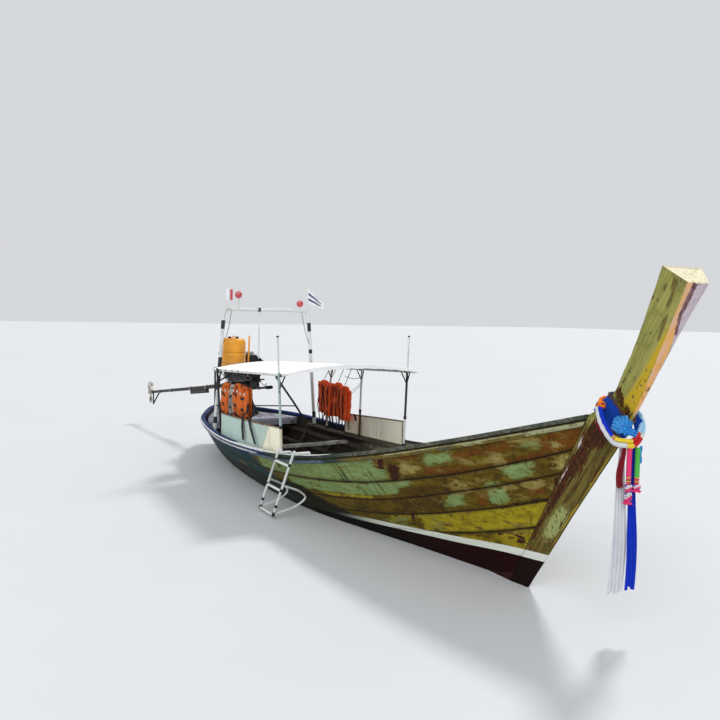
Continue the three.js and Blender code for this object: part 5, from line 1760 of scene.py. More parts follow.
@dataclass
class Canopy:
    """The cloth on its bows, its hems, lacing, poles and braces."""

    nodes: Nodes
    cloth: Finish
    tube: Finish
    lower: Finish
    dark: Finish
    cord: Finish
    white: Finish
    rusty: Finish
    aft: float = -2.2
    fore: float = 0.19
    half: float = 0.886
    crown: float = 0.09
    hem: float = 0.0045
    bows: tuple[float, ...] = (-2.155, -1.0, 0.145)

    def arc(self, y: float) -> float:
        """Gives the crown's rise.

        Args:
            y: Place across.

        Returns:
            0 at the edge, 1 in the middle.
        """
        return clamp(1 - (y / self.half) ** 2)

    def height(self, x: float, y: float) -> float:
        """Gives the cloth's height, with its sag between the bows.

        Args:
            x: Place along the boat.
            y: Place across.

        Returns:
            z of the cloth's underside.
        """
        z = canopy_edge(x) + self.crown * self.arc(y)
        for a, b in zip(self.bows, self.bows[1:]):
            if a < x < b:
                t = (x - a) / (b - a)
                z -= 0.02 * 4 * t * (1 - t) * self.arc(y) ** 0.5
        return z + 0.0009

    def sheet(self) -> None:
        """Builds the cloth."""
        build = Builder("canopy cloth", angle=60.0)
        rings = []
        for s in shares(80):
            x = mix(self.aft + 0.002, self.fore - 0.002, s)
            ring = []
            for t in shares(60):
                y = mix(-self.half + 0.001, self.half - 0.001, t)
                rim = self.half - abs(y)
                inner = smoothstep(0, 0.12, rim) * smoothstep(0, 0.1, min(x - self.aft, self.fore - x))
                ripple = wobble(v(x, y, 0), 3.0, 0.006) * inner
                pucker = 0.0016 * math.sin(x * 46) * (1 - smoothstep(0.0, 0.2, rim))
                ring.append(v(x, y, self.height(x, y) + ripple + pucker + 0.0016))
            rings.append(ring)
        build.leaf(rings, self.cloth, v(0, 0, 0.0022), v(0, 0, 0))
        obj = build.build(["canopy_sheet"], "canopy_cloth")

    def side_hem(self, build: Builder, side: Side) -> None:
        """Adds the hem roll and the lacing along a side.

        Args:
            build: Where it goes.
            side: The side.
        """
        line = []
        for t in shares(90):
            x = mix(self.aft + 0.006, self.fore - 0.006, t)
            line.append(side.at(x, self.half - 0.006, canopy_edge(x) + 0.0075 + 0.0016 * math.sin(x * 46)))
        build.pipe(line, self.hem, self.cloth, 8)
        for t in shares(16):
            x = mix(self.aft + 0.08, self.fore - 0.08, t)
            if side is Side.STARBOARD and x > -1.6:
                continue
            z = canopy_edge(x) - 0.0075
            ring = [side.at(x + 0.004 * math.sin(a * 0.5), EYELET_Y + 0.0165 * math.cos(a),
                            z + 0.0185 * math.sin(a)) for a in (*turns(12), TURN)]
            build.pipe(ring, 0.0022, self.cord, 6)

    def end_hem(self, build: Builder, x: float) -> None:
        """Adds the hem roll across an end.

        Args:
            build: Where it goes.
            x: Its place along the boat.
        """
        line = []
        for t in shares(60):
            y = mix(-self.half + 0.004, self.half - 0.004, t)
            line.append(v(x, y, self.height(x, y) + self.hem))
        build.pipe(line, self.hem, self.cloth, 8)

    def valance(self, build: Builder, x: float, out: int) -> None:
        """Adds the flap that hangs from an end.

        Args:
            build: Where it goes.
            x: Its place along the boat.
            out: 1 forward, -1 aft.
        """
        rings = []
        for share in shares(70):
            y = mix(-self.half + 0.002, self.half - 0.002, share)
            drop = mix(0.02, 0.046, self.arc(y)) + 0.003 * math.sin(31 * y)
            z = self.height(x, y) + 0.003
            wave = 0.002 * math.sin(23 * y)
            ring = [v(x + out * (0.0028 + wave * t), y, z - drop * t) for t in (0.0, 0.5, 1.0)]
            ring += [v(x + out * (0.001 + wave * t), y, z - drop * t) for t in (1.0, 0.5, 0.0)]
            rings.append(ring if out > 0 else ring[::-1])
        build.grid(rings, self.cloth)

    def hems(self) -> None:
        """Adds the hems, the lacing and the end flaps."""
        build = Builder("canopy hems")
        for side in Side:
            self.side_hem(build, side)
        for x in (self.aft + 0.005, self.fore - 0.005):
            self.end_hem(build, x)
        self.valance(build, self.fore - 0.003, 1)
        self.valance(build, self.aft + 0.003, -1)
        build.build()

    def pole(self, place: str, side: Side, x: float, inset: float, foot_paint: Finish,
             head_paint: Finish) -> None:
        """Builds one pole with its foot plate and clamp.

        Args:
            place: The last words of the frame node's name.
            side: Its side.
            x: Place along the boat.
            inset: Distance of its foot from the planking.
            foot_paint: Finish of its lower part.
            head_paint: Finish of its upper part.
        """
        name = f"canopy_pole_{place}"
        low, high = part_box(name)
        foot = side.at(x, LINES.inner(x).y - inset, low.z)
        rail = side.at(x, 0.9049, canopy_edge(x) - 0.0106)
        split = mix(foot.z, rail.z, 0.38)
        collars = [(split - 0.016, ((0.019, 0), (0.019, 0.03), (0.0165, 0.036)), 18),
                   (foot.z + 0.0004, ((0.027, 0), (0.027, 0.004), (0.02, 0.007), (0.0185, 0.03)), 18)]
        spans = [(foot.z, split, 0.0158, foot_paint, 20),
                 (split + 0.001, rail.z + 0.03, 0.0142, head_paint, 20)]
        if place.endswith("fore"):
            spans.append((rail.z + 0.031, high.z, 0.0115, self.white, 16))
            collars.insert(0, (high.z - 0.018, ((0.016, 0.0), (0.016, 0.012), (0.008, 0.018)), 14))
        build = Builder(f"pole {place}")
        for bottom, top, radius, material, sides in spans:
            build.pipe([at_height(foot, rail, bottom), at_height(foot, rail, top)], radius, material, sides)
        for z, profile, sides in collars:
            build.lathe(profile, at_height(foot, rail, z), UP, self.dark, sides)
        y = side.value * 0.862
        build.block((x - 0.019, min(rail.y, y), rail.z - 0.017), (x + 0.019, max(rail.y, y), rail.z + 0.014),
                    self.dark)
        for dx in (-1, 1):
            brace = [at_height(foot, rail, rail.z - 0.15) + v(dx * 0.004, 0, 0),
                     side.at(x + dx * 0.1, EYELET_Y, rail.z - 0.004)]
            build.pipe(brace, 0.0075, self.dark, 8)
        build.build([name], "white_tube")

    def braces(self) -> None:
        """Adds the long stay and the cross lines below the cloth."""
        build = Builder("canopy braces")
        rows = [([v(-0.11, -0.845, 1.47), v(-0.8, -0.31, 1.085), v(-1.46, 0.2, 0.7)], 0.0125, 10),
                ([v(-2.0, -0.9, 0.93), v(-2.0, -0.283, 0.9), v(-2.0, 0.278, 0.87)], 0.0085, 10),
                (hang(v(-1.52, 0.81, 1.33), v(-1.2, 0.915, 1.34), 0.035), 0.004, 6)]
        rows += [(hang(v(-1.2, 0.92, 1.3 - 0.03 * k), v(-1.47, 0.82, 1.12 - 0.04 * k), 0.05), 0.0028, 6)
                 for k in range(2)]
        for path, radius, sides in rows:
            build.pipe(path, radius, self.dark, sides)
        build.build()

    def build(self) -> None:
        """Builds the canopy."""
        self.sheet()
        self.hems()
        for row in (("starboard_fore", Side.STARBOARD, 0.1, 0.019, self.tube, self.lower),
                    ("starboard_aft", Side.STARBOARD, -1.96, 0.042, self.dark, self.dark),
                    ("port_fore", Side.PORT, -0.08, 0.019, self.white, self.dark),
                    ("port_middle", Side.PORT, -1.2, 0.05, self.rusty, self.white),
                    ("port_aft", Side.PORT, -2.09, 0.042, self.tube, self.white)):
            self.pole(*row)
        self.braces()
        dress(self.nodes["canopy_frame"], self.white, 40)


# Arch and what it carries


@dataclass
class Arch:
    """The stern arch with its sleeves, lamps, flags, shelf and fuel can."""

    nodes: Nodes
    tube: Finish
    dark: Finish
    lens: Finish
    rim: Finish
    can: Finish
    cap: Finish
    flag: Finish
    stripe: Finish
    cord: Finish
    x: float = -2.41
    top_z: float = 2.24
    can_radius: float = 0.177

    def sleeves(self) -> None:
        """Adds dark sleeves and pipe joints on the arch."""
        build = Builder("arch sleeves")
        base = LINES.inner(self.x)
        for side in Side:
            foot, head = side.at(self.x, base.y - 0.044, base.z), side.at(self.x, 0.655, self.top_z)
            upper = ((1.93, 2.06), (1.6, 1.66)) if side is Side.PORT else ((1.96, 2.08), (1.1, 1.56))
            rows = [(low, high, 0.0272, self.dark) for low, high in (*upper, (0.63, 0.72))]
            rows += [(z, z + 0.04, 0.029, self.tube) for z in (2.09, 1.3)]
            for low, high, radius, material in rows:
                build.pipe([at_height(foot, head, low), at_height(foot, head, high)], radius, material, 20)
            plate = at_height(foot, head, foot.z + 0.001)
            build.lathe(((0.046, 0), (0.046, 0.006), (0.03, 0.01)), plate, UP, self.dark, 20)
        for y in (0.5, -0.5):
            build.pipe([v(self.x, y, self.top_z), v(self.x, y + 0.045, self.top_z)], 0.029, self.tube, 20)
        build.pipe([v(self.x, -0.13, 2.213), v(self.x, -0.13, 2.266)], 0.03, self.dark, 16)
        for side in Side:
            wire = [side.at(self.x, 0.55, 2.21), side.at(self.x + 0.02, 0.6, 1.92),
                    side.at(self.x - 0.01, 0.735, 1.6)]
            build.pipe(bend(wire, 0.2), 0.004, self.dark, 6)
        build.build()

    def lamp(self, side: Side) -> None:
        """Builds one round lamp.

        Args:
            side: Its side.
        """
        name = f"lamp_{side.label}"
        low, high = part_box(name)
        middle = (low + high) / 2
        build = Builder(f"lamp {side.label}")
        ahead = v(0.86, -0.5, 0.0).normalized()
        face = v(middle.x, middle.y, high.z - 0.063) - ahead * 0.028
        stem = [v(middle.x, middle.y, low.z + 0.0003), v(middle.x, middle.y, high.z - 0.12)]
        build.pipe(stem, 0.0135, self.rim, 14)
        shell = ((0.03, 0.0), (0.054, 0.01), (0.06, 0.026), (0.06, 0.036), (0.052, 0.04))
        build.lathe(shell, face, ahead, self.rim, 32)
        glass = ((0.05, 0.037), (0.047, 0.046), (0.036, 0.054), (0.018, 0.058), (0.001, 0.059))
        build.lathe(glass, face, ahead, self.lens, 32)
        for k in range(3):
            ridge = ((0.044 - 0.013 * k, 0.0475 + 0.0045 * k), (0.041 - 0.013 * k, 0.0515 + 0.0035 * k))
            build.lathe(ridge, face, ahead, self.lens, 28)
        build.build([name], "red_lens")

    def pennant(self, side: Side) -> None:
        """Builds one flag on its staff.

        Args:
            side: Its side.
        """
        name = f"flag_{side.label}"
        low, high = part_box(name)
        y, x, steps, up = low.y + 0.005, -2.4402, 26, 14
        hoist, foot, fly, tip = 2.529, 2.362, 2.52, 2.368
        if side is Side.PORT:
            hoist, foot, fly, tip = 2.586, 2.35, 2.342, 2.268
        build = Builder(f"flag {side.label}", angle=60)
        build.pipe([v(x, y, low.z), v(x, y, high.z)], 0.005, self.tube, 10)
        rows = []
        for t in shares(steps):
            wave = 0.01 * math.sin(t * 6.0) + 0.004 * math.sin(t * 15 + 1)
            top, bottom = mix(hoist, fly, t), mix(foot, tip, t)
            place = mix(y + 0.004, high.y, t)
            rows.append([v(x + wave, place, mix(bottom, top, s)) for s in shares(up)])
        build.leaf(rows, self.flag, v(0.0008, 0, 0), v(-0.0008, 0, 0))
        bands = ((1, 22, 3, 6), (1, 22, 8, 11)) if side is Side.PORT else ((18, 27, 0, up + 1),)
        for first, last, j0, j1 in bands:
            strip = [row[j0:j1] for row in rows[first:last]]
            material = self.stripe if side is Side.PORT else self.lens
            build.grid([[p + v(0.0015, 0, 0) for p in row] for row in strip], material, False, False)
            if side is Side.PORT:
                back = [[p - v(0.0015, 0, 0) for p in reversed(row)] for row in strip]
                build.grid(back, material, False, False)
        build.build([name], "flag_cloth")

    def can_profile(self, tall: float) -> list[tuple[float, float]]:
        """Draws the can's outline, with its seam at half height and its shoulder.

        Args:
            tall: Height up to the top of its shoulder.

        Returns:
            Radius and height pairs.
        """
        r, half = self.can_radius - 0.001, tall * 0.5
        profile = [(r - 0.029, 0.0), (r - 0.009, 0.006), (r - 0.001, 0.02), (r, 0.05)]
        profile += [(r + 0.0008 * math.sin(k), 0.05 + k * (half - 0.062) / 8) for k in range(1, 9)]
        profile += [(r - 0.005, half - 0.004), (r - 0.0055, half + 0.004), (r, half + 0.01)]
        profile += [(r, half + 0.01 + k * (half - 0.085) / 6) for k in range(1, 7)]
        for k in range(1, 8):
            a = math.pi / 2 * k / 7
            profile.append((r - 0.045 * (1 - math.cos(a)), tall - 0.072 + 0.066 * math.sin(a)))
        return profile + [(0.118, tall - 0.01), (0.112, tall - 0.016), (0.001, tall - 0.016)]

    def fuel_can(self) -> None:
        """Builds the can with its caps and handle."""
        low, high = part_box("fuel_can")
        base = v((low.x + high.x) / 2, (low.y + high.y) / 2, low.z)
        build = Builder("fuel can", angle=45)
        tall = high.z - low.z - 0.03
        build.lathe(self.can_profile(tall), base, UP, self.can, 64)
        for dx, dy, size, material in ((0.02, -0.065, 0.03, self.cap), (-0.04, 0.072, 0.02, self.dark)):
            at, grip = base + v(dx, dy, tall - 0.018), size * 0.86
            cap = ((size, 0.0), (size, 0.01), (grip, 0.012), (grip, 0.034), (size * 0.74, 0.038))
            build.lathe(cap, at, UP, material, 24)
            for a in turns(12):
                rib = at + v(grip * math.cos(a), grip * math.sin(a), 0.013)
                build.pipe([rib, rib + v(0, 0, 0.019)], 0.0022, material, 6)
        handle = ((0.07, 0.0, -0.018), (0.07, 0.0, 0.022), (-0.08, 0.02, 0.022), (-0.08, 0.02, -0.018))
        build.pipe(bend([base + v(x, y, tall + z) for x, y, z in handle], 0.03), 0.008, self.can, 10)
        build.build(["fuel_can"], "can_plastic")

    def shelf_extras(self) -> None:
        """Adds lashings, a strap round the can and the yellow stick beside it."""
        low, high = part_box("fuel_can")
        base = v((low.x + high.x) / 2, (low.y + high.y) / 2, 0)
        build = Builder("can lashing")
        reach = self.can_radius + 0.0025
        ring = [base + v(reach * math.cos(a), reach * math.sin(a), 1.475 + 0.004 * math.sin(3 * a))
                for a in turns(48)]
        build.pipe(ring, 0.0035, self.cord, 6, True)
        build.pipe(hang(base + v(0.13, -0.125, 1.475), v(self.x, -0.7, 1.52), 0.02), 0.0035, self.cord, 6)
        build.pipe([v(-2.53, -0.245, 1.395), v(-2.5, -0.24, 1.86)], 0.013, self.can, 10)
        build.build()

    def build(self) -> None:
        """Builds the arch's parts."""
        self.sleeves()
        for side in Side:
            self.lamp(side)
        for side in Side:
            self.pennant(side)
        self.fuel_can()
        self.shelf_extras()
        dress(self.nodes["can_shelf"], self.dark, 40)
        dress(self.nodes["arch"], self.tube, 40)


# Life vests


@dataclass
class Vests:
    """Life vests hung in groups from the canopy's side rails."""

    orange: Finish
    # A brighter copy of the orange, painted light for the port vests, whose seen side is in shade.
    bright: Finish
    faded: Finish
    black: Finish
    silver: Finish
    groups: tuple[tuple[Side, tuple[tuple[float, float, float], ...]], ...] = (
        (Side.STARBOARD,
         ((-1.88, 0.79, 1.0), (-1.67, 0.765, 0.99), (-1.43, 0.79, 1.03), (-1.22, 0.775, 1.01))),
        (Side.PORT,
         ((-2.11, 0.79, 0.97), (-1.9, 0.765, 0.95), (-1.67, 0.79, 0.97), (-1.45, 0.775, 0.94))),
    )
    port_straps: tuple[tuple[float, float, float], ...] = ((-2.08, 0.8, 0.46), (-1.36, 0.8, 0.44))
    bands: tuple[tuple[float, float, float, float], ...] = (
        (-0.93, 0.955, -0.86, 0.645), (-0.72, 0.945, -0.47, 0.655),
    )

    def cushion(self, build: Builder, centre: Vector, size: Vector, lean: float, material: Finish,
                seed: float) -> None:
        """Adds one foam panel with puckered edges.

        Args:
            build: Where it goes.
            centre: Its middle.
            size: Width along x, thickness along y and height along z.
            lean: Turn about y.
            material: Its finish.
            seed: Makes its creases its own.
        """
        turn = Matrix.Rotation(lean, 3, "Y")
        rings = []
        for t in shares(18):
            end = math.sin(math.pi * clamp(t, 0.02, 0.98)) ** 0.22
            wide = size.x * 0.5 * mix(0.72, 1.05, t ** 0.7) * (0.94 + 0.06 * end)
            thick = size.y * 0.5 * end * (1 - 0.16 * abs(math.cos(3 * math.pi * t)) ** 6)
            ring = []
            for a in turns(28):
                cx = math.copysign(abs(math.cos(a)) ** 0.7, math.cos(a))
                sy = math.copysign(abs(math.sin(a)) ** 0.8, math.sin(a))
                p = v(cx * wide, sy * thick, (t - 0.5) * size.z)
                crease = wobble(p + v(seed, 0, seed), 9.0, 0.016) + wobble(p + v(0, seed, 0), 24.0, 0.005)
                ring.append(centre + turn @ (p + v(0, math.copysign(crease, sy), crease * 0.4)))
            rings.append(ring)
        build.grid(rings, material)

    def strap(self, build: Builder, path: Sequence[Vector], width: float) -> None:
        """Adds a flat webbing strap.

        Args:
            build: Where it goes.
            path: Its centre line.
            width: Its width along x.
        """
        build.leaf([[p + v(-width / 2, 0, 0), p + v(width / 2, 0, 0)] for p in path], self.black,
                   v(0, 0.0012, 0), v(0, -0.0012, 0))

    def vest(self, build: Builder, centre: Vector, side: Side, seed: float, material: Finish) -> None:
        """Adds one vest.

        Args:
            build: Where it goes.
            centre: Middle of its front.
            side: The side of the boat it hangs on.
            seed: Makes it differ from the others.
            material: Its cloth.
        """
        rnd = random.Random(seed)
        for k in (-1, 1):
            lean = k * 0.05 + rnd.uniform(-0.05, 0.05)
            self.cushion(build, centre + side.at(k * 0.068, 0.022, -0.02), v(0.122, 0.062, 0.42), lean,
                         material, seed + k)
        self.cushion(build, centre + side.at(0, -0.03, 0.0), v(0.235, 0.04, 0.46), rnd.uniform(-0.05, 0.05),
                     material, seed + 5)
        collar = ((-0.07, 0.015, 0.16), (-0.074, 0.008, 0.226), (0.074, 0.008, 0.226), (0.07, 0.015, 0.16))
        build.pipe(bend([centre + side.at(*p) for p in collar], 0.05), 0.026, material, 14)
        for z in (0.1, -0.04, -0.15):
            rows = []
            for t in shares(14):
                a = mix(-1.0, 1.0, t)
                up = z + 0.016 * math.sin(3 * a + seed)
                p = centre + side.at(a * 0.132, 0.057 - 0.03 * abs(a) ** 3, up)
                rows.append([p - v(0, 0, 0.011), p + v(0, 0, 0.011)])
            build.leaf(rows, self.black, v(0, 0.0014, 0), v(0, -0.0014, 0))
            buckle = centre + side.at(0, 0.053, z)
            build.block(buckle - v(0.016, 0.005, 0.014), buckle + v(0.016, 0.005, 0.014), self.black, 0.003)
        for k in (-1, 1):
            drop = rnd.uniform(0.3, 0.42)
            self.strap(build, [centre + side.at(k * 0.05 + 0.012 * math.sin(6 * t + seed + k),
                                                -0.06 - 0.01 * math.sin(9 * t + seed), mix(0.19, -drop, t))
                               for t in shares(14)], 0.026)
        for k in (-1, 1):
            patch = centre + side.at(k * 0.07, 0.055, 0.15)
            build.block(patch - v(0.022, 0.002, 0.015), patch + v(0.022, 0.002, 0.015), self.silver, 0.001)
            a = centre + side.at(k * 0.045, 0.04, -0.19)
            self.strap(build, hang(a, a + side.at(k * 0.02, 0.004, -rnd.uniform(0.1, 0.22)), 0.0), 0.022)

    def group(self, side: Side, places: Sequence[tuple[float, float, float]]) -> None:
        """Builds a group and the straps that hang from it.

        Args:
            side: Its side.
            places: x, distance from the centreline and z of each vest's middle.
        """
        build = Builder(f"life vests {side.label}", angle=55)
        starboard = side is Side.STARBOARD
        for n, place in enumerate(places):
            centre = side.at(*place)
            # The port vests take the brighter copy of the orange, as painted light.
            cloth = self.bright if not starboard else self.faded if n == 1 else self.orange
            self.vest(build, centre, side, 3.0 + 2.7 * n, cloth)
            hook = side.at(place[0], 0.872, canopy_edge(place[0]) - 0.0225)
            build.pipe([hook, hook - side.at(0, 0.01, 0.03), centre + v(0, 0, 0.262)], 0.0045, self.black, 8)
            loop = ((-0.018, 0, -0.002), (-0.018, 0.02, 0.028), (0.018, 0.02, 0.028), (0.018, 0, -0.002))
            build.pipe(bend([hook + side.at(*p) for p in loop], 0.014, 4), 0.004, self.black, 6)
        for x, top_z, low_z in () if starboard else self.port_straps:
            half = LINES.at(LINES.station(x))[1]
            middle = side.at(x + 0.02, half - 0.06, mix(top_z, low_z, 0.45))
            path = bend([side.at(x, half - 0.09, top_z), middle,
                         side.at(x + 0.05, half - 0.06, low_z)], 0.12)
            self.strap(build, path, 0.052)
        build.build([f"life_vests_{side.label}"], "vest_foam")

    def webbing(self) -> None:
        """Hangs two broad webbing bands over the starboard screen."""
        build = Builder("webbing bands", angle=60)
        for x, top, foot_x, foot_z in self.bands:
            path = bend([v(x - 0.16, -0.8, top + 0.1), v(x - 0.04, -0.855, top - 0.005),
                         v(x - 0.01, -0.9, top), v(x + 0.01, -0.932, top - 0.045),
                         v(mix(x, foot_x, 0.4), -0.945, mix(top, foot_z, 0.45)),
                         v(foot_x, -0.948, foot_z)], 0.035, 5)
            rows = []
            for k, p in enumerate(path):
                half = v(0.03 + 0.003 * math.sin(0.9 * k), 0, 0)
                rows.append([p - half, p + half])
            build.leaf(rows, self.black, v(0, 0.003, 0), v(0, -0.003, 0))
        build.build()

    def build(self) -> None:
        """Builds both groups and the bands."""
        for side, places in self.groups:
            self.group(side, places)
        self.webbing()


# Ladder


@dataclass
class Ladder:
    """The boarding ladder's finish and the joints on its rails."""

    nodes: Nodes
    tube: Finish
    dark: Finish
    rails: tuple[float, float] = (0.31, 0.672)
    top: tuple[float, float] = (-0.972, 0.77)
    foot: tuple[float, float, float] = (-0.30545, -1.075, 0.025)

    def build(self) -> None:
        """Dresses the ladder."""
        dress(self.nodes["boarding_ladder"], self.tube, 50)
        build = Builder("ladder joints")
        for x in self.rails:
            ends = v(x, *self.top), v(x + self.foot[0], *self.foot[1:])
            for z, tall in ((0.03, 0.045), (0.13, 0.03), (0.315, 0.03), (0.6, 0.03)):
                build.pipe([at_height(*ends, z), at_height(*ends, z + tall)], 0.0165, self.dark, 14)
        build.build()


# Engine, tail and propeller


Point = tuple[float, float, float]
BOLT = ((0.011, 0), (0.011, 0.008), (0.006, 0.01))
FORE, AFT, LIFT = (1, 0, 0), (-1, 0, 0), (0, 0, 1)


@dataclass
class Engine:
    """The engine on its swivel, the long tail and the propeller, in millimetres from the pivot."""

    nodes: Nodes
    iron: Finish
    steel: Finish
    pale: Finish
    rubber: Finish
    rust: Finish
    brass: Finish
    blade: Finish
    pivot: Point = (-3.55, 0.0, 1.05)
    yaw: float = 8.5
    tilt: float = -7.3

    @property
    def place(self) -> Matrix:
        """Gives the engine's own frame.

        Returns:
            Matrix from the engine's space to the boat's.
        """
        return (Matrix.Translation(self.pivot) @ Matrix.Rotation(math.radians(self.yaw), 4, "Z")
                @ Matrix.Rotation(math.radians(self.tilt), 4, "Y"))

    def at(self, x: float, y: float, z: float) -> Vector:
        """Carries a point of the engine's frame to the boat's.

        Args:
            x: Ahead of the pivot.
            y: To port.
            z: Up.

        Returns:
            The point in metres.
        """
        return self.place @ v(x / 1000, y / 1000, z / 1000)

    def box(self, build: Builder, low: Point, high: Point, material: Finish, ease: float = 5.0) -> None:
        """Adds a box.

        Args:
            build: Where it goes.
            low: Lowest corner.
            high: Highest corner.
            material: Its finish.
            ease: Edge width.
        """
        build.block([c / 1000 for c in low], [c / 1000 for c in high], material, ease / 1000, self.place)

    def turned(self, build: Builder, profile: Sequence[tuple[float, float]], at: Point, way: Point,
               material: Finish, sides: int = 6) -> None:
        """Adds a turned solid.

        Args:
            build: Where it goes.
            profile: Radius and height pairs in metres.
            at: Where height 0 lies.
            way: Direction of the height.
            material: Its finish.
            sides: Corners round it.
        """
        build.lathe(profile, self.at(*at), (self.place.to_3x3() @ v(*way)).normalized(), material, sides)

    def line(self, build: Builder, points: Sequence[Point], radius: float, material: Finish,
             sides: int = 8, reach: float = 0.0) -> None:
        """Adds a bar or a hose.

        Args:
            build: Where it goes.
            points: Its centre line.
            radius: Its radius in metres.
            material: Its finish.
            sides: Corners round it.
            reach: Reach of its bends in metres, 0 for none.
        """
        path = [self.at(*p) for p in points]
        build.pipe(bend(path, reach) if reach else path, radius, material, sides)

    def block(self, build: Builder) -> None:
        """Adds castings, covers, manifolds and turned parts to the engine.

        Args:
            build: Where they go.
        """
        for k in range(5):
            self.box(build, (-92 + k * 118, -146, 158), (-76 + k * 118, 146, 350), self.iron, 4)
        self.box(build, (-118, -148, 148), (458, 148, 166), self.iron, 4)
        self.box(build, (-98, -108, 432), (438, 108, 446), self.steel, 3)
        self.box(build, (-76, -70, 444), (416, 70, 496), self.pale, 14)
        for k in range(4):
            self.turned(build, ((0.016, 0), (0.016, 0.006), (0.008, 0.012)), (-30 + k * 125, 0, 494), LIFT,
                        self.steel, 16)
        for x in range(-38, 450, 122):
            branch = ((x, -98, 396), (x, -160, 398), (x + 30, -168, 330))
            self.line(build, branch, 0.017, self.rust, 12, 0.03)
            self.line(build, ((x, 96, 398), (x, 152, 398)), 0.022, self.iron, 12)
        self.line(build, ((-60, -170, 330), (380, -170, 330)), 0.026, self.rust, 14)
        self.line(build, ((-50, 152, 398), (372, 152, 398)), 0.02, self.iron, 14)
        filter_can = ((0.08, 0), (0.087, 0.006), (0.087, 0.092), (0.08, 0.099), (0.01, 0.101))
        cylinder = ((0.036, 0), (0.038, 0.01), (0.038, 0.085), (0.03, 0.095))
        motor = ((0.058, 0), (0.062, 0.01), (0.062, 0.09), (0.045, 0.11))
        for row in ((filter_can, (60, -40, 482), LIFT, self.pale, 40),
                    (((0.089, 0), (0.089, 0.008)), (60, -40, 497), LIFT, self.steel, 40),
                    (((0.012, 0), (0.016, 0.006), (0.006, 0.01)), (60, -40, 583), LIFT, self.steel, 12),
                    (cylinder, (300, -152, 210), (0, -1, 0), self.pale, 24),
                    (motor, (390, 150, 300), FORE, self.steel, 28)):
            self.turned(build, *row)

    def drive(self, build: Builder) -> None:
        """Adds the pulleys, the belt and the fan.

        Args:
            build: Where they go.
        """
        for at, r in (((492, 0, 250), 0.075), ((492, 118, 330), 0.04), ((492, -70, 120), 0.05)):
            pulley = ((r, 0), (r * 0.86, 0.008), (r, 0.016), (r * 0.3, 0.02))
            self.turned(build, pulley, at, FORE, self.steel, 28)
        belt = []
        for y, z, across, up, first, last in ((0, 250, 67.5, 75, 8, 17), (118, 330, 40, 40, -4, 6)):
            for a in (math.pi * k / 8 for k in range(first, last)):
                belt.append(self.at(500, y + across * math.cos(a), z + up * math.sin(a)))
        build.pipe(belt, 0.006, self.rubber, 8, True)
        ahead = self.place.to_3x3() @ v(0.002, 0, 0)
        for a in turns(6):
            c, s = math.cos(a), math.sin(a)
            rows = []
            for r in (42, 100, 162):
                w = 26 + 0.14 * r
                rows.append([self.at(512, r * c - w * s, 250 + r * s + w * c),
                             self.at(530, r * c + w * s, 250 + r * s - w * c)])
            build.grid(rows, self.pale, False, False)
            build.grid([[p + ahead for p in reversed(row)] for row in rows], self.pale, False, False)

    def fittings(self, build: Builder) -> None:
        """Adds hoses and bolts to the engine.

        Args:
            build: Where they go.
        """
        for points, radius, sides, reach in (
                (((430, -60, 430), (505, -90, 470), (520, -130, 380), (470, -150, 250)), 0.019, 12, 0.06),
                (((80, -110, 520), (40, -190, 470), (-80, -180, 380), (-130, -120, 300)), 0.009, 8, 0.06),
                (((200, 90, 470), (240, 190, 430), (120, 200, 260), (40, 180, 240)), 0.007, 8, 0.05),
                (((-60, 60, 470), (-160, 90, 430), (-190, 40, 360)), 0.008, 8, 0.05)):
            self.line(build, points, radius, self.rubber, sides, reach)
        for a in turns(8):
            at = (-222, 128 * math.cos(a + 0.2), 210 + 128 * math.sin(a + 0.2))
            self.turned(build, BOLT, at, AFT, self.steel)
        for k in range(6):
            for y in (-1, 1):
                self.turned(build, ((0.008, 0), (0.008, 0.014), (0.004, 0.016)),
                            (-80 + k * 98, y * 101, 438), LIFT, self.steel)
                self.turned(build, ((0.008, 0), (0.008, 0.006), (0.004, 0.008)),
                            (-100 + k * 106, y * 150, 157), (0, y, 0), self.steel)

    def tail(self) -> None:
        """Adds collars, straps and bolts to the tail."""
        build = Builder("tail fittings", "engine", 40)
        for x, wide, r in ((-240, 90, 0.048), (-700, 26, 0.037), (-1120, 34, 0.039), (-1750, 34, 0.038),
                           (-2600, 26, 0.034), (-3130, 34, 0.034), (-3500, 60, 0.033)):
            self.line(build, ((x, 0, 0), (x - wide, 0, 0)), r, self.steel, 24)
        self.line(build, ((320, 0, 0), (352, 0, 0)), 0.046, self.iron, 20)
        for k in range(6):
            for y in (-1, 1):
                self.turned(build, ((0.01, 0), (0.01, 0.006), (0.005, 0.009)),
                            (-1160 - k * 110, y * 26, -70), (0, y, 0), self.steel)
        self.line(build, ((-260, 0, 40), (-560, 0, 34)), 0.01, self.rust, 10)
        build.pipe(hang(self.at(-300, 20, 32), self.at(-1100, 24, 30), 0.0), 0.006, self.rubber, 8)
        self.box(build, (-205, -122, 50), (596, -104, 58), self.steel, 2)
        self.box(build, (-205, 104, 50), (596, 122, 58), self.steel, 2)
        build.build()

    def handle(self) -> None:
        """Adds the tiller's grip, throttle lever and cable."""
        build = Builder("tiller fittings", "engine", 40)
        profile = [(0.021, 0.0)]
        for k in range(14):
            profile += [(0.0265, 0.006 + k * 0.009), (0.024, 0.0105 + k * 0.009)]
        profile += [(0.0262, 0.136), (0.018, 0.142)]
        self.turned(build, profile, (840, 0, -85), FORE, self.rubber, 24)
        self.line(build, ((800, 0, -66), (830, 0, -30), (850, 0, -28)), 0.006, self.steel)
        cable = ((795, 6, -70), (700, 30, -40), (520, 60, 40), (430, 90, 160))
        self.line(build, cable, 0.0045, self.rubber, 8, 0.08)
        self.line(build, ((608, 0, -85), (628, 0, -85)), 0.023, self.steel, 16)
        build.build()

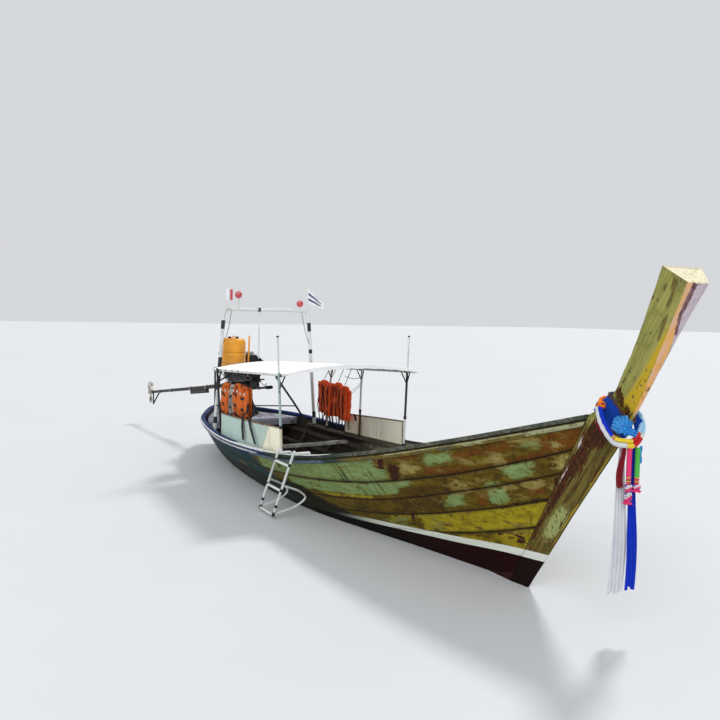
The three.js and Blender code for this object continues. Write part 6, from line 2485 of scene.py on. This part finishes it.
    def swivel(self) -> None:
        """Adds bolts to the yoke and the stand."""
        build = Builder("yoke bolts", "swivel", 40)
        base = Matrix.Translation((self.pivot[0], 0, 0.9)) @ Matrix.Rotation(math.radians(self.yaw), 4, "Z")
        for a in turns(6):
            p = base @ v(0.088 * math.cos(a + 0.5), 0.088 * math.sin(a + 0.5), 0.0204)
            build.lathe(BOLT, p, UP, self.steel, 6)
        pin = ((0.034, 0), (0.034, 0.006), (0.02, 0.008), (0.02, 0.022), (0.012, 0.024))
        for y in (-1, 1):
            build.lathe(pin, base @ v(0, y * 0.1575, 0.15), base.to_3x3() @ v(0, y, 0), self.steel, 20)
        build.build()
        build = Builder("stand bolts")
        for sx in (-1, 1):
            for sy in (-1, 1):
                p = v(self.pivot[0] + sx * 0.21, sy * 0.23, 0.5755)
                build.block(p - v(0.055, 0.055, 0), p + v(0.055, 0.055, 0.008), self.steel, 0.002)
                bolt = ((0.009, 0), (0.009, 0.007), (0.005, 0.009))
                for d in (-0.042, 0.042):
                    build.lathe(bolt, p + v(d, d, 0.008), UP, self.rust, 6)
        build.build()

    def propeller(self) -> None:
        """Builds the two-bladed propeller."""
        build = Builder("propeller blades", "propeller", 45)
        middle = -3620.3
        hub = ((0.02, 0.0), (0.034, 0.01), (0.038, 0.03), (0.038, 0.1), (0.034, 0.119))
        self.turned(build, hub, (-3680, 0, 0), FORE, self.blade, 32)
        nut = ((0.006, 0), (0.014, 0.004), (0.014, 0.014), (0.018, 0.016))
        self.turned(build, nut, (-3692, 0, 0), FORE, self.brass)
        for turn in (1, -1):
            rows = []
            for t in shares(16):
                chord = 92 * (0.62 + 0.72 * math.sin(math.pi * min(t * 0.78 + 0.1, 1.0)))
                chord *= math.sqrt(clamp(1.0 - t ** 5, 0.03))
                twist, thick = math.radians(mix(56, 28, t)), mix(9.0, 2.2, t)
                ring = []
                for a in turns(16):
                    along = chord * (0.5 * math.cos(a) + 0.1 * t)
                    off = 0.5 * thick * math.sin(a) + 0.03 * chord * math.sin(a) ** 2
                    x = middle + along * math.sin(twist) + off * math.cos(twist)
                    y = along * math.cos(twist) - off * math.sin(twist)
                    ring.append(self.at(x, y * turn, mix(30, 211, t) * turn))
                rows.append(ring)
            build.grid(rows, self.blade)
        build.build(["propeller"], "propeller_metal")

    def build(self) -> None:
        """Dresses the engine, the tail, the swivel and the propeller."""
        for name in ("engine_block", "tail_tube", "swivel_yoke", "engine_stand", "tiller_handle"):
            dress(self.nodes[name], self.iron, 35)
        dress(self.nodes["exhaust_pipe"], self.rust, 35)
        castings = Builder("engine castings", "engine", 40)
        self.block(castings)
        self.drive(castings)
        self.fittings(castings)
        castings.build()
        self.tail()
        self.handle()
        self.swivel()
        self.propeller()


# Prow dressing


@dataclass
class Dressing:
    """Cloth, garlands and ribbons at the prow."""

    blue: Finish
    royal: Finish
    gauze: Finish
    white: Finish
    red: Finish
    maroon: Finish
    yellow: Finish
    pale: Finish
    pink: Finish
    green: Finish
    purple: Finish
    gold: Finish
    orange: Finish
    rope: Finish
    post: ProwPost

    def hoop(self, aft_z: float, fore_z: float, offset: float, seed: float = 0.0) -> list[Vector]:
        """Places a loop of cloth round the post.

        Args:
            aft_z: Height at its aft side.
            fore_z: Height at its fore side.
            offset: Distance off the timber.
            seed: Moves the folds.

        Returns:
            Points round the post.
        """
        ax, ah = self.post.corner(aft_z)[:2]
        fx, fh = self.post.corner(fore_z)[2:]
        mid_z, mid_x = (aft_z + fore_z) / 2, (ax + fx) / 2
        aft, fore = ah + offset * 0.7, fh + offset * 0.7
        half, nose = (ah + fh) / 2 + offset * 1.2, fx + offset * 0.6
        corners = [v(ax - offset, 0, aft_z), v(ax - offset, -aft, aft_z), v(mid_x, -half, mid_z),
                   v(nose, -fore, fore_z), v(fx + offset, 0, fore_z), v(nose, fore, fore_z),
                   v(mid_x, half, mid_z), v(ax - offset, aft, aft_z)]
        points = []
        for a, b in zip(corners, corners[1:] + corners[:1]):
            for k in range(8):
                p = a.lerp(b, k / 8)
                out = (p - v(mid_x, 0, p.z)).normalized()
                points.append(p + out * wobble(p + v(seed, 0, 0), 24.0, 0.004))
        return points

    def wrap(self) -> None:
        """Builds the folded cloth round the post and its rope."""
        build = Builder("prow cloth", angle=60)
        rows = []
        for t in shares(22):
            fold = 0.0045 * math.sin(t * 31) + 0.003 * math.sin(t * 13 + 1)
            offset = 0.0145 + fold - 0.004 * (abs(t - 0.5) * 2) ** 3
            rows.append(self.hoop(mix(1.533, 1.672, t), mix(1.355, 1.475, t), offset, t * 0.4))
        build.grid(rows, self.blue, caps=False)
        lining = [[p.lerp(v(3.93, 0, p.z), 0.03) for p in reversed(rows[k])] for k in (0, 11, 22)]
        build.grid(lining, self.blue, caps=False)
        for k in range(3):
            line = self.hoop(1.655 + 0.01 * k, 1.458 + 0.01 * k, 0.012 + 0.004 * k, 9.0 + k)
            build.pipe(line, 0.0034, self.rope, 8, True)
        build.build(["prow_wrap"], "wrap_cloth")

    def knot(self) -> None:
        """Builds the gauze knot, its loose end and the blue flap beside it."""
        build = Builder("gauze knot", angle=70)
        middle, along, out = v(4.056, -0.079, 1.438), v(0.8, 0.6, 0.0), v(0.55, -0.83, 0.0)
        leaves = ((168, 0.09, 0.07), (132, 0.098, 0.06), (98, 0.088, 0.055), (62, 0.066, 0.05),
                  (-22, 0.084, 0.052), (-70, 0.052, 0.044), (-160, 0.066, 0.046))
        for n, (angle, length, width) in enumerate(leaves):
            a = math.radians(angle)
            ahead = along * math.cos(a) + v(0, 0, math.sin(a))
            across = along * -math.sin(a) + v(0, 0, math.cos(a))
            rows = []
            for t in shares(12):
                wide = width * (0.25 + 0.75 * math.sin(math.pi * min(1.0, 0.12 + 0.62 * t)))
                row = []
                for c in (share - 0.5 for share in shares(14)):
                    fold = 0.014 * math.sin(17 * c + 2.3 * n + 2 * t) * t
                    fold += 0.026 * math.sin(math.pi * t) + 0.0012 * n
                    row.append(middle + ahead * (length * t) + across * (c * wide) + out * fold)
                rows.append(row)
            build.leaf(rows, self.gauze, out * 0.0008, out * -0.0008)
        bead = ((0.001, -0.014), (0.013, -0.009), (0.017, 0.0), (0.013, 0.009), (0.001, 0.014))
        build.lathe(bead, middle + out * 0.016, along, self.gauze, 14)
        section = ((-0.002, -0.012), (0.002, -0.012), (0.006, 0), (0.002, 0.012), (-0.002, 0.012),
                   (0.003, 0))
        strand = [v(4.03 + 0.004 * math.sin(k), 0.118, mix(1.3, 1.175, k / 10)) for k in range(11)]
        build.grid([[p + v(dx, dy, 0) for dx, dy in section] for p in strand], self.gauze)
        flap = []
        for t in shares(8):
            top = v(3.985, 0.088, 1.545).lerp(v(4.04, 0.11, 1.478), t)
            foot = v(4.02, 0.06, 1.395).lerp(v(4.056, 0.1, 1.4), t)
            flap.append([top.lerp(foot, k / 8)
                         + v(0.006 * math.sin(9 * t + k), 0.004 * math.sin(7 * t + 0.6 * k), 0)
                         for k in range(9)])
        build.leaf(flap, self.blue, v(0, 0, 0), v(-0.0012, -0.0008, 0))
        build.build()

    def loop(self, scale: float, lift: float) -> list[Vector]:
        """Places the centre line of a garland ring.

        Args:
            scale: Size against the full ring.
            lift: Height above it.

        Returns:
            Points round the post, four for each corner of the ring's outline.
        """
        aft_x, centre_x, reach_x, reach_y = 3.825, 3.975, 0.134, 0.172
        aft = ((0, 0), (0, 0.06), (0.008, 0.104), (0.026, 0.128), (0.058, 0.15), (0.096, 0.164))
        half = [(aft_x + dx, y) for dx, y in aft]
        half += [(centre_x + reach_x * math.cos(a), reach_y * math.sin(a))
                 for a in (math.pi / 2 * (1 - k / 12) for k in range(13))]
        points = []
        for x, y in half + [(x, -y) for x, y in reversed(half[1:-1])]:
            t = (x - aft_x) / (centre_x + reach_x - aft_x)
            sag = 0.058 * smoothstep(0.0, 0.16, -y) * math.sin(math.pi * clamp(t)) ** 0.8
            z = mix(1.595, 1.33, t) + 0.2 * max(0.0, y) - sag
            shift = -0.062 * smoothstep(3.98, 4.11, x)
            points.append(v(mix(centre_x, x, scale), y * scale + shift, z + lift))
        count = len(points)
        return [curve([points[(i + k) % count] for k in (-1, 0, 1, 2)], step / 4)
                for i in range(count) for step in range(4)]

    def garland(self) -> None:
        """Builds the two twisted rings of coloured cloth, the roll below them and the flower."""
        build = Builder("garland rings", angle=60)
        outer = ((0.0, self.maroon), (0.1, self.pale), (0.34, self.white), (0.38, self.red),
                 (0.505, self.yellow), (0.575, self.white), (0.93, self.maroon))
        inner = ((0.0, self.red), (0.1, self.pale), (0.37, self.red), (0.505, self.yellow), (0.7, self.pink),
                 (0.713, self.white), (0.726, self.gold), (0.74, self.royal), (0.93, self.orange))
        self.ring(build, self.loop(0.985, -0.004), 0.0165, outer)
        self.ring(build, self.loop(0.9, 0.026), 0.0155, inner)
        path = bend([v(3.842, -0.075, 1.52), v(3.858, -0.14, 1.47), v(3.9, -0.135, 1.395),
                     v(3.93, -0.1, 1.365)], 0.06)
        build.pipe(path, [0.0125 + 0.002 * math.sin(2.1 * k) for k in range(len(path))], self.maroon, 12)
        rnd = random.Random(5)
        centre = v(3.872, -0.108, 1.578)
        for _ in range(36):
            d = v(rnd.gauss(0, 1), rnd.gauss(0, 1), rnd.gauss(0, 1)).normalized()
            build.lathe(((0.001, 0), (0.012, 0.006), (0.001, 0.013)), centre + d * 0.018, d, self.orange, 7)
        build.build(["prow_garland"], "garland_cloth")

    def ring(self, build: Builder, loop: Sequence[Vector], radius: float,
             parts: Sequence[tuple[float, Finish]]) -> None:
        """Adds a rope of coloured stretches.

        Args:
            build: Where it goes.
            loop: Its centre line.
            radius: Its radius.
            parts: Where each colour starts, as a share of the loop, and its finish.
        """
        closed = [*loop, loop[0]]
        ends = [start for start, _ in parts[1:]] + [1.0]
        for (start, material), end in zip(parts, ends):
            path = closed[int(start * len(loop)):int(end * len(loop)) + 1]
            radii = [radius * (1 + 0.1 * math.sin(k * 1.9)) for k in range(len(path))]
            build.pipe(path, radii, material, 14)
            build.pipe([path[0], path[0].lerp(path[1], 0.7)], radius * 1.12, self.gold, 14)

    def ribbon(self, name: str, x: float, y: float, width: float, top: float, bottom: float,
               material: Finish, pleats: int, lean: float, replaces: Sequence[str], slot: str) -> None:
        """Builds a hanging pleated cloth.

        Args:
            name: Its name.
            x: Place along the boat.
            y: Place across.
            width: Width at its foot.
            top: Height of its top.
            bottom: Height of its foot.
            material: Its finish.
            pleats: Folds across it.
            lean: How far its top stands to port of its foot.
            replaces: Frame nodes it stands for.
            slot: Material slot it follows.
        """
        build = Builder(name, angle=70)
        rows = []
        for t in shares(60):
            flare = 0.34 + 0.66 * smoothstep(0.0, 0.75, t)
            sway = 0.01 * math.sin(t * 5.5 + pleats)
            middle = y + 0.3 * sway + lean * (1 - t) ** 2
            row = []
            for share in shares(pleats * 8):
                c = share - 0.5
                fold = math.sin(TURN * pleats * share + 0.8 * math.sin(4 * t)) * 0.01 * (0.45 + 0.55 * flare)
                hem = 0.012 * math.sin(9 * c + pleats) * t
                row.append(v(x + sway + fold + 0.015 * c, middle + c * width * flare,
                             mix(top, bottom, t) + hem))
            rows.append(row)
        build.leaf(rows, material, v(0, 0, 0), v(-0.0012, 0, 0))
        build.pipe([v(x, y + lean, top - 0.03), v(x, y + lean, top + 0.014)], [0.016, 0.009], material, 12)
        obj = build.build(replaces, slot)
        drop = top - bottom
        width * 1.30

    def tassel(self, name: str, x: float, y: float, top: float, bottom: float, material: Finish,
               tuft: bool, replaces: Sequence[str] = (), slot: str | None = None) -> None:
        """Builds a flower garland with beads and a tuft.

        Args:
            name: Its name.
            x: Place along the boat.
            y: Place across.
            top: Height of its top.
            bottom: Height of its foot.
            material: Cloth of its upper roll.
            tuft: Whether a tuft ends it.
            replaces: Frame nodes it stands for.
            slot: Material slot it follows.
        """
        build = Builder(name, angle=60)
        middle = mix(top, bottom, 0.66)
        path = [v(x, y, mix(top, middle, t)) for t in shares(26)]
        build.pipe(path, [0.016 + 0.0022 * (k % 2) for k in range(len(path))], material, 14)
        bead = ((0.006, -0.007), (0.018, -0.003), (0.018, 0.003), (0.006, 0.007))
        for k in range(4):
            build.lathe(bead, v(x, y, middle - 0.004 - 0.013 * k), UP, self.pink if k % 2 else self.gold, 14)
        self.flowers(build, x, y, middle - 0.052, bottom, tuft)
        build.build(replaces, slot)

    def flowers(self, build: Builder, x: float, y: float, top: float, bottom: float, tuft: bool) -> None:
        """Adds threaded flowers and the tuft below them.

        Args:
            build: Where they go.
            x: Place along the boat.
            y: Place across.
            top: Height of their top.
            bottom: Height of their foot.
            tuft: Whether a tuft ends them.
        """
        rnd = random.Random(int(1000 * (x + top)))
        build.pipe([v(x, y, top + 0.003), v(x, y, bottom + (0.02 if tuft else 0.0))], 0.004, self.white, 8)
        colours = (self.white, self.pink, self.purple, self.white, self.pink)
        petals = ((0.001, 0), (0.0085, 0.005), (0.006, 0.01), (0.001, 0.011))
        for k, t in enumerate(shares(43)):
            z = mix(top - 0.004, bottom + (0.026 if tuft else 0.004), t)
            a, spread = 2.4 * k, 0.013 + 0.005 * math.sin(k * 0.9)
            p = v(x + spread * math.cos(a), y + spread * math.sin(a), z + rnd.uniform(-0.003, 0.003))
            d = v(math.cos(a), math.sin(a), rnd.uniform(-0.3, 0.3)).normalized()
            build.lathe(petals, p, d, colours[k % 5], 7)
        for a in turns(22) if tuft else ():
            end = v(x + 0.03 * math.cos(a), y + 0.03 * math.sin(a), bottom + rnd.uniform(0.0, 0.008))
            build.pipe([v(x, y, bottom + 0.034), end], [0.003, 0.0045], self.pink, 5)

    def build(self) -> None:
        """Builds the whole dressing."""
        self.wrap()
        self.knot()
        self.garland()
        for name, x, y, width, top, bottom, material, pleats, lean in (
                ("white ribbon", 4.048, -0.108, 0.132, 1.33, 0.302, self.white, 4, 0.03),
                ("blue ribbon", 4.084, -0.012, 0.086, 1.306, 0.332, self.royal, 3, 0.0),
                ("maroon strip", 4.072, -0.128, 0.05, 1.352, 1.047, self.maroon, 1, 0.014)):
            colour = name.split()[0]
            self.ribbon(name, x, y, width, top, bottom, material, pleats, lean,
                        [f"prow_ribbon_{colour}"], f"{colour}_cloth")
        self.tassel("pink garland", 4.095, -0.077, 1.314, 1.012, self.pink, False, ["prow_tassel"],
                    "pink_cloth")
        self.tassel("green garland", 4.118, -0.022, 1.312, 1.01, self.green, True)
        foot = Builder("pink garland foot", angle=60)
        self.flowers(foot, 4.095, -0.077, 1.009, 0.925, True)
        foot.build()


# Studio


@dataclass
class Studio:
    """Pale floor at the water line, soft light and the camera at the photograph's angle."""

    camera_at: tuple[float, float, float] = (7.339, -4.066, 2.159)
    azimuth: float = 59.969
    down: float = 3.413
    roll: float = 1.047
    lens: float = 35.917
    sensor: float = 36.0
    sight: float = 500.0
    floor_size: float = 160.0
    suns: tuple[tuple[str, tuple[float, float, float], float, float], ...] = (
        ("key", (40, 0, -150), 1.9, 9.0), ("fill", (58, 0, 42), 1.35, 50.0),
    )
    sky: Colour = (0.93, 0.95, 0.98)
    sky_power: float = 0.72

    def floor(self) -> None:
        """Lays the floor at z = 0."""
        s = self.floor_size
        mesh = bpy.data.meshes.new("floor")
        mesh.from_pydata([(-s, -s, 0), (s, -s, 0), (s, s, 0), (-s, s, 0)], [], [(0, 1, 2, 3)])
        obj = bpy.data.objects.new("floor", mesh)
        bpy.context.scene.collection.objects.link(obj)
        w = Weave("floor")
        w.colour = w.noise(0.4, 3.0, rough=0.55).tone(0.3, 0.7, (0.6, 0.61, 0.62), (0.58, 0.59, 0.605))
        mesh.materials.append(w.finish(0.7))

    def light(self) -> None:
        """Sets the sun, the fill light and the sky."""
        for name, turn, power, angle in self.suns:
            lamp = bpy.data.lights.new(name, "SUN")
            lamp.energy = power
            lamp.angle = math.radians(angle)
            obj = bpy.data.objects.new(name, lamp)
            obj.rotation_euler = [math.radians(c) for c in turn]
            bpy.context.scene.collection.objects.link(obj)
        world = bpy.data.worlds.new("sky")
        world.use_nodes = True
        back = world.node_tree.nodes["Background"]
        back.inputs[0].default_value = (*self.sky, 1)
        back.inputs[1].default_value = self.sky_power
        bpy.context.scene.world = world
        bpy.context.scene.view_settings.view_transform = "Standard"

    def camera(self) -> None:
        """Places the camera where the photograph was taken from."""
        a, p, r = (math.radians(c) for c in (self.azimuth, self.down, self.roll))
        ahead = v(-math.sin(a) * math.cos(p), math.cos(a) * math.cos(p), -math.sin(p))
        right = v(math.cos(a), math.sin(a), 0)
        up = right.cross(ahead)
        rolled_right = right * math.cos(r) + up * math.sin(r)
        rolled_up = up * math.cos(r) - right * math.sin(r)
        data = bpy.data.cameras.new("camera")
        data.lens = self.lens
        data.sensor_width = self.sensor
        data.sensor_fit = "HORIZONTAL"
        data.clip_end = self.sight
        data.dof.use_dof = False
        obj = bpy.data.objects.new("camera", data)
        turn = Matrix((rolled_right, rolled_up, -ahead)).transposed().to_4x4()
        obj.matrix_world = Matrix.Translation(self.camera_at) @ turn
        bpy.context.scene.collection.objects.link(obj)
        bpy.context.scene.camera = obj

    def build(self) -> None:
        """Builds the studio."""
        self.floor()
        self.light()
        self.camera()


KNOWN = ("hull paint", "post paint", "rail paint", "oiled", "bench", "floor board", "grey deck", "navy",
         "bottom", "white tube", "dark steel", "oily", "heat", "aged")


def dress_plain(nodes: Nodes, fallback: Finish) -> None:
    """Gives every frame node that is still bare a finish of its own.

    Args:
        nodes: The frame's nodes.
        fallback: The finish.
    """
    for name, obj in nodes.items():
        if not any(m and m.name.startswith(KNOWN) for m in obj.data.materials):
            dress(obj, fallback)
            LOG.info("plain finish on %s", name)


def build_hull(nodes: Nodes, iron: Finish) -> ProwPost:
    """Builds the planking, the rails, the prow post, the inside and the screens.

    Args:
        nodes: The frame's nodes.
        iron: Finish of the planking's metal.

    Returns:
        The prow post.
    """
    Planking(HullPaint().material(), iron).build()
    LOG.info("planking built")
    Rails(RailPaint().material()).build()
    post = ProwPost(PostPaint().material())
    post.build()
    Inside(
        nodes,
        Timber("oiled inner wood", (0.062, 0.057, 0.04), (0.12, 0.104, 0.072)).material(),
        Timber("bench paint", (0.42, 0.43, 0.41), (0.16, 0.135, 0.1), 0.56).material(),
        Timber("floor board paint", (0.07, 0.064, 0.048), (0.04, 0.032, 0.022), 0.5).material(),
        Timber("grey deck paint", (0.19, 0.195, 0.165), (0.24, 0.205, 0.145), 0.52).material(),
        Timber("navy deck paint", (0.33, 0.34, 0.4), (0.085, 0.08, 0.085), 0.54).material(),
        Timber("bottom timber paint", (0.03, 0.008, 0.007), (0.06, 0.03, 0.02), 0.6).material(),
    ).build()
    # The port screen takes a brighter copy of the sheet: painted light on its shaded inboard face.
    screens = {Side.STARBOARD: Screen().material(),
               Side.PORT: Screen("screen sheet bright", (0.95, 0.93, 0.76)).material()}
    Screens(screens, PaintedSteel("dark steel batten", (0.2, 0.15, 0.1), 0.55, 0.5).material()).build()
    return post


def build_cover(nodes: Nodes, tube: Finish, dark: Finish) -> None:
    """Builds the canopy, the arch, the life vests and the ladder.

    Args:
        nodes: The frame's nodes.
        tube: Finish of the white tubes.
        dark: Finish of the dark fittings.
    """
    cream_tube = PaintedSteel("white tube cream", (0.64, 0.6, 0.44), 0.63, 0.4).material()
    blue_tube = PaintedSteel("white tube worn blue", (0.34, 0.43, 0.42), 0.6, 0.4).material()
    rusty_tube = PaintedSteel("white tube rusty", (0.11, 0.06, 0.028), 0.55, 0.5).material()
    cord = Cloth("pale cord", (0.52, 0.48, 0.36), (0.3, 0.26, 0.18)).material()
    cloth = Cloth("canopy cloth", (0.96, 0.965, 0.97), (0.9, 0.905, 0.89), 0.5, 0.62, 900, 0.0006).material()
    Canopy(nodes, cloth, cream_tube, blue_tube, dark, cord, tube, rusty_tube).build()
    Arch(
        nodes, tube, dark,
        Plastic("red lens", (0.52, 0.022, 0.038), 0.16, 0.1, 0.6).material(),
        Plastic("white lamp rim", (0.66, 0.64, 0.64), 0.3).material(),
        Plastic("can plastic", (0.83, 0.34, 0.01), 0.3, 0.18, 0.25).material(),
        Plastic("dark red cap", (0.2, 0.022, 0.02), 0.35).material(),
        Cloth("flag cloth", (0.78, 0.79, 0.81), (0.6, 0.61, 0.64)).material(),
        Cloth("flag stripe", (0.03, 0.045, 0.13), (0.06, 0.08, 0.16)).material(),
        cord,
    ).build()
    Vests(
        Cloth("vest orange", (0.6, 0.13, 0.024), (0.2, 0.042, 0.014), 0.9).material(),
        # Brighter copy of the vest orange, painted light for the port group.
        Cloth("vest bright orange", (0.98, 0.15, 0.045), (0.84, 0.062, 0.018), 0.7).material(),
        Cloth("vest faded", (0.4, 0.38, 0.35), (0.06, 0.03, 0.024), 0.8).material(),
        Cloth("black webbing", (0.014, 0.014, 0.016), (0.03, 0.03, 0.034), 0.4, 0.7).material(),
        Plastic("silver patch", (0.56, 0.58, 0.6), 0.25).material(),
    ).build()
    Ladder(nodes, tube, dark).build()


def build_engine(nodes: Nodes, iron: Finish) -> None:
    """Builds the engine with its tail and propeller.

    Args:
        nodes: The frame's nodes.
        iron: Finish of its castings.
    """
    Engine(
        nodes, iron,
        BareMetal("aged steel", (0.33, 0.34, 0.35), (0.12, 0.085, 0.06), 0.36).material(),
        PaintedSteel("aged pale casting", (0.33, 0.35, 0.36), 0.7, 0.4).material(),
        Plastic("black rubber", (0.018, 0.018, 0.02), 0.62, 0.2, 0.0).material(),
        BareMetal("heat stained steel", (0.11, 0.075, 0.055), (0.06, 0.026, 0.014), 0.5, 0.7).material(),
        BareMetal("aged brass", (0.56, 0.39, 0.15), (0.2, 0.12, 0.05), 0.3).material(),
        BareMetal("aged blade metal", (0.42, 0.4, 0.36), (0.18, 0.16, 0.13), 0.34).material(),
    ).build()


PROW_CLOTHS = {
    "blue": ((0.006, 0.052, 0.36), (0.005, 0.036, 0.23)),
    "royal": ((0.006, 0.03, 0.48), (0.006, 0.04, 0.33)),
    "gauze": ((0.03, 0.25, 0.64), (0.2, 0.54, 0.82)), "white": ((0.62, 0.63, 0.66), (0.42, 0.44, 0.49)),
    "red": ((0.56, 0.02, 0.024), (0.36, 0.016, 0.02)), "maroon": ((0.18, 0.01, 0.016), (0.11, 0.01, 0.014)),
    "yellow": ((0.78, 0.6, 0.05), (0.64, 0.46, 0.04)), "pale": ((0.32, 0.54, 0.74), (0.22, 0.42, 0.64)),
    "pink": ((0.74, 0.05, 0.17), (0.52, 0.03, 0.12)), "green": ((0.08, 0.44, 0.07), (0.05, 0.3, 0.05)),
    "purple": ((0.22, 0.09, 0.44), (0.14, 0.06, 0.32)), "gold": ((0.62, 0.4, 0.08), (0.44, 0.26, 0.05)),
    "orange": ((0.78, 0.17, 0.02), (0.56, 0.11, 0.02)), "rope": ((0.1, 0.048, 0.016), (0.17, 0.09, 0.034)),
}


def main() -> None:
    """Builds the whole scene in order."""
    logging.basicConfig(level=logging.INFO, format="%(message)s")
    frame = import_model()
    nodes = frame["nodes"]
    iron = BareMetal("oily iron", (0.02, 0.021, 0.023), (0.05, 0.042, 0.034), 0.34, 0.55).material()
    dark = PaintedSteel("dark steel", (0.03, 0.032, 0.035), 0.68, 0.42, 0.2).material()
    tube = PaintedSteel("white tube", (0.64, 0.67, 0.65), 0.665, 0.34).material()
    post = build_hull(nodes, iron)
    build_cover(nodes, tube, dark)
    build_engine(nodes, iron)
    cloths = [Cloth(f"{name} cloth", *colours).material() for name, colours in PROW_CLOTHS.items()]
    Dressing(*cloths, post).build()
    LOG.info("dressing built")
    dress_plain({n: o for n, o in nodes.items() if not o.hide_render}, dark)
    Studio().build()


if __name__ == "__main__":
    main()
